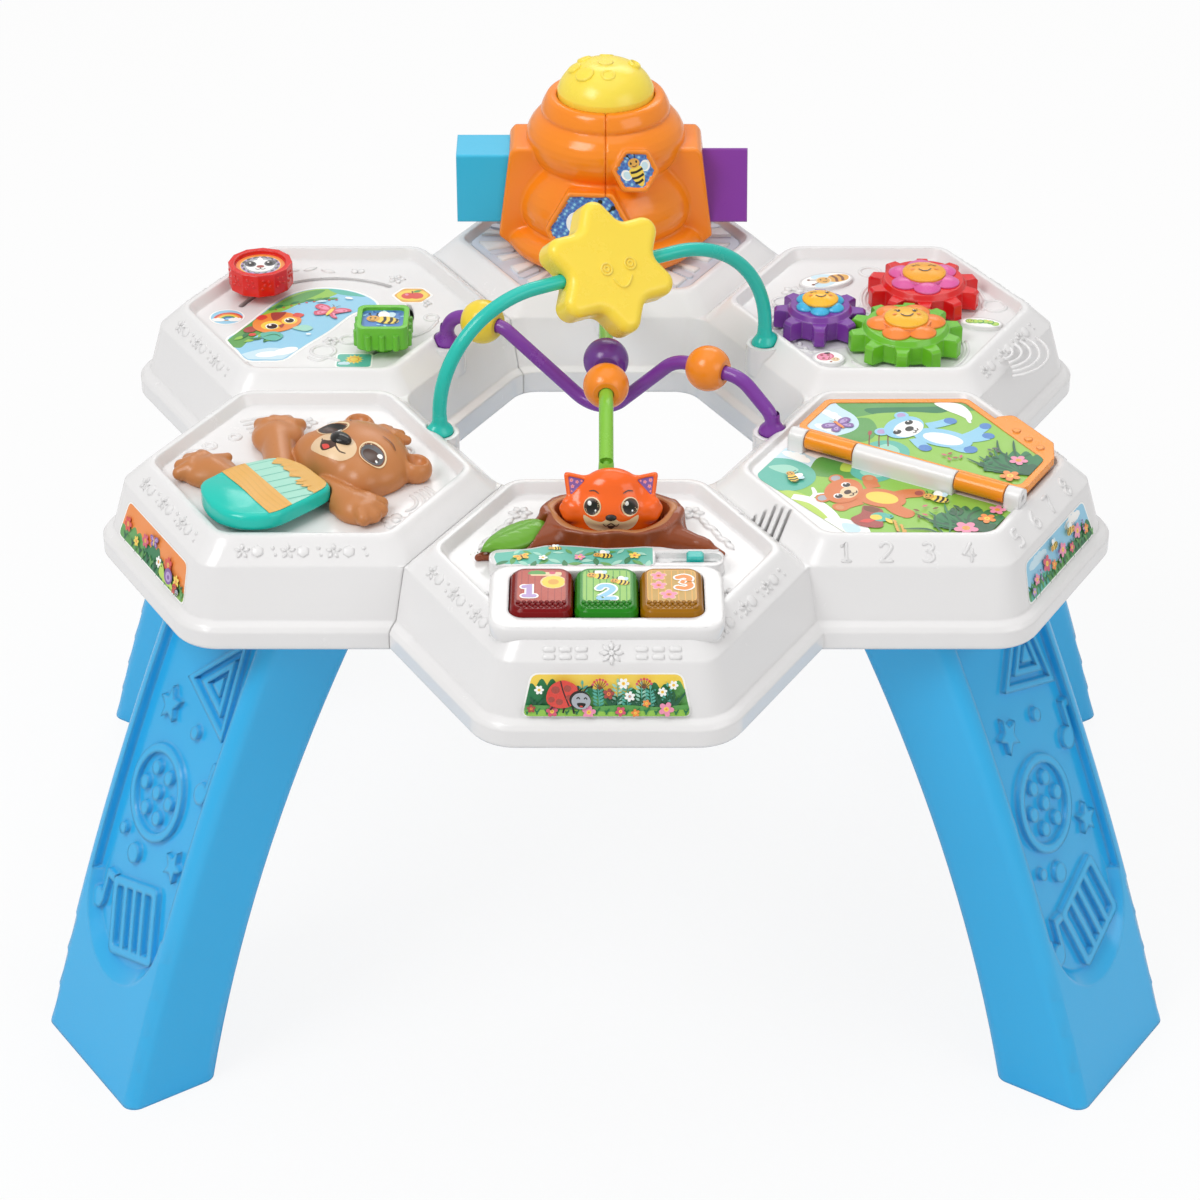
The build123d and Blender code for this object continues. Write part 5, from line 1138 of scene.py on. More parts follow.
def make_stump():
    cx, cy = 3.0, -160.0
    outer = oval(cx, cy, 76, 43, 0, 48)
    wall = slab_of(outer, TRAY_FLOOR - 0.2, 345, 2.6)
    foot = egg((cx, cy, 328), (41, 24, 9))
    ridges = [rod((cx + 37.2 * math.cos(a) * k, cy + 20.6 * math.sin(a) * k, 331),
                  (cx + 36.4 * math.cos(a + 0.05) * k, cy + 19.8 * math.sin(a + 0.05) * k, 343), 2.3, 1.2)
              for i, k in enumerate((1.0, 0.985, 1.0, 0.99) * 6)
              for a in [math.radians(15 * i + 6 * math.sin(i * 2.4))]]
    left_root = [rod((-30, -163, 333), (-58, -184, 332.0), 9.0, 6.0),
                 rod((-30, -172, 333), (-46, -180, 332), 10.0, 7.5),
                 rod((-56, -184.0, 332), (-66.5, -188.0, 331), 5.2, 2.4)]
    right_root = [rod((30, -168, 333), (52, -176.5, 331.5), 8.6, 3.6),
                  rod((50, -176, 331.5), (61, -183, 330.6), 3.8, 1.3)]
    whole = melt(3.0, melt(2.2, wall, *ridges), foot, *left_root, *right_root)
    around = [2 * math.pi * i / 48 for i in range(48)]
    hole = slab_of([(cx + 30.3 * math.cos(a), cy + (15.8 + 2.0 * max(-math.sin(a), 0)) * math.sin(a))
                    for a in around],
                   300, 360, 0.2)
    leaf_seat = slab_of(moved(pointed(0, 0, 42.0, 21.4, 0, 28), -48.0, -176.5, 33), 332.6, 346, 0.3)
    stem_hole = slab_of(oval(-48.5, -177.5, 7.4, 7.4), 320, 345, 0.1)
    strip_room = slab_of([(-90, -215), (90, -215), (90, -188.4), (58, -188.4), (38, -187.4), (26, -184.9),
                          (10, -184.4), (-6, -185.2), (-20, -184.7), (-40, -188.4), (-90, -188.4)], 320, 360,
                         0.2)
    field = dug(whole, 0.5, hole, leaf_seat, stem_hole, strip_room)
    trimmed = lambda x, y, z: np.maximum(np.maximum(field(x, y, z), z - stump_top(x, y)), TRAY_FLOOR - z)
    stump = carve("tree_stump", trimmed, (-72, -193, 328), (66, -133, 346), 0.9, "bark", "table",
                  ["stump"])
    # the pale rim inside the stump's mouth
    points, faces = [], []
    rows = ((30.3, 15.8, -14.0), (30.2, 15.7, -1.3), (30.5, 16.0, -0.3), (31.2, 16.6, 0.14),
            (33.0, 17.9, 0.2), (34.0, 18.6, 0.02), (34.2, 18.8, -0.5))
    count = 96
    for rx, ry, rise in rows:
        for i in range(count):
            a = 2 * math.pi * i / count
            wobble = 0.5 * math.sin(5 * a + 0.7) + 0.4 * math.sin(9 * a) if rx > 32 else 0.0
            x = cx + (rx + wobble) * math.cos(a)
            y = cy + (ry + wobble * 0.6 + 1.9 * max(-math.sin(a), 0)) * math.sin(a)
            points.append((x, y, float(stump_top(x, y)) + rise))
    for k in range(len(rows) - 1):
        for i in range(count):
            j = (i + 1) % count
            faces.append((k * count + i, k * count + j, (k + 1) * count + j, (k + 1) * count + i))
    piece("stump_mouth_rim", points, faces, ["bark_pale"], "table")
    return stump


def make_leaf():
    mx, my = -48.0, -176.5
    ux, uy = polar(1, 33)

    def blade(x, y, z):
        u, v = (x - mx) * ux + (y - my) * uy, -(x - mx) * uy + (y - my) * ux
        v = v - 0.9 * np.sin(u * 0.09)
        left, right = np.clip(-u / 20.6, 0, 1), np.clip(u / 19.2, 0, 1)
        half = 10.2 * np.sqrt(np.maximum(1 - right ** 2.6, 0)) * (1 - left ** 1.7) ** 0.92 + 0.15
        rise = 5.0 * np.maximum(1 - (np.abs(v) / (half + 0.5)) ** 2.6,
                                0) * np.maximum(1 - np.abs(u / 21.5) ** 5, 0)
        groove = 0.8 * np.exp(-(v / 0.5) ** 2) * (u > -19) * (u < 16)
        along = u - np.abs(v) * 0.9
        veins = 0.22 * np.exp(-((along + 2.2 - 6.2 * np.round((along
                                                               + 2.2) / 6.2)) / 0.55) ** 2) * (np.abs(u) < 14)
        top = 337.0 + rise - groove - veins + 0.03 * u
        return np.maximum(np.maximum(z - top, 335.0 - z), (np.abs(v) - half) * 0.85)
    stalk = rod((-48.5, -177.5, 312), (-48.5, -177.5, 335.5), 2.9)
    foot = slab_of(oval(-48.5, -177.5, 9, 9), *FLANGE, 0.3)
    carve("leaf_blade", lambda x, y, z: np.minimum(np.minimum(blade(x, y, z),
                                                              np.maximum(stalk(x, y, z), 312.0 - z)),
                                                   foot(x, y, z)),
          (-70, -192, 310), (-28, -162, 344), 0.7, "leaf_green", "leaf_button", ["leaf_button"])


make_fox()
make_stump()
make_leaf()


# ---------------------------------------- bear and its belly
BELLY = [(-218, -131), (-203, -113), (-178, -101.5), (-163, -110), (-145.6, -134), (-154.6, -145),
         (-176, -167.0), (-198, -167.0), (-213, -150.0)]
BELLY_MIDDLE = (-184.0, -135.0)


def belly_outline(grow):
    mx, my = BELLY_MIDDLE
    return rounded([(mx + (x - mx) * (1 + grow / 35), my + (y - my) * (1 + grow / 35)) for x, y in BELLY],
                   11.0, 6)


def make_bear():
    head = place_frame((-141.0, -97.0, 329.0), (*polar(1, -49), 0), (*polar(1, 41), 0))

    def at(u, v, h):
        return tuple(head(u, v, h))
    skull = melt(7.0, egg(at(-0.2, 6.0, 6.0), (34.2, 26.5, 17.5), -49),
                 egg(at(-0.4, -6.0, 4.0), (31.0, 17.0, 15.0), -49),
                 egg(at(0.4, 12.0, 5.0), (26.5, 20.0, 17.5), -49))
    muzzle = egg(at(2.0, -9.0, 13.5), (15.0, 12.0, 11.5), -49)
    cheeks = [egg(at(0.4 + side * 19.4, -7.0, 7.0), (12.4, 11.0, 11.6), -49) for side in (-1, 1)]
    tuft = [rod(at(u, 29.0, 14.0), at(u * 1.8 + 1, 36.5 - abs(u) * 0.4, 12.0), 4.6, 2.6)
            for u in (-4.4, 0.0, 4.2)]
    ears = [melt(1.5, egg(at(u, v, 5.6), (9.4, 9.0, 8.2), -49),
                 rod(at(u * 0.72, v * 0.72, 5), at(u, v, 5), 7.2, 6.8))
            for u, v in ((-28.8, 30.4), (27.6, 25.6))]
    ear_pits = [egg(at(u, v, 13.0), (5.9, 5.4, 6.0), -49) for u, v in ((-29.0, 30.8), (28.4, 26.4))]
    sockets = [egg(at(2.6 + side * 18.6, 3.0, 23.0), (8.0, 7.0, 4.0), -49) for side in (-1, 1)]

    def paw(x, y, bearing, long, wide, spread):
        parts = [egg((x, y, 333.0), (long, wide, 8.2), bearing)]
        for k in range(4):
            a = bearing + (k - 1.5) * spread
            cx, cy = polar(long * 0.62, a)
            ex, ey = polar(long * 0.99, a)
            parts.append(rod((x + cx, y + cy, 337.0), (x + ex * 0.94, y + ey * 0.94, 334.2), 3.5, 3.9))
        return parts
    arms = [
        melt(2.4, *paw(-181.5, -62.0, 88, 16.5, 14.5, 30), rod((-181.5, -66, 333), (-176, -104, 332.5), 9.5,
                                                               8.5),
             rod((-190.5, -66, 336.0), (-181.5, -60.5, 339.5), 2.6, 1.8)),
        melt(2.4, *paw(-216.0, -101.0, 152, 17.0, 13.5, 28), rod((-214, -103, 333), (-196, -121, 332.5), 9.5,
                                                                 9.0),
             rod((-206.5, -90.5, 336.0), (-213.0, -97.5, 339.6), 2.6, 1.8)),
        melt(2.4, *paw(-132.6, -141.2, -28, 13.8, 11.4, 30), rod((-134, -140, 333), (-152, -122, 332.5), 9.3,
                                                                 9.0),
             rod((-132.4, -131.8, 336.5), (-127.0, -136.2, 338.8), 2.4, 1.8)),
    ]
    body = slab_of(belly_outline(-7.0), 328.9, 329.6, 0.2)
    face = melt(2.4, dug(melt(3.5, skull, muzzle, *cheeks), 1.6, *sockets), *ears)
    furred = dug(melt(1.6, face, *tuft), 1.0, *ear_pits)
    whole = melt(1.0, furred, *arms, body)
    room = slab_of(belly_outline(0.9), 329.6, 380, 0.1)
    stem = slab_of(oval(*BELLY_MIDDLE, 13.4, 13.4), 320, 340, 0.1)
    bear = carve("bear_body_carved", above(dug(whole, 0.4, room, stem), TRAY_FLOOR), (-236, -166, 328),
                 (-93, -44, 354),
                 1.0, "bear_brown", "table", ["bear_body"])
    skin = surface_of(bear)
    shapes = [
        # cream muzzle with the mouth inside
        (spline([(-13.6, -10.0), (-11.0, -3.2), (-5.0, -0.2), (2.0, 1.0), (9.0, -0.2), (13.6, -3.4),
                 (15.6, -8.8), (12.4, -15.2), (2.0, -18.8), (-9.6, -16.6)]), "cream"),
        (ribbon(open_spline([(-8.4, -9.6), (-5.4, -11.6), (-1.4, -11.2), (2.0, -9.4), (5.8, -11.2),
                             (9.6, -11.8), (12.4, -9.8)]), 1.0, 0.5), "dark_brown"),
        (spline([(-5.6, -11.4), (-1.6, -11.0), (2.0, -9.6), (5.6, -11.2), (4.6, -14.8), (1.6, -17.0),
                 (-2.4, -15.6)]),
         "dark_brown"),
        (spline([(-1.8, -14.6), (1.4, -13.2), (4.0, -14.2), (1.8, -16.2)]), "red"),
    ]
    for side in (-1, 1):
        x = 1.6 + side * 18.2 + (1.4 if side < 0 else 0)
        lean = side * -12
        grow = 1.0 if side > 0 else 1.14
        shapes += [
            (oval(x, 2.8, 17.2 * grow, 14.2 * grow, lean), "sand"),
            (oval(x, 2.6, 15.6 * grow, 12.8 * grow, lean), "brown"),
            # the right eye's grey is painted glare on its gloss; the left eye is plain black
            (oval(x, 2.5, 14.2 * grow, 11.8 * grow, lean), "eye_grey" if side > 0 else "black"),
            (oval(x, 1.6, 11.2, 8.4, lean), "dark_brown"),
            (oval(x + 3.2, 5.2, 3.4, 2.8, lean), "white"),
            (oval(x + 5.0, 1.2, 1.6, 1.3, lean), "white"),
            (ribbon(open_spline([(x - 5 * side - 3, 14.6 + 1.2 * side), (x - 2, 17.2),
                                 (x + 3, 17.0 - 1.2 * side)]), 0.8, 0.3),
             "brown"),
        ]
    painted("bear_face_paint", head, skin, shapes, "table", fineness=1.6)
    spot, out, _, _ = skin.ray_cast(head(1.6, -4.4, 60), -head.out)
    nose = melt(2.0, egg(tuple(spot + out * 0.3), (7.2, 4.6, 3.0), -49),
                egg(tuple(spot + out * 0.2 - head.up * 2.0), (4.4, 3.8, 2.6), -49))
    carve("bear_nose", nose, tuple(spot - Vector((12, 12, 6))), tuple(spot + Vector((12, 12, 6))),
          0.7, "fox_nose_black",
          "table")


def make_belly():
    low, high = 334.1, 344.0
    cushion = slab_of(belly_outline(0.0), low, high, 3.0)
    pants = egg((-203, -142, 338), (17, 25, 7.2), 48)
    stem = slab_of(oval(*BELLY_MIDDLE, 12, 12), 314.8, 338, 0.2)
    foot = slab_of(oval(*BELLY_MIDDLE, 16.4, 16.4), *FLANGE, 0.3)
    inside = slab_of(belly_outline(0.0), low, 346, 1.0)
    domed = lambda x, y, z: np.maximum(melt(2.0, cushion, pants)(x, y, z), inside(x, y, z))
    seam_line = rod((-174.5, -164.5, 335), (-174.5, -164.5, 343.5), 0.45)
    field = melt(0.5, dug(domed, 0.3, seam_line), stem, foot)
    belly = carve("bear_belly_carved", field, (-219, -168, 314), (-144, -100, 346),
                  0.9, "belly_teal", "bear_belly",
                  ["bear_belly"])
    skin = surface_of(belly)
    place = place_frame((*BELLY_MIDDLE, 344.0), (*polar(1, -56.4), 0), (*polar(1, 33.6), 0))

    def local(x, y):
        dx, dy = x - BELLY_MIDDLE[0], y - BELLY_MIDDLE[1]
        return dx * place.across.x + dy * place.across.y, dx * place.up.x + dy * place.up.y
    edge = inset(anticlockwise([local(x, y) for x, y in belly_outline(-1.2)]), 0.8)
    shapes = []

    def banded(low_v, high_v, colour):
        run = [-40 + 80 * i / 26 for i in range(27)]
        strip = [(u, low_v) for u in run] + [(u, high_v) for u in reversed(run)]
        return clip_to(strip, hull_of(edge)), colour
    shapes.append(banded(4.0, 30.0, "pale_teal"))
    for k in range(9):      # faint woven stripes in the pale band
        u = -30 + 7.2 * k
        shapes.append((clip_to(ribbon([(u, 4.2), (u + 3.5, 26.0)], 0.4), hull_of(edge)), "teal"))
    shapes.append(banded(-10.6, 4.0, "ochre"))
    for k in range(4):      # grain lines in the ochre band
        v = -8.2 + 3.2 * k
        shapes.append((clip_to(ribbon(open_spline([(-34, v), (-12, v + 0.8), (10, v - 0.6), (34, v + 0.5)]),
                                      0.45),
                               hull_of(edge)), "gold"))
    # jagged collar at the neck end
    teeth = [(-26, 40)]
    for k in range(13):
        u = -26 + 4.4 * k
        teeth.append((u, 18.4 + (2.4 if k % 2 else -1.8) + 1.4 * math.sin(k * 2.1)))
    teeth.append((27, 40))
    shapes.append((clip_to(rounded(teeth, 1.2, 2), hull_of(edge)), "gold"))
    for k in range(6):
        u = -18 + 6.4 * k
        shapes.append((clip_to(pointed(u, 20.5 + math.sin(k), 6.5, 2.6, 55 + 14 * math.sin(k * 1.7)),
                               hull_of(edge)),
                       "ochre"))
    painted("bear_shirt_print", place, skin, [s for s in shapes if len(s[0]) > 2], "bear_belly", fineness=2.0)


def hull_of(points):
    """Convex hull of a flat outline, anticlockwise."""
    ordered = sorted(set((round(x, 4), round(y, 4)) for x, y in points))

    def half(run):
        chain = []
        for p in run:
            while len(chain) > 1 and ((chain[-1][0] - chain[-2][0]) * (p[1] - chain[-2][1])
                                      - (chain[-1][1] - chain[-2][1]) * (p[0] - chain[-2][0])) <= 0:
                chain.pop()
            chain.append(p)
        return chain[:-1]
    return half(ordered) + half(ordered[::-1])


make_bear()
make_belly()


# ---------------------------------------- beehive windows
HIVE_OUTLINE = [(331, 52.2), (333, 56.5), (335.5, 59.6), (338, 61), (340.5, 61.4), (343, 61), (345.5, 59.4),
                (347.8, 56.4), (349.3, 52.8), (350.2, 50.6), (351, 51.2), (353, 52.6), (357, 53.9),
                (361, 54.4), (365, 54.2), (370, 53), (375, 51), (380, 47.9), (384, 44.9), (386.5, 42.6),
                (387.6, 42), (388.6, 42.6), (391, 44.4), (395, 46.4), (399, 47.6), (403, 47.9), (407, 47.2),
                (411, 45.2), (414.5, 42.4), (416.8, 39.8), (417.8, 38.2), (418.4, 38.1), (419.2, 38.8),
                (421, 38.7), (424, 37.5), (427, 35.9), (428.3, 34.9), (429, 33.4)]
HIVE_WINDOWS = {"small": ((17.6, 140.6, 399.6), 8, 17, 14.6, -4),
                "large": ((-9.5, 131.6, 364.6), -4, 10, 27.0, 0)}


def window_place(word):
    origin, yaw, tilt, _, _ = HIVE_WINDOWS[word]
    across = (*polar(1, yaw), 0)
    back = polar(math.sin(math.radians(tilt)), yaw + 90)
    return place_frame(origin, across, (*back, math.cos(math.radians(tilt))))


def make_hive():
    heights, radii = zip(*HIVE_OUTLINE)
    tiers = lambda x, y, z: np.maximum(np.maximum((np.hypot(x, y - 188) - np.interp(z, heights, radii)) * 0.8,
                                                  z - 429), 331 - z)
    side = slab_of(rounded([(-54, 334), (-64.8, 343), (-58, 397), (-55, 400.6), (55, 400.6), (58, 397),
                            (64.8, 343), (54, 334)],
                           1.5), 168.9, 207.1, 1.6)
    wings = lambda x, y, z: side(x, z, y)
    square = slab_of([(-80, 350.1), (-8, 350.1), (-8, 395.4), (-80, 395.4)], 172.1, 203.9, 0.1)
    wedge = slab_of([(171.1, 350.1), (204.9, 350.1), (188, 396.3)], 8, 80, 0.1)
    tunnels = (lambda x, y, z: square(x, z, y), lambda x, y, z: wedge(y, z, x))
    bosses, hollows = [], []
    for word, (_, _, _, radius, turn) in HIVE_WINDOWS.items():
        place = window_place(word)
        bosses.append(turned_to(place, slab_of(rounded(hexagon(radius, turn), 2.0, 4), -13, 1.6, 0.9)))
        hollows.append(turned_to(place, slab_of(rounded(hexagon(radius - 2.7, turn), 1.2, 3), 0.0, 9, 0.2)))
    seat = slab_of(oval(0, 188, 59, 59, 0, 48), 418.3, 440, 0.3)
    room = slab_of(oval(0, 188, 64, 64, 0, 40), 404, 418.3, 0.1)
    whole = melt(0.7, melt(1.0, melt(0.8, tiers, wings), *bosses), lambda x, y, z: tiers(x, y, z) + 0.4)
    whole = dug(whole, 0.3, *tunnels, *hollows, seat, room)
    for word, low, high, half in (("left", -66, 0, lambda x: x), ("right", 0, 66, lambda x: -x)):
        carve(f"hive_{word}_shell", lambda x, y, z: np.maximum(whole(x, y, z), half(x)), (low, 126, 330.6),
              (high, 250, 429.4),
              1.05, "hive_orange", "table", [f"hive_{word}"])


def make_hive_windows():
    for word in ("small", "large"):
        radius, turn = HIVE_WINDOWS[word][3:]
        label = Print(f"hive_{word}_window_print", window_place(word), "table", lift=0.08)
        label.clip = hexagon(radius - 2.5, turn)
        label.lay(hexagon(radius, turn), "blue")
        step = 2.3
        rows = int(radius / step) + 1
        for row in range(-rows, rows + 1):
            for k in range(-rows, rows + 1):
                u, v = (k + 0.5 * (row % 2)) * step, row * step * 0.87
                if math.hypot(u, v) < radius:
                    label.lay(oval(u, v, 1.75, 1.75, 0, 6), "deep_blue" if (k + row * 2) % 3 else "sky",
                              rise=False)
        label.lift += label.step
        if word == "small":
            picture = put(tall_bee_picture(), 0.4, -0.6, 0.96, 12)
        else:
            picture = put(tall_bee_picture(), 2.0, -3.5, 1.9, -18, True)
        label.lay_all(picture)
        label.done()


CELL_CAP = 445.7                        # foot of a dome cell at most, so that none rises over the dome


def make_dome_cells():
    """Round cells raised on top of the dome, two of them open like rings."""
    dome = surface_of(nodes["hive_dome"])
    for k, (x, y, radius, ring) in enumerate((
            (-12.6, 197.5, 4.6, True), (-2.8, 192.6, 4.3, False), (9.2, 181.8, 5.2, False),
            (-18.6, 186.6, 4.4, False), (-12.4, 176.2, 5.8, False), (1.4, 173.6, 4.9, True),
            (-3.8, 183.0, 4.6, False), (8.0, 195.6, 5.0, False), (17.0, 190.6, 4.2, True),
            (0.6, 203.4, 4.4, False))):
        spot, out, _, _ = dome.ray_cast(Vector((x, y, 600)), Vector((0, 0, -1)))
        spot.z = min(spot.z, CELL_CAP)
        across = (Vector((1, 0, 0)) - out * out.x).normalized()
        place = place_frame(spot, across, out.cross(across))
        if ring:
            hoops(f"dome_open_cell_{k + 1}", place, [(ring_line(0, 0, radius - 1.2, 22), 2.3, 1.7, True)],
                  "hive_dome",
                  "dome_yellow", sink=1.6)
        else:
            relief(f"dome_full_cell_{k + 1}", place, [(oval(0, 0, 2 * radius, 2 * radius), 1.3)], "hive_dome",
                   "dome_yellow",
                   edge=0.7, sink=1.8)


def make_tray_rays():
    """Sunburst of ridges moulded into the grey plate under the hive."""
    place = ground_frame(0, 188.0, 331.0, 0)
    shapes = []
    for k in range(24):
        bearing = 15 * k + 7.5
        if 62 < bearing < 118:
            continue
        start, spread = (46, 3.0) if k % 2 else (40, 4.6)
        shapes.append(([polar(start, bearing - 1.2), polar(84, bearing - spread), polar(84, bearing + spread),
                        polar(start, bearing + 1.2)], 1.3 if k % 2 else 1.7))
    window = hexagon(80.0, 0)
    relief("hive_tray_rays", place, [(clip_to(anticlockwise(o), window), h) for o, h in shapes
                                     if len(clip_to(anticlockwise(o), window)) > 2], "table", "deck_white",
           edge=0.4)


make_hive()
make_hive_windows()
make_dome_cells()
make_tray_rays()


# ---------------------------------------- flower faces and plaques by the gears
def make_flower_face(flower, radius, eyes):
    skin = surface_of(nodes[f"{flower}_face"])
    place = ground_frame(*FLOWERS[flower], 351.0, 0)
    k = radius / 12.8
    art = []
    for side, look in zip((-1, 1), eyes):
        x, y = side * 4.6 * k, 3.0 * k
        if look == "open":
            art += [(oval(x, y, 2.3 * k, 3.4 * k), "dark_brown"),
                    (oval(x - 0.4 * k, y + 0.8 * k, 0.8 * k, 1.0 * k), "white"),
                    (band([(x + side * 0.8 * k, y + 1.6 * k), (x + side * 2.0 * k, y + 2.4 * k)], 0.5 * k),
                     "dark_brown"),
                    (band([(x + side * 1.0 * k, y + 0.8 * k), (x + side * 2.3 * k, y + 1.2 * k)], 0.5 * k),
                     "dark_brown")]
        else:
            art += [(band([(x - 2.2 * k, y - 0.4 * k), (x, y + 1.2 * k), (x + 2.2 * k, y - 0.4 * k)], 0.8 * k,
                          0.4),
                     "dark_brown"),
                    (band([(x + side * 1.6 * k, y + 0.4 * k), (x + side * 2.8 * k, y + 1.4 * k)], 0.5 * k),
                     "dark_brown")]
    art += [(band([(-3.6 * k, -1.6 * k), (-1.8 * k, -3.6 * k), (0.2 * k, -4.2 * k), (2.2 * k, -3.4 * k),
                   (3.8 * k, -1.2 * k)], 0.95 * k, 0.5), "dark_brown"),
            (oval(-7.0 * k, -1.0 * k, 2.6 * k, 1.7 * k), "orange"),
            (oval(7.0 * k, -0.8 * k, 2.6 * k, 1.7 * k), "orange")]
    painted(f"{flower}_smile_paint", place, skin, art, f"{flower}_flower", fineness=1.0)


def make_plaques():
    bee = Print("bee_plaque_print", ground_frame(132.6, 133.0, PLAQUE_TOP, 20), "table")
    bee.clip = oval(0, 0, 31.5, 17.0)
    bee.lay(oval(0, 0, 31.0, 16.4), "white")
    bee.lay_all((
            (oval(-2.0, -4.0, 15.0, 7.0, 14), "pale_sky"), (oval(-1.0, 5.2, 13.0, 6.0, -8), "pale_sky"),
            (spline([(4, 4.6), (11, 4.4), (14.8, 1.4), (12.4, -3.4), (5, -4.4), (1, -1)]), "ochre"),
            (band([(5.4, -4.2), (6.6, 0.4), (5.2, 4.6)], 1.8), "brown"),
            (band([(9.4, -3.8), (10.6, 0.4), (9.4, 4.4)], 1.8), "brown"), (oval(-1.6, 0.2, 9.6, 8.8), "sand"),
            (oval(-1.6, 0.2, 7.8, 7.0), "ochre"), (oval(-3.0, 1.4, 1.1, 1.5), "dark_brown"),
            (oval(0.6, 1.4, 1.1, 1.5), "dark_brown"), (band([(-2.6, -1.2), (-1.2, -2.0), (0.4, -1.2)], 0.5),
                                                       "dark_brown"),
            (band([(-5.6, 2.0), (-9.4, 3.2)], 0.6), "brown"), (oval(-10.0, 3.4, 2.0, 1.8), "brown"),
            (band([(-5.6, -1.6), (-9.0, -3.0)], 0.6), "brown"), (oval(-9.6, -3.2, 2.0, 1.8), "brown")))
    bee.done()
    beetle = Print("ladybird_plaque_print", ground_frame(128.5, 34.5, PLAQUE_TOP, 8), "table")
    beetle.clip = oval(0, 0, 16.6, 14.6)
    beetle.lay(oval(0, 0, 16.2, 14.2), "white")
    beetle.lay_all((
            (oval(-1.6, 1.0, 10.4, 9.0, 20), "rose"), (oval(-1.8, 1.2, 9.0, 7.6, 20), "pink"),
            (oval(3.4, -3.0, 5.0, 4.6), "cream"), (oval(2.8, -2.6, 0.7, 0.9), "black"),
            (oval(4.6, -2.9, 0.7, 0.9), "black"), (oval(-3.4, 3.0, 2.0, 1.7), "brick"),
            (oval(-3.0, -0.8, 2.0, 1.7), "brick"), (oval(0.4, 2.6, 2.0, 1.7), "brick"),
            (oval(0.2, 4.9, 3.6, 1.8), "black"), (band([(0.8, 0.4), (-0.6, -2.6)], 0.5), "brick"),
            (oval(0.4, -5.6, 1.5, 1.4), "brick")))
    beetle.done()
    crawler = Print("crawler_plaque_print", ground_frame(221.0, 78.0, PLAQUE_TOP, -12), "table")
    crawler.clip = oval(0, 0, 22.6, 10.8)
    crawler.lay(oval(0, 0, 22.2, 10.4), "white")
    for k, (u, v) in enumerate(((8.0, -0.4), (5.0, 1.0), (2.0, 1.4), (-1.0, 0.8), (-4.0, 0.4))):
        crawler.lay(oval(u, v, 4.8, 5.0), "leaf" if k % 2 else "meadow").lay(oval(u, v + 0.4, 3.2, 3.0),
                                                                             "lime")
    crawler.lay_all((
            (oval(-7.0, 0.2, 5.2, 5.4), "leaf"), (oval(-7.0, 0.2, 4.2, 4.4), "lime"),
            (oval(-8.0, 0.7, 0.7, 1.0), "black"), (oval(-6.2, 0.7, 0.7, 1.0), "black"),
            (band([(-7.8, -0.9), (-7.1, -1.4), (-6.3, -0.9)], 0.35), "dark_brown"),
            (oval(3.4, 2.6, 1.6, 1.3), "yellow")))
    crawler.done()


make_flower_face("green", 12.8, ("open", "open"))
make_flower_face("red", 12.8, ("shut", "shut"))
make_flower_face("purple", 10.5, ("shut", "open"))
make_plaques()


# ---------------------------------------- sliding knobs and the prints round them
RED_KNOB, GREEN_KNOB = (moved([polar(radius, rest)], x, y)[0] for x, y, radius, rest, _, _ in TRACKS.values())


def make_knob_prints():
    pit = KNOB_TOP - 2.2
    face = Print("red_knob_print", ground_frame(*RED_KNOB, pit, 6), "red_knob")
    face.clip = oval(0, 0, 29.4, 29.4, 0, 40)
    face.lay_all((
            (oval(0, 0, 29.0, 29.0, 0, 40), "orange"), (oval(0, 0, 24.6, 24.6, 0, 40), "yellow"),
            (oval(0, 0, 23.6, 23.6, 0, 40), "lilac"), (blossom(0, 0.4, 11.6, 14, 0, 0.16, 84), "eye_grey"),
            (blossom(0, 0, 10.4, 16, 8, 0.12, 84), "grey"), (oval(0, -0.6, 17.0, 16.0), "white"),
            (oval(0, 5.8, 3.6, 9.4), "white"), (oval(-5.8, 2.2, 6.6, 8.0, 24), "eye_grey"),
            (oval(5.8, 2.2, 6.6, 8.0, -24), "eye_grey"), (oval(-5.4, 2.0, 4.0, 5.0), "black"),
            (oval(5.4, 2.0, 4.0, 5.0), "black"), (oval(-6.0, 3.4, 1.3, 1.6), "white"),
            (oval(4.8, 3.4, 1.3, 1.6), "white"), (oval(0, -1.8, 4.6, 3.4), "brick"),
            (band([(0, -3.2), (0, -5.0)], 0.5), "dark_brown"),
            (band([(-3.0, -4.6), (-1.4, -5.8), (0, -4.9), (1.4, -5.8), (3.0, -4.6)], 0.5), "dark_brown")))
    face.done()
    bee = Print("green_knob_print", ground_frame(*GREEN_KNOB, pit, 0), "green_knob")
    bee.clip = box_outline(0, 0, 24.0, 24.0, 3.0)
    bee.lay(box_outline(0, 0, 24.4, 24.4, 3.0), "blue")
    for k in range(26):
        bee.lay(oval(11 * math.sin(k * 2.4), 11 * math.cos(k * 3.7), 2.6, 1.5, 40 * k), "sky" if k % 2
                else "deep_blue")
    bee.lay_all(put(bee_picture(), 0.5, -0.5, 1.38, -8))
    bee.done()


def make_knob_studs():
    """Small raised studs on the red knob's side."""
    for k in range(12):
        bearing = 15 + 30 * k
        dx, dy = polar(18.5, bearing)
        place = place_frame((RED_KNOB[0] + dx, RED_KNOB[1] + dy, 343.0), (*polar(1, bearing + 90), 0),
                            (0, 0, 1))
        studs = [(oval(u, v, 1.7, 1.7, 0, 12), 0.5)
                 for u, v in ((-1.8, 3.2), (1.6, 2.4), (-0.8, 0.2), (2.2, -0.8), (-2.4, -2.2))]
        relief(f"red_knob_studs_{k + 1}", place, studs, "red_knob", "knob_red", edge=0.3, sink=1.4)


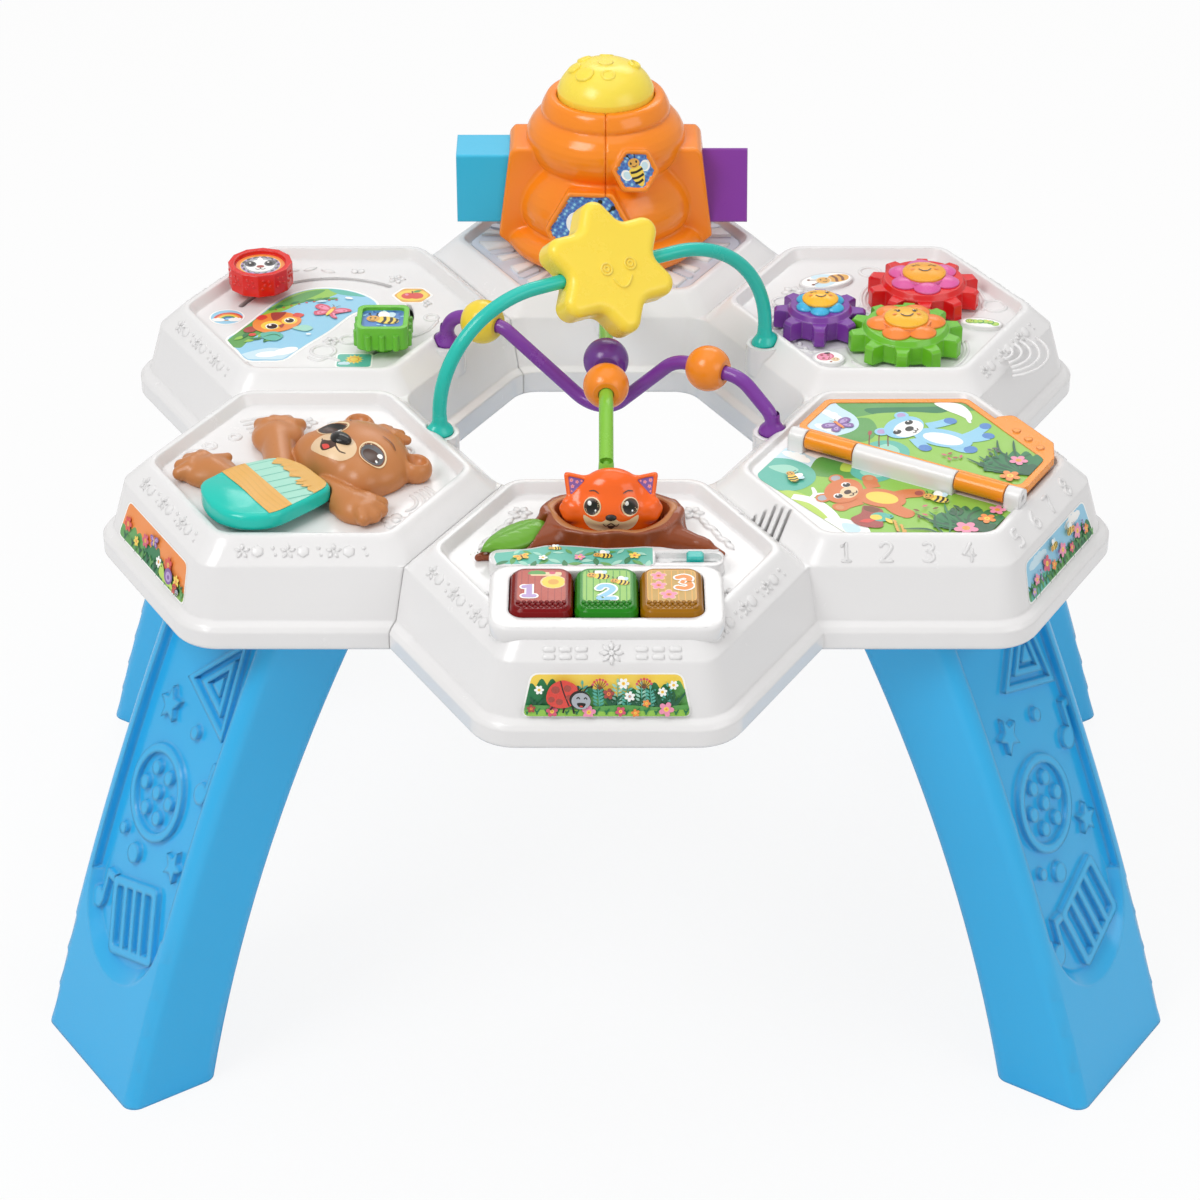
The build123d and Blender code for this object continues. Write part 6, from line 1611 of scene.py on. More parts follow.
def make_slider_panel():
    flat = ground_frame(0, 0, 329.0, 0)
    outer = spline([(-220.6, 60.0), (-216, 68.8), (-210.8, 78.8), (-206.2, 88.0), (-201.9, 97.0),
                    (-196.0, 108.0), (-188.7, 117.4), (-181.2, 123.0), (-172.9, 125.8), (-164.2, 126.0),
                    (-156.2, 124.0), (-149.4, 120.8), (-143.8, 116.6), (-138.6, 110.6), (-136.2, 104.0),
                    (-141.0, 98.2), (-146.4, 96.2), (-151.3, 91.6), (-156.8, 82.0), (-161.8, 72.5),
                    (-167.8, 63.6), (-173.8, 55.2), (-180.4, 44.8), (-186.8, 35.4), (-197, 34.6),
                    (-207.0, 35.4), (-213.4, 46.6)], 3)
    # the bent panel in convex slices, to clip its pictures by
    windows = [
        [(-221, 60), (-214, 46), (-206.5, 35.6), (-187.2, 35.6), (-180.4, 45.4), (-173.8, 55.8), (-201, 97.4),
         (-210.6, 79.2)],
        [(-201, 97.4), (-173.8, 55.8), (-167.8, 64.2), (-161.8, 73.2), (-156.8, 82.6), (-173.4, 125.4),
         (-181.2, 122.6), (-188.5, 117.0), (-195.6, 107.6)],
        [(-173.4, 125.4), (-156.8, 82.6), (-151.3, 92.2), (-146.4, 96.8), (-141, 98.8), (-136.8, 104),
         (-139, 110.4), (-144, 116.2), (-149.6, 120.4), (-156.4, 123.6), (-164.3, 125.6)],
    ]
    shapes = [
        (spline([(-222, 58), (-212, 77), (-202, 96), (-196, 88), (-200, 72), (-208, 60), (-213, 50)]),
         "leaf"),
        (spline([(-204, 92), (-196, 106), (-186, 119), (-172, 126), (-158, 124), (-166, 114), (-180, 108),
                 (-192, 96)]), "meadow"),
        (spline([(-200, 97), (-190, 112), (-178, 122), (-168, 124), (-176, 114), (-188, 104)]), "leaf"),
        (spline([(-166, 126), (-152, 123), (-142, 116), (-150, 116), (-160, 119)]), "teal"),
        (spline([(-214, 38), (-196, 50), (-178, 44), (-186, 36)]), "pale_sky"),
        (oval(-186, 46, 16, 8, 30), "white"), (oval(-196, 42, 14, 7, 10), "white"),
    ]
    for k in range(9):
        x, y = -198 + 4.4 * k, 100 + 2.9 * k - 0.12 * k * k * 1.4
        shapes.append((pointed(x, y, 7.0, 2.8, 30 + 18 * math.sin(k * 2.2)), "forest" if k % 2 else "leaf"))
        shapes.append((oval(x + 2.4, y - 1.6, 1.6, 1.4), "red" if k % 3 else "brick"))
    for k in range(7):
        shapes.append((pointed(-214 + 3.2 * k, 62 + 4.0 * math.sin(k * 2.0), 8.0, 3.2,
                               40 + 34 * math.sin(k * 1.7)),
                       "forest" if k % 2 else "meadow"))
    # small orange forest animal leaning out of the leaves
    shapes += [(oval(-208.5, 72.5, 9, 7, 40), "brick"), (oval(-206.8, 66.0, 4.4, 3.6, 20), "red"),
               (spline([(-207, 84), (-199, 93), (-188, 94), (-180, 87), (-181, 78), (-190, 70), (-201, 69),
                        (-207, 75)]), "orange"),
               (spline([(-203, 91), (-206.5, 87), (-203, 84), (-199.6, 88)]), "red"),
               (spline([(-183, 93.6), (-178.4, 91.6), (-180.4, 88), (-185.0, 90)]), "red"),
               (spline([(-198, 92.8), (-193, 94.4), (-189, 94), (-192.5, 86), (-196, 84)]), "brick"),
               (oval(-196.6, 77.6, 12.5, 11.0, 20), "yellow"), (oval(-186.4, 83.4, 9.4, 9.4, 20), "yellow"),
               (oval(-196.3, 76.4, 7.4, 7.4, 20), "white"), (oval(-196.1, 76.2, 6.2, 6.4, 20), "black"),
               (oval(-197.4, 77.8, 1.9, 2.0), "white"), (oval(-186.4, 83.8, 6.2, 6.4, 20), "white"),
               (oval(-186.3, 83.6, 5.0, 5.4, 20), "black"), (oval(-187.4, 85.0, 1.6, 1.7), "white"),
               (spline([(-192.4, 77.2), (-189.2, 79.2), (-190.2, 74.6)]), "brick"),
               (spline([(-202, 66.6), (-194, 69.6), (-188.6, 64.6), (-192, 58.2), (-199, 60)]), "teal"),
               (spline([(-184, 74), (-177, 78), (-172, 74), (-176, 70)]), "pale_teal"),
               (band([(-200, 63), (-194, 66), (-190, 63)], 1.0, 0.3), "forest")]
    shapes += put(butterfly_picture(), -163.0, 95.0, 0.98, -22)
    shapes += [(oval(-174, 66, 3, 2), "white"), (oval(-153, 112, 5, 2.6, -20), "white"),
               (oval(-169, 108, 6, 2.8, 10), "pale_sky")]
    label = Print("slider_panel_print", flat, "table", lift=0.12)
    label.lay(outer, "sky")
    for outline, colour in shapes:
        for window in windows:
            cut = clip_to(anticlockwise(outline), window)
            if len(cut) > 2:
                label.lay(cut, colour, rise=False)
        label.lift += label.step
    label.done()
    hem = Print("slider_panel_hem", flat, "table", lift=0.05)
    hem.lay(inset(anticlockwise(outer), -1.6), "white")
    hem.done()


def make_slider_badges():
    flat = ground_frame(0, 0, 329.0, 0)
    rainbow = Print("rainbow_badge_print", flat, "table")
    x, y = -223.8, 89.1
    rainbow.lay(oval(x, y, 21.0, 19.6, 0, 32), "white").lay(oval(x, y, 19.0, 17.6, 0, 32), "sky")
    rainbow.clip = oval(x, y, 18.8, 17.4, 0, 32)
    for r, colour in ((9.0, "red"), (7.6, "orange"), (6.2, "yellow"), (4.8, "leaf"), (3.4, "deep_blue"),
                      (2.0, "sky")):
        rainbow.lay([(x + 1.0 + r * math.cos(math.radians(a)), y - 3.2 + r * math.sin(math.radians(a)))
                     for a in range(-10, 200, 10)], colour)
    rainbow.lay(cloud(x + 5.4, y - 4.6, 8.4, 4.2, 3), "white").lay(cloud(x - 5.0, y - 4.8, 8.0, 3.8, 3),
                                                                   "white")
    rainbow.done()
    fruit = Print("fruit_badge_print", flat, "table")
    x, y = -115.5, 117.2
    fruit.lay([(x + p, y + q * 0.92) for p, q in rounded(hexagon(12.8), 2)], "white")
    fruit.lay([(x + p, y + q * 0.92) for p, q in rounded(hexagon(11.2), 2)], "ochre")
    fruit.clip = [(x + p, y + q * 0.92) for p, q in hexagon(11.0)]
    fruit.lay_all((
            (oval(x, y, 18.6, 14.4), "yellow"), (oval(x - 2.4, y - 0.6, 8.4, 8.0), "red"),
            (oval(x + 2.4, y - 0.6, 8.4, 8.0), "red"), (oval(x - 3.4, y + 1.0, 2.0, 2.6, 30), "pink"),
            (pointed(x + 2.6, y + 5.2, 6.0, 2.6, 24), "leaf"),
            (band([(x, y + 2.4), (x - 0.4, y + 5.6)], 0.9), "brown")))
    fruit.done()
    sun = Print("sun_badge_print", flat, "table")
    x, y = -145.4, 34.6
    sun.lay(box_outline(x, y, 21.6, 17.6, 3.0), "white").lay(box_outline(x, y, 19.6, 15.6, 2.4), "teal")
    sun.lay(spiky(x, y + 1.4, 5.6, 3.6, 12, 90, 0.5), "yellow").lay(oval(x, y + 1.4, 5.8, 5.8), "orange")
    sun.lay(oval(x, y + 1.4, 4.8, 4.8), "yellow")
    sun.lay(cloud(x - 5.6, y - 4.4, 7.0, 3.2, 3), "pale_sky")
    sun.done()


make_knob_prints()
make_knob_studs()
make_slider_panel()
make_slider_badges()


# ---------------------------------------- book: page print and base print
def book_flower(x, y, size, petal, heart="yellow", turn=0.0):
    return put(flower_picture(petal, heart, 5, turn), x, y, size)


def undergrowth(x, y):
    """Dark bush with long blades and small leaves, at the right of both pictures; up is along -u there."""
    art = [(put([(bush(0, 0, 40, 24, 6), "forest")], x, y, 1.0, 25)[0][0], "forest"),
           (put([(bush(0, 0, 30, 14, 5), "pine")], x + 1.0, y - 2.0, 1.0, 20)[0][0], "pine")]
    for k in range(9):
        a = 62 + 17 * k
        reach = 20 + 5 * math.sin(k * 2.1)
        end = (x - 8 + reach * math.cos(math.radians(a)), y + reach * math.sin(math.radians(a)) * 0.9)
        middle = (x - 6 + reach * 0.5 * math.cos(math.radians(a + 14)),
                  y + reach * 0.5 * math.sin(math.radians(a + 14)))
        art.append((band([(x - 2 + k * 0.4, y), middle, end], 1.5, 0.1), "pine" if k % 2 else "forest"))
    return art


def make_base_print():
    place = cell_frame(BOOK, BOOK_FLOOR)
    label = Print("book_base_print", place, "table", lift=0.08)
    edge = rounded([(-61.5, -13.5), (-61.5, -48.5), (-57.5, -52.5), (8, -80.0), (14, -80.2), (20, -79.2),
                    (71.0, -50.5), (74.5, -45), (74.5, -13.5)], 3.0)
    label.clip = hull_of(edge)
    label.lay([(-80, -90), (90, -90), (90, 0), (-80, 0)], "meadow")
    label.lay(spline([(-64, -10), (-30, -10), (-34, -24), (-42, -34), (-52, -46), (-66, -58)]), "pale_sky")
    label.lay(cloud(-52, -22, 18, 6, 4, -10), "white").lay(cloud(-44, -15, 14, 5, 3, -10), "white")
    label.lay(spline([(-40, -14), (-26, -12), (-8, -12), (-10, -22), (-22, -30), (-36, -34), (-40, -26)]),
              "leaf")
    label.lay(spline([(-26, -13), (-14, -13), (-16, -19), (-24, -22)]), "lime")
    label.lay(spline([(-18, -13), (2, -13), (0, -22), (-8, -26), (-18, -22)]), "teal")
    label.lay(spline([(-14, -16), (-2, -15), (-4, -19), (-12, -20)]), "pale_teal")
    label.lay(spline([(-66, -34), (-58, -26), (-46, -25), (-36, -30), (-31, -40), (-34, -52), (-44, -58),
                      (-56, -60), (-66, -52)]), "teal")
    label.lay(spline([(-60, -38), (-52, -31), (-44, -33), (-48, -40)]), "pale_teal")
    label.lay(spline([(-40, -56), (-26, -56), (-8, -66), (6, -82), (-24, -82), (-44, -70)]), "lime")
    # pale tree with bare branches and a big pale stone
    label.lay(band([(-34, -60), (-22, -59), (-8, -66), (4, -78)], 6.5, 0.8), "white")
    label.lay(band([(-25, -58.5), (-24.5, -52), (-29, -46)], 2.6, 0.4), "white")
    label.lay(band([(-24.6, -52), (-20, -48.5)], 2.0, 0.4), "white")
    label.lay(spline([(-8, -72), (2, -67), (14, -68), (20, -76), (12, -84), (-4, -84)]), "white")
    label.lay(spline([(2, -72), (10, -70), (14, -75), (8, -79)]), "pale_sky")
    # brown bear lying on the grass, its head towards the tree
    fur, shade = "russet", "tan"
    label.lay_all((
            (band([(0, -30), (-4, -26), (-6, -22)], 8.0), fur), (oval(-6.6, -22.5, 8, 8), fur),
            (oval(-6.8, -22, 4.4, 4.4), shade), (band([(0, -46), (-4, -52), (-6, -57)], 8.0), fur),
            (oval(-6.4, -57.5, 9, 8), fur), (oval(-6.6, -57.8, 4.8, 4.4), shade),
            (band([(14, -32), (18, -27), (22, -24)], 9.0), fur), (oval(23.0, -23.4, 8, 9), fur),
            (oval(23.6, -23.2, 4.6, 5), "brick"), (band([(16, -42), (22, -45), (27, -46)], 9.0), fur),
            (oval(27.6, -46, 8, 9), fur), (oval(8, -38, 28, 19, 8), fur),
            (oval(8.6, -37.6, 18, 12, 8), "yellow"), (oval(-22.0, -31.5, 8, 9), fur),
            (oval(-22.4, -31.3, 5, 6), "grey"), (oval(-18.6, -53.6, 8, 9), fur),
            (oval(-19.0, -53.8, 5, 6), "grey"), (oval(-12.6, -41.4, 20, 27, 8), fur),
            (oval(-9.4, -41.2, 9.5, 13.4, 8), "sand"), (oval(-14.4, -35.0, 5.0, 5.6), "white"),
            (oval(-14.0, -35.0, 4.0, 4.6), "black"), (oval(-12.6, -47.8, 5.0, 5.6), "white"),
            (oval(-12.2, -47.8, 4.0, 4.6), "black"), (oval(-15.0, -34.2, 1.2, 1.4), "white"),
            (oval(-13.2, -47.0, 1.2, 1.4), "white"), (oval(-10.0, -41.6, 3.6, 5.0), "dark_brown"),
            (band([(-8.4, -41.4), (-6.6, -41.2)], 0.6), "dark_brown"),
            (band([(-7.4, -44.4), (-6.0, -42.8), (-6.8, -41.2), (-5.6, -39.6), (-6.6, -38.0)], 0.7),
             "dark_brown")))
    # tree stump with a bird
    label.lay(spline([(4, -50), (14, -49), (19, -58), (22, -66), (12, -70), (4, -66), (6, -58)]), "brick")
    label.lay(spline([(5, -50), (13, -49.4), (12, -54), (6, -54)]), "brown")
    label.lay(oval(17, -56.4, 11, 9.5, 20), "teal").lay(oval(15.0, -58.0, 6.5, 5.5, 20), "yellow")
    label.lay(oval(20.4, -53.4, 5, 4.4), "teal").lay(oval(21.4, -53.0, 1, 1.2), "black")
    label.lay(pointed(12.6, -63.6, 9, 4, 40), "red").lay(pointed(22.6, -57.8, 7, 3, -30), "yellow")
    # reeds, bees and flowers
    for u, v, turn in ((32, -62, 140), (36, -66, 130), (27, -60, 150)):
        label.lay(band([(u + 8, v - 10), (u + 3, v - 4), (u, v + 2)], 0.7), "brown")
        for k in range(5):
            label.lay_all(put([(oval(0, 0, 3.0, 1.6), "ochre")], u - 1.5 + k * 1.4, v + 3 - k * 1.9, 1.0,
                              turn))
    label.lay_all((undergrowth(64, -44)
                   + [(band([(54, -58), (44, -56), (33, -62)], 1.5, 0.1), "pine"),
                      (band([(54, -56), (46, -50), (41, -40)], 1.5, 0.1), "pine"),
                      (band([(56, -54), (52, -44), (45, -36)], 1.5, 0.1), "forest")]
                   + [(pointed(50 + 3.0 * math.cos(k * 2.4), -26 - 2.6 * k * 0.5, 5.0, 2.2,
                               130 + 40 * math.sin(k)), "pine")
                      for k in range(8)]
                   + book_flower(61.5, -45.0, 1.35, "pink", "ochre", 10)
                   + book_flower(67.0, -30.5, 1.0, "orange", "yellow")
                   + book_flower(68.0, -19.5, 0.95, "pink", "ochre", 30)
                   + put(bee_picture(), 35.0, -25.0, 1.05, 8) + put(bee_picture(), -42.5, -43.5, 0.85, -40)
                   + [(pointed(31 + 2 * k, -42 + 7 * math.sin(k * 2.0), 4.0, 1.7, 60 * k), "rose" if k % 2
                       else "brown")
                      for k in range(5)]))
    label.done()


def make_page_print():
    place = cell_frame(BOOK, PAGE_TOP)
    label = Print("book_page_print", place, "book_page", lift=0.06)
    edge = rounded([(-56, -3.0), (73, -3.0), (73, 29.5), (8, 66.9), (-56, 29.3)], 3.5)
    label.lay(edge, "meadow")
    label.clip = hull_of(edge)
    label.lay(spline([(-60, 34), (-20, 52), (8, 70), (20, 64), (-4, 50), (-26, 34), (-40, 20), (-52, 26)]),
              "leaf")
    label.lay(spline([(-36, 34), (-8, 52), (6, 62), (2, 50), (-14, 42), (-28, 30)]), "forest")
    label.lay(spline([(-30, 30), (-12, 42), (-10, 36), (-22, 26)]), "meadow")
    label.lay(spline([(-34, -6), (-20, 0), (-20, 14), (-30, 24), (-40, 16), (-40, 2)]), "leaf")
    label.lay(spline([(-60, 30), (-60, -6), (-42, -6), (-33, 3), (-31, 13), (-37, 22), (-48, 27)]),
              "pale_sky")
    label.lay(cloud(-50, 16, 16, 5, 3, -20), "white").lay(cloud(-46, 1, 14, 5, 3, -10), "white")
    label.lay(spline([(-16, -6), (6, -6), (4, 4), (-6, 8), (-15, 3)]), "teal")
    label.lay(spline([(-11, -4), (1, -3), (-2, 2), (-9, 3)]), "pale_teal")
    for u, v in ((-21, -1), (-17, 3), (-13, 6)):
        label.lay(band([(u + 6, v - 5), (u + 2, v + 3), (u - 1, v + 10)], 0.7), "brown")
        label.lay(oval(u - 1.2, v + 10.5, 5.2, 2.2, 110), "brick")
    # white leaf-like goose at the rear corner
    label.lay(spline([(-6, 58), (6, 64), (16, 58), (20, 50), (12, 52), (2, 54)]), "white")
    label.lay(band([(14, 55), (21, 47)], 2.2, 0.5), "white")
    # pale blue animal lying on the grass, its head towards the sky
    fur, paw = "sky", "blue"
    label.lay_all((
            (band([(24, 30), (28, 38), (30, 47)], 6.5, 0.8), fur), (oval(29.6, 48, 6.5, 7), paw),
            (band([(24, 28), (31, 33), (35, 38)], 8.0), fur), (oval(35.6, 38.8, 7, 6.5), paw),
            (band([(24, 20), (29, 19), (33, 20)], 8.5), fur), (oval(33.6, 20, 7.5, 8), paw),
            (band([(2, 32), (7, 38), (10, 43)], 7.0), fur), (oval(10.4, 43.6, 7.4, 7), paw),
            (band([(2, 16), (7, 12), (11, 9.4)], 7.0), fur), (oval(11.4, 9.2, 7.4, 7), paw),
            (oval(15, 24, 34, 19, 6), fur), (oval(15.6, 23.2, 23, 12, 6), "white"),
            (oval(-15.6, 35.5, 8.0, 8.6), fur), (oval(-15.8, 35.6, 4.8, 5.4), "lilac"),
            (oval(-17.0, 13.6, 8.0, 8.6), fur), (oval(-17.2, 13.6, 4.8, 5.4), "lilac"),
            (oval(-8.6, 24.2, 20, 27, -5), fur), (oval(-5.8, 24.0, 14.5, 21, -5), "white"),
            (oval(-8.6, 30.4, 4.2, 5.6, -5), "black"), (oval(-9.4, 17.4, 4.2, 5.6, -5), "black"),
            (oval(-9.6, 31.4, 1.2, 1.5), "white"), (oval(-10.4, 18.4, 1.2, 1.5), "white"),
            (oval(-5.2, 24.0, 4.4, 6.0), "black"), (band([(-3.0, 24.0), (-1.2, 23.8)], 0.6), "dark_brown"),
            (band([(-1.8, 26.6), (-0.6, 25.2), (-1.2, 23.8), (-0.4, 22.2), (-1.6, 20.8)], 0.7),
             "dark_brown")))
    label.lay_all((
            put(butterfly_picture("purple", "lilac", "orange"), -40.5, 8.5, 0.78, 62)
            + undergrowth(68, 10)
            + [(band([(58, 20), (48, 26), (42, 36)], 1.4, 0.1), "pine"),
               (band([(60, 22), (54, 32), (50, 40)], 1.4, 0.1), "pine")]
            + [(pointed(47 + 2.6 * math.cos(k * 2.1), 4 + 2.3 * k, 4.8, 2.2, 120 + 50 * math.sin(k * 1.3)),
                "pine") for k in range(8)]
            + [(oval(43 + 1.5 * k, 24 + 3.0 * math.sin(k), 2.6, 1.5, 50 * k), "eye_grey") for k in range(4)]
            + book_flower(61.5, 21.0, 1.05, "pink", "ochre", 15)
            + book_flower(64.5, 3.4, 1.15, "orange", "yellow")
            + [(pointed(24 + 2.2 * k, 6.5 + 3.2 * math.sin(k * 2.1), 3.8, 1.6, 70 * k), "brick" if k % 2
                else "rose") for k in range(5)]))
    label.done()


make_base_print()
make_page_print()


# ---------------------------------------- wall labels, name strip and key tops
def wall_label(name, place, sky, layers):
    """Trapezoid label with a white hem; layers are laid inside it in order."""
    outer = rounded([(-43.4, -14.0), (43.4, -14.0), (38.4, 9.4), (-38.4, 9.4)], 4.5)
    hem = Print(name + "_hem", place, "table", lift=0.1)
    hem.lay(outer, "white")
    hem.done()
    label = Print(name + "_print", place, "table", lift=0.14)
    label.clip = hull_of(rounded([(-42.3, -13.1), (42.3, -13.1), (37.6, 8.5), (-37.6, 8.5)], 3.6))
    label.lay([(-45, -15), (45, -15), (45, 12), (-45, 12)], sky)
    label.lay_all(layers)
    label.done()


def make_front_label():
    art = [(bush(-30, -13, 34, 19.6, 6), "forest"), (bush(-6, -13, 34, 15.6, 6), "forest"),
           (bush(24, -13, 40, 17.4, 7), "forest"), (bush(36, -13, 18, 18.4, 3), "leaf"),
           (bush(-12, -13, 26, 12.4, 6), "leaf")]
    for x, height in ((-12, 15), (-4, 13), (5, 16), (10, 14), (17, 15), (22, 13), (30, 14)):
        art += sprig(x, -12, height, "teal", "pale_teal" if int(x) % 2 else "teal", 2 * math.sin(x), 5)
    for x, y, height in ((-36, -12, 10), (-20, -12, 16), (2, -12, 12), (14, -12, 11), (27, -12, 14),
                         (34, -12, 16)):
        art += grass(x, y, height, "pine", 5, 60, 1.2)
    art += [(spline([(-44, -8.2), (-30, -7.4), (-12, -8.4), (8, -7.2), (26, -8.2), (44, -7.4), (44, -16),
                     (-44, -16)]), "leaf"),
            (spline([(-44, -10.6), (-20, -9.6), (4, -10.8), (30, -9.8), (44, -10.4), (44, -16), (-44, -16)]),
             "meadow")]
    for x in range(-40, 42, 5):
        art += grass(x, -12.2, 3.4 + 0.8 * math.sin(x), "forest", 3, 50, 0.8)
    for x, y, size, petal, heart in ((-38.0, -9.0, 0.45, "brick", "orange"),
                                     (-27.5, -10.4, 0.62, "rose", "yellow"),
                                     (-9.0, -10.8, 0.72, "pink", "yellow"),
                                     (7.0, -10.4, 0.55, "rose", "yellow"),
                                     (14.5, -11.2, 0.45, "orange", "yellow"),
                                     (30.0, -9.2, 0.8, "pink", "yellow"),
                                     (-34.0, 1.0, 0.5, "white", "yellow"), (8.4, 4.4, 0.6, "white", "yellow"),
                                     (11.6, -2.4, 0.56, "white", "grey"), (28.0, 0.0, 0.5, "white", "yellow"),
                                     (33.6, 3.6, 0.5, "white", "yellow"), (1.0, -1.0, 0.6, "brick", "orange"),
                                     (20.0, -6.0, 0.42, "orange", "yellow")):
        art += put(flower_picture(petal, heart, 6 if petal == "white" else 5, x * 7), x, y, size)
    for cx, cy in ((-3.4, 4.6), (18.8, 5.0)):
        for k in range(7):
            a = math.radians(20 + 23.5 * k)
            art.append((band([(cx, cy - 3.2), (cx + 3.6 * math.cos(a), cy - 2 + 3.6 * math.sin(a))], 0.4),
                        "brown"))
            art.append((oval(cx + 3.8 * math.cos(a), cy - 1.8 + 3.8 * math.sin(a), 1.4, 1.4, 0, 10), "red"
                        if k % 2 else "rose"))
    art += put(ladybird_picture(), -19.5, -1.8, 0.98, -6)
    wall_label("front_wall", wall_frame(FRONT), "yellow", art)


def make_side_labels():
    art = [(cloud(-24, 3, 22, 5, 4), "pale_sky"), (cloud(22, 4, 20, 5, 4), "white"),
           (bush(-26, -14, 34, 11, 6), "teal"), (bush(4, -14, 40, 9, 6), "leaf"),
           (bush(32, -14, 30, 13, 5), "forest")]
    for x in range(-40, 42, 4):
        art += grass(x, -12.4, 8 + 2.6 * math.sin(x * 1.7), "forest" if x % 8 else "leaf", 4, 55, 1.1)
    for x, y, size, petal in ((-31, -4.0, 0.66, "pink"), (-17, -1.6, 0.95, "rose"),
                              (-9.6, -6.0, 0.6, "orange"), (3, -3.2, 0.85, "pink"),
                              (13.4, -7.0, 0.62, "rose"), (23, -1.8, 0.9, "pink"), (33, -5.4, 0.62, "orange"),
                              (-37, -8.4, 0.5, "lilac")):
        art += [(band([(x, y), (x + 0.6, y - 5), (x, -13)], 0.6), "forest")] + put(flower_picture(petal,
                                                                                                  "yellow", 5,
                                                                                                  x * 9), x,
                                                                                   y, size)
    for x, y in ((-26, -1), (-3, -1.5), (30, 1)):
        art += [(oval(x + 0.5 * math.sin(k * 2), y - 1.6 * k, 1.8, 1.3), "lilac" if k % 2 else "purple")
                for k in range(5)]
    art += put(bee_picture(), -6.0, 3.2, 0.62, 6) + put(bee_picture(), 14.5, 2.4, 0.7, -10, True)
    wall_label("right_wall", wall_frame(BOOK), "sky", art)
    art = [(bush(-22, -14, 44, 13, 6), "leaf"), (bush(22, -14, 46, 10, 6), "meadow"),
           (bush(2, -14, 26, 16, 4), "forest")]
    for x in range(-40, 42, 5):
        art += grass(x, -12.4, 7 + 2.4 * math.sin(x * 1.3), "pine" if x % 10 else "leaf", 4, 55, 1.1)
    for x, y, size, petal in ((-33, -2.6, 0.9, "red"), (-20, -6.6, 0.6, "yellow"), (-10, -1.4, 0.8, "rose"),
                              (9, -4.6, 0.66, "white"), (20, -1.0, 0.9, "red"), (32, -4.8, 0.7, "yellow")):
        art += [(band([(x, y), (x + 0.5, y - 5), (x, -13)], 0.6), "forest")] + put(flower_picture(petal,
                                                                                                  "ochre", 6,
                                                                                                  x * 5), x,
                                                                                   y, size)
    art += put(butterfly_picture("purple", "lilac", "yellow"), 0.0, 3.0, 0.42, 12) + put(ladybird_picture(),
                                                                                         33.0, -9.0, 0.36, 4)
    art += [(spline([(13, -9.6), (19, -10.6), (30, -10.4), (28, -8.0), (20, -7.6), (16.5, -4.0), (13.6, -2.8),
                     (12.4, -5.6)]), "lime"),
            (oval(23.4, -6.0, 9.6, 8.6), "purple"), (oval(23.6, -6.2, 6.2, 5.4), "lilac"),
            (oval(23.8, -6.4, 2.8, 2.4), "purple"), (oval(14.0, -4.6, 0.9, 1.1), "black"),
            (band([(13.4, -3.0), (12.4, -0.8)], 0.5), "forest"),
            (band([(15.0, -3.0), (15.6, -0.8)], 0.5), "forest")]
    wall_label("left_wall", wall_frame(BEAR), "orange", art)


def make_name_strip():
    """Strip behind the keys: a wavy raised bank, a woodland print and the recess of the switch."""
    lower = [(58.5, -189.4), (52, -190.6), (44, -190.8), (36, -189.4), (28.4, -187.2), (20, -186.6),
             (10, -187.6), (0, -188.4), (-8, -187.2), (-16, -185.9), (-24, -185.0), (-32, -185.6),
             (-39, -188.2), (-47, -190.2), (-54, -191.0), (-59, -192.2)]
    rise = [(p, min(q, -185.2)) for p, q in lower]
    bank = rise + [(-60.4, -197), (-58.6, -204.4), (-52, -205.6), (24.6, -205.6), (25.4, -203.0),
                   (25.4, -192.2), (58.5, -192.0)]
    flat = ground_frame(0, 0, 336.9, 0)
    relief("name_strip_bank", flat, [(bank, 0.55)], "table", "deck_white", edge=0.4,
           sink=1.4)
    label = Print("name_strip_print", ground_frame(0, 0, 337.45, 0), "table", lift=0.05)
    outer = [(24.0, -188.6)] + [(p, q - 1.5) for p, q in lower[5:14]] + [(-57.6, -193.6), (-58.4, -197.5),
                                                                         (-57.0, -203.4),
                                                                        (-52, -204.6), (24.0, -204.6)]
    label.lay(outer, "teal")
    for k in range(15):
        x = -54 + 5.4 * k
        y = -203.2 + 2.0 * math.sin(k * 1.7)
        label.lay(pointed(x, y, 8.0, 3.0, 30 + 70 * math.sin(k * 2.3)), "forest" if k % 3 == 0 else "leaf"
                  if k % 3 == 1 else "pale_teal")
        if -50 < x < 18:
            label.lay(pointed(x + 2, -193.6 + 1.2 * math.sin(k * 1.3), 6.4, 2.2, 60 * math.sin(k * 1.9)),
                      "pale_teal" if k % 2 else "leaf")
    label.lay_all((put(bee_picture(), -26.5, -189.4, 0.5, 6) + put(bee_picture(), -1.5, -197.0, 0.72, -4)
                   + put(butterfly_picture("yellow", "orange", "brown"), -44.0, -198.4, 0.36, 20)
                   + put(flower_picture("pink", "yellow"), -14.0, -198.8, 0.6)
                   + put(flower_picture("yellow", "orange"), 14.6, -197.4, 0.62, 12)
                   + put(flower_picture("white", "yellow"), -33.0, -199.6, 0.5)))
    label.done()


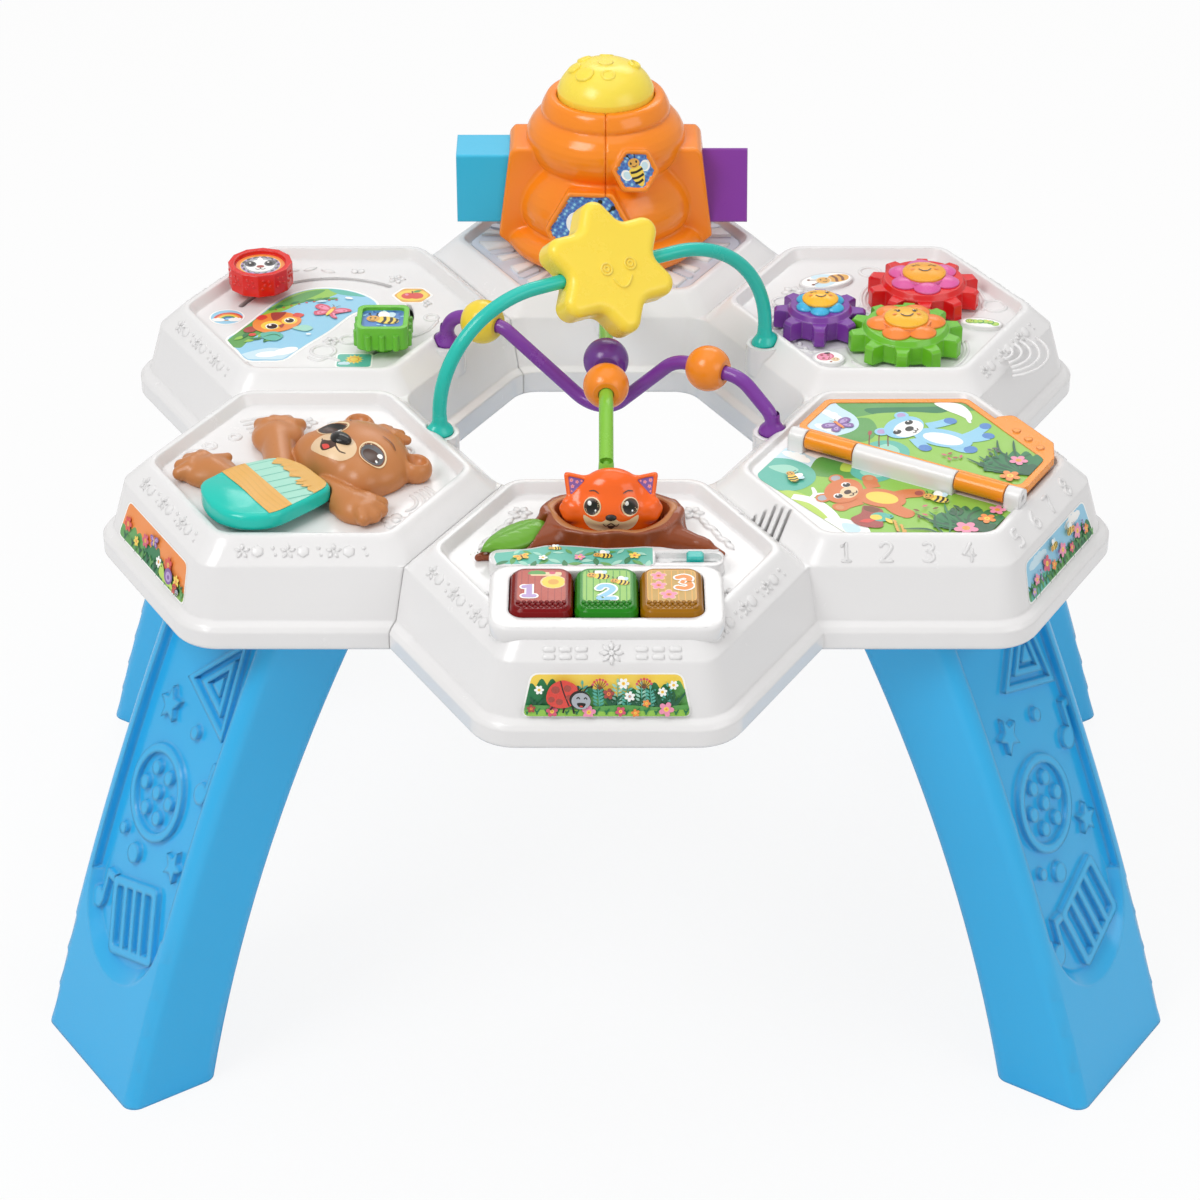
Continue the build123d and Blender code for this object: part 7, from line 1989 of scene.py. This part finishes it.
def make_key_tops():
    ground = {1: "brick", 2: "leaf", 3: "ochre"}
    pale = {1: "rose_glass", 2: "lime_glass", 3: "amber_glass"}
    for which, x in ((1, -33.2), (2, 0.0), (3, 33.2)):
        place = ground_frame(x, -232.4, KEY_TOP, 0)
        label = Print(f"key_{which}_print", place, f"key_{which}", lift=0.05)
        label.lay(box_outline(0, 0, 25.2, 31.0, 4.2), ground[which])
        label.lay(box_outline(0, 0, 24.0, 29.8, 3.8), pale[which])
        label.clip = box_outline(0, 0, 23.6, 29.4, 3.6)
        for k in range(7):
            label.lay(box_outline(-10.2 + 3.4 * k, 0, 0.55, 30, 0.2), ground[which], rise=False)
        label.lift += label.step
        pictures = {
            1: [(box_outline(2.2, 11.4, 16.0, 3.6, 1.2), "sand"), (bush(-2.5, 11.0, 9.0, 4.2, 3), "leaf"),
                (oval(5.4, 12.4, 3.4, 2.6), "rose"), (oval(6.0, 3.6, 13.4, 12.6), "sand"),
                (blossom(6.0, 3.6, 6.0, 12, 0, 0.12, 60), "yellow"), (oval(6.0, 3.6, 5.6, 5.2), "ochre")],
            2: put(bee_picture(), -3.8, 9.2, 0.86, -6) + put(bee_picture(), 7.2, 3.2, 0.74, -14),
            3: [part for px, py, size in ((-6.6, 9.6, 0.76), (-6.6, 0.4, 0.76), (-1.6, -8.6, 0.86))
                for part in (put([(blossom(0, 0, 5.9, 5, 18, 0.5), "cream")], px, py, size)
                             + put(flower_picture("pink", "orange", 5, 18), px, py, size))],
        }[which]
        label.lay_all(pictures)
        spot, size, colour = {1: ((-6.6, -4.6), 1.02, "lilac"), 2: ((-0.2, -6.8), 1.12, "sky"),
                              3: ((6.2, 3.0), 1.06, "orange")}[which]
        for width, tone in ((4.8, "white"), (2.9, colour)):
            for stroke in digit(which):
                path = stroke if which == 1 else open_spline(stroke, 6)
                label.lay(moved(ribbon(path, width), *spot, 0, size), tone)
                for end in (path[0], path[-1]):
                    label.lay(moved(oval(*end, width, width, 0, 16), *spot, 0, size), tone)
        label.done()
        # cut-glass studs on the key's front slope
        studs = []
        for row in range(3):
            for k in range(9):
                u = -11.6 + 2.9 * k + (1.45 if row % 2 else 0)
                if abs(u) < 12.6:
                    studs.append((moved(hexagon(1.25, 15), u, -17.4 - 2.05 * row + 1.2),
                                  (0.9, 0.7, 0.35)[row]))
        relief(f"key_{which}_studs", place, studs, f"key_{which}",
               {1: "key_red", 2: "key_green", 3: "key_amber"}[which],
               edge=0.3, sink=0.5)


make_front_label()
make_side_labels()
make_name_strip()
make_key_tops()


# ---------------------------------------- raised ornaments moulded into the deck and star
def make_numbers():
    """Numbers 1 to 8 round the rim of the book's cell."""
    for name, side, spots in (("rim_numbers_1_to_4", -60, ((1, -33.8), (2, -12.4), (3, 9.7), (4, 31.1))),
                              ("rim_numbers_5_to_8", 0, ((5, -33.1), (6, -11.7), (7, 7.8), (8, 28.9)))):
        lines = []
        for which, u in spots:
            for line in digit(which):
                path = line if which in (1, 4, 7) else open_spline(line, 5)
                lines.append((moved(path, u, -0.4, 0, 0.92), 1.9, 0.9, False))
        hoops(name, bevel_frame(BOOK, side, 0.5), lines, "table", "deck_white")


def petals_of(x, y, reach, count, width, height, turn=0.0):
    """Leaf shapes round a place, like a flower's petals."""
    bearings = [turn + 360 / count * k for k in range(count)]
    return [(pointed(*moved([polar(reach * 0.55, a)], x, y)[0], reach * 0.8, width, a), height)
            for a in bearings]


def make_bevel_bands():
    """Dashes with a flower between them, dots and honeycomb cells along the rims."""
    dash = lambda u, v=0.0: (box_outline(u, v, 6.4, 3.0, 1.2), 0.8)
    front = [dash(u, v) for v in (1.6, -2.4) for u in (-29.0, -20.9, -12.8, 17.6, 26.0, 34.6)]
    front += petals_of(2.4, -0.4, 6.6, 8, 2.6, 0.9) + [(oval(2.4, -0.4, 3.0, 3.0), 1.2)]
    relief("front_rim_dashes", bevel_frame(FRONT, 0, 0.32), front, "table", "deck_white", edge=0.4)
    for name, direction, side in (("bear_rim_front", BEAR, 60), ("bear_rim_left", BEAR, 0),
                                  ("slider_rim_left", SLIDERS, 0), ("slider_rim_front", SLIDERS, 60),
                                  ("gear_rim_right", GEARS, 0), ("gear_rim_front", GEARS, -60),
                                  ("front_rim_left", FRONT, -60), ("front_rim_right", FRONT, 60),
                                  ("book_rim_rear", BOOK, 60)):
        shapes = []
        for k in range(9):
            u = -32 + 8 * k
            if k % 3 == 1:
                shapes.append((moved(hexagon(3.4, 30), u, 0), 0.8))
            elif k % 3 == 2:
                shapes += [(oval(u, 1.8, 2.2, 2.2, 0, 12), 0.7), (oval(u + 1.6, -2.0, 1.7, 1.7, 0, 12), 0.6)]
            else:
                shapes += petals_of(u, 0, 4.6, 5, 2.2, 0.8, 90)
        relief(name + "_ornaments", bevel_frame(direction, side, 0.5), shapes, "table", "deck_white",
               edge=0.35)


def clear_of_tracks(outline):
    """Whether an ornament keeps out of the way of both knob collars as they travel."""
    for cx, cy, radius, _, first, last in TRACKS.values():
        for x, y in outline:
            bearing = math.degrees(math.atan2(y - cy, x - cx))
            if first - 3 < bearing < last + 3 and abs(math.hypot(x - cx, y - cy) - radius) < 7.4:
                return False
    return True


def make_tray_ornaments():
    floor = ground_frame(0, 0, TRAY_FLOOR, 0)
    lines = []
    # channels round the gears and the fine rays of the tray
    for flower, radius, first, last in (("red", 36.8, -20, 200), ("red", 36.8, 200, 300),
                                        ("green", 36.6, -150, 10), ("purple", 30.6, 110, 285)):
        lines.append((arc_line(*FLOWERS[flower], radius, first, last, 26), 2.2, 0.7, False))
    for x, y, radius in ((106.0, 108.0, 6.5), (213.0, 141.0, 5.0), (231.0, 103.0, 7.0), (101.5, 100.0, 3.4),
                         (160.0, 148.0, 6.2)):
        lines.append((ring_line(x, y, radius, 20), 2.3, 0.8, True))
    for k in range(5):
        lines.append((arc_line(226, 46, 10 + 5.2 * k, -60 - 4 * k, 46 - 3 * k, 10), 1.8, 0.6, False))
    hoops("gear_tray_channels", floor, lines, "table", "deck_white")
    shapes = petals_of(154.0, 98.0, 7.0, 6, 4.0, 1.0) + [(oval(154.0, 98.0, 4.2, 4.2), 1.2)]
    shapes += petals_of(214, 30, 6.4, 5, 3.8, 1.0, 20) + [(oval(214, 30, 3.6, 3.6), 1.2)]
    shapes += petals_of(112, 121, 7.6, 6, 4.4, 1.0, 10) + petals_of(148, 20.5, 6.0, 5, 3.6, 0.9)
    for k in range(12):
        shapes.append((oval(95 + 5.0 * k * 0.6, 88 - 6.0 * k * 0.9, 3.0, 2.4, 20 * k, 12), 0.8))
    relief("gear_tray_blossoms", floor, shapes, "table", "deck_white", edge=0.4)
    # slider tray: rays, butterfly shapes and leaves round the prints
    lines = [(arc_line(-222, 128, 10 + 6 * k, -80, 10, 10), 2.0, 0.7, False) for k in range(6)]
    for x, y, radius in ((-150, 60, 5.0), (-164, 46, 7.0), (-139, 74, 4.2), (-116, 96, 5.4), (-103, 88, 3.8),
                         (-178, 149, 6.0)):
        lines.append((ring_line(x, y, radius, 20), 2.3, 0.8, True))
    lines += [(open_spline([(-172, 38), (-166, 34), (-160, 38), (-154, 34)]), 2.3, 0.8, False),
              (open_spline([(-112, 64), (-104, 72), (-99, 84)]), 2.2, 0.7, False)]
    hoops("slider_tray_rays", floor, [line for line in lines if clear_of_tracks(line[0])], "table",
          "deck_white")
    shapes = petals_of(-150, 145, 7.4, 6, 4.2, 1.0) + [(oval(-150, 145, 4.2, 4.2), 1.2)] + petals_of(-126,
                                                                                                     138, 6.0,
                                                                                                     5, 3.4,
                                                                                                     0.9)
    shapes += petals_of(-208, 26.5, 5.6, 5, 3.4, 0.9) + petals_of(-108, 106, 5.0, 5, 3.0,
                                                                  0.9) + petals_of(-160, 58, 5.6, 6, 3.2, 0.9)
    shapes += [(pointed(-190 + 11 * k, 150 + 1.6 * math.sin(k * 2), 9, 3.6, 30 * math.sin(k * 1.9)), 0.9)
               for k in range(3)]
    relief("slider_tray_blossoms", floor, [shape for shape in shapes if clear_of_tracks(shape[0])], "table",
           "deck_white", edge=0.4)
    # bear tray: swooshes, leaves and a five-lobed flower by the right paw
    lines = []
    for k in range(4):
        lines.append((open_spline([(-204 + 2 * k, -38 - 4.2 * k), (-190 + k, -33 - 4.0 * k),
                                   (-176, -34 - 4.0 * k)]), 2.3, 0.8, False))
    for k in range(4):
        lines.append((arc_line(-112, -128, 10 + 4.0 * k, -60, 50, 10), 2.2, 0.7, False))
    for x, y, radius in ((-228, -76, 5.0), (-219, -66, 3.4), (-111, -72, 4.6), (-103, -84, 3.2),
                         (-206, -56, 3.0)):
        lines.append((ring_line(x, y, radius, 18), 2.3, 0.8, True))
    hoops("bear_tray_swooshes", floor, lines, "table", "deck_white")
    shapes = [(blossom(-112, -148, 8.0, 5, 18, 0.4, 40), 1.0), (oval(-112, -148, 4.4, 4.4), 1.6)]
    shapes += petals_of(-229, -126, 5.4, 6, 3.0, 1.0) + petals_of(-167, -40, 6.4, 5, 3.6,
                                                                  1.0) + petals_of(-232, -92, 5.0, 5, 3.0,
                                                                                   0.9)
    shapes += [(pointed(-152 + 9 * k, -40 - 2 * k, 8, 3.4, 24 + 20 * k), 0.9) for k in range(3)]
    relief("bear_tray_blossoms", floor, shapes, "table", "deck_white", edge=0.4)
    # front tray: a leafy garland either side of the stump
    shapes = []
    for side in (-1, 1):
        for k in range(5):
            x = side * (52 + 3.2 * k)
            shapes.append((pointed(x, -148 - 8.5 * k * 0.72, 10, 4.0, 90 + side * (30 + 24 * (k % 2))), 1.0))
        shapes += petals_of(side * 46, -139, 7.0, 6, 4.0, 1.0)
    shapes += petals_of(62, -221, 6.0, 5, 3.4, 0.9) + petals_of(-63, -224, 6.0, 5, 3.4, 0.9)
    relief("front_tray_garland", floor, shapes, "table", "deck_white", edge=0.4)


EYES = ((-5.1, -1.2), (9.9, -1.3))
SMILE = [(-2.8, -7.6), (-0.6, -11.6), (2.0, -13.2), (5.2, -12.2), (8.6, -8.2)]


def make_star_face():
    across = Vector((*polar(1, 30), 0))
    level = Vector((*polar(1, -60), 0))
    out = level * math.cos(math.radians(38)) + Vector((0, 0, 1)) * math.sin(math.radians(38))
    place = place_frame(Vector((0, 0, 404.5)) + out * 11.0, across, out.cross(across))
    lines = [(ring_line(x, y, 3.3, 24), 1.3, 0.8, True) for x, y in EYES]
    lines += [(ring_line(x, y, 1.5, 16), 1.1, 0.7, True) for x, y in EYES]
    lines.append((open_spline(SMILE), 1.5, 0.9, False))
    hoops("star_moulded_face", place, lines, "star", "star_yellow", sink=1.2)


def make_key_panel_fillet():
    """Soft skirt where the key panel rises from the sloping edge of the deck."""
    points, faces = [], []
    rows = ((-2.4, 338.0), (-1.2, 338.16), (-0.3, 338.06), (0.4, 337.6), (0.85, 336.7), (1.0, 335.4),
            (0.95, 333.6), (0.6, 331.4), (0.1, 329.6), (-0.5, 328.4))
    for grow, height in rows:
        ring = box_outline(0, -237, 118 + 2 * grow, 60 + 2 * grow, 12 + grow)
        points += [(x, y, height) for x, y in ring]
        count = len(ring)
    for k in range(len(rows) - 1):
        for i in range(count):
            j = (i + 1) % count
            faces.append((k * count + i, (k + 1) * count + i, (k + 1) * count + j, k * count + j))
    piece("key_panel_fillet", points, faces, ["deck_white"], "table")


def make_wire_boots():
    """Flared feet of the wires, standing in the deck's collars."""
    for colour, finish_name, spots in (("teal", "wire_teal", (30, 210)),
                                       ("purple", "wire_purple", (-30, 150)),
                                       ("green", "wire_green", (-90, 90))):
        for side, bearing in zip(("front", "rear"), spots):
            x, y = polar(106.5, bearing)
            inner = polar(103.5, bearing)
            ankle = melt(3.5, rod((x, y, 324), (x, y, 341), 5.0, 4.15), egg((x, y, 331.2), (6.6, 6.6, 3.0)),
                         rod((*inner, 331.0), (*polar(110.2, bearing), 332.0), 4.2, 4.2))
            shape = above(ankle, 325.0)
            carve(f"{colour}_wire_boot_{side}", shape, (x - 17, y - 17, 324), (x + 17, y + 17, 341.5), 0.8,
                  finish_name,
                  "table")


make_numbers()
make_bevel_bands()
make_tray_ornaments()
make_star_face()
make_wire_boots()
make_key_panel_fillet()


# ---------------------------------------- camera, lights and floor
CAMERA_AIM = (-3.374, 0, 187.561)       # millimetres
CAMERA_TILT = 32.026
CAMERA_DISTANCE = 2.03514
CAMERA_LENS = 103.349
FLOOR_GLOW = 0.88                       # how far the paper shows plain white to the camera


def set_stage():
    scene = bpy.context.scene
    scene.view_settings.view_transform = "Standard"
    lens = bpy.data.cameras.new("studio_camera")
    camera = bpy.data.objects.new("studio_camera", lens)
    scene.collection.objects.link(camera)
    scene.camera = camera
    tilt = math.radians(CAMERA_TILT)
    ahead = Vector((0, math.cos(tilt), -math.sin(tilt)))
    camera.location = Vector(CAMERA_AIM) * MM - ahead * CAMERA_DISTANCE
    camera.rotation_mode = "QUATERNION"
    camera.rotation_quaternion = ahead.to_track_quat("-Z", "Y")
    lens.sensor_width = 36.0
    lens.lens = CAMERA_LENS
    lens.clip_start, lens.clip_end = 0.05, 60.0

    def lamp(name, place, target, width, depth, power):
        light = bpy.data.lights.new(name, "AREA")
        light.shape = "RECTANGLE"
        light.size, light.size_y = width, depth
        light.energy = power
        thing = bpy.data.objects.new(name, light)
        scene.collection.objects.link(thing)
        thing.location = place
        thing.rotation_mode = "QUATERNION"
        thing.rotation_quaternion = (Vector(target) - Vector(place)).to_track_quat("-Z", "Y")
    lamp("key_softbox", (-1.4, -1.2, 2.4), (0, 0, 0.25), 1.2, 1.2, 31.5)
    lamp("fill_softbox", (1.9, -1.5, 1.5), (0, 0, 0.25), 1.6, 1.2, 10.5)
    lamp("back_softbox", (0.4, 2.2, 2.1), (0, 0, 0.3), 1.8, 0.9, 13.5)
    lamp("top_softbox", (0.1, 0.2, 2.8), (0, 0, 0.3), 2.2, 2.2, 12.5)

    world = bpy.data.worlds.new("studio_world")
    scene.world = world
    world.use_nodes = True
    tree = world.node_tree
    back = tree.nodes["Background"]
    back.inputs["Color"].default_value = (1.0, 0.99, 0.98, 1.0)
    back.inputs["Strength"].default_value = 0.5
    plain = tree.nodes.new("ShaderNodeBackground")
    plain.inputs["Color"].default_value = (1, 1, 1, 1)
    plain.inputs["Strength"].default_value = 1.0
    rays = tree.nodes.new("ShaderNodeLightPath")
    seen = maths(tree, "ADD", maths(tree, "ADD", rays.outputs["Is Camera Ray"],
                                    maths(tree, "MULTIPLY", rays.outputs["Is Glossy Ray"], 0.35)),
                 rays.outputs["Is Transmission Ray"], clamp=True)
    choice = tree.nodes.new("ShaderNodeMixShader")
    tree.links.new(seen, choice.inputs[0])
    tree.links.new(back.outputs[0], choice.inputs[1])
    tree.links.new(plain.outputs[0], choice.inputs[2])
    tree.links.new(choice.outputs[0], tree.nodes["World Output"].inputs["Surface"])

    flat = bmesh.new()
    bmesh.ops.create_grid(flat, x_segments=24, y_segments=24, size=9.0)
    mesh = bpy.data.meshes.new("studio_floor")
    flat.to_mesh(mesh)
    flat.free()
    floor = bpy.data.objects.new("studio_floor", mesh)
    scene.collection.objects.link(floor)
    paper = bpy.data.materials.new("studio_paper")
    paper.use_nodes = True
    tree = paper.node_tree
    tree.nodes.clear()
    diffuse = tree.nodes.new("ShaderNodeBsdfDiffuse")
    where = tree.nodes.new("ShaderNodeTexCoord").outputs["Object"]
    tree.links.new(mixed(tree, noise(tree, where, 3.0, 2.0), (0.87, 0.87, 0.875, 1), (0.89, 0.89, 0.89, 1)),
                   diffuse.inputs["Color"])
    glow = tree.nodes.new("ShaderNodeEmission")
    glow.inputs["Color"].default_value = (1, 1, 1, 1)
    rays = tree.nodes.new("ShaderNodeLightPath")
    seen = maths(tree, "ADD", rays.outputs["Is Camera Ray"], rays.outputs["Is Transmission Ray"], clamp=True)
    share = maths(tree, "MULTIPLY", seen, FLOOR_GLOW)
    choice = tree.nodes.new("ShaderNodeMixShader")
    tree.links.new(share, choice.inputs[0])
    tree.links.new(diffuse.outputs[0], choice.inputs[1])
    tree.links.new(glow.outputs[0], choice.inputs[2])
    end = tree.nodes.new("ShaderNodeOutputMaterial")
    tree.links.new(choice.outputs[0], end.inputs["Surface"])
    mesh.materials.append(paper)


set_stage()
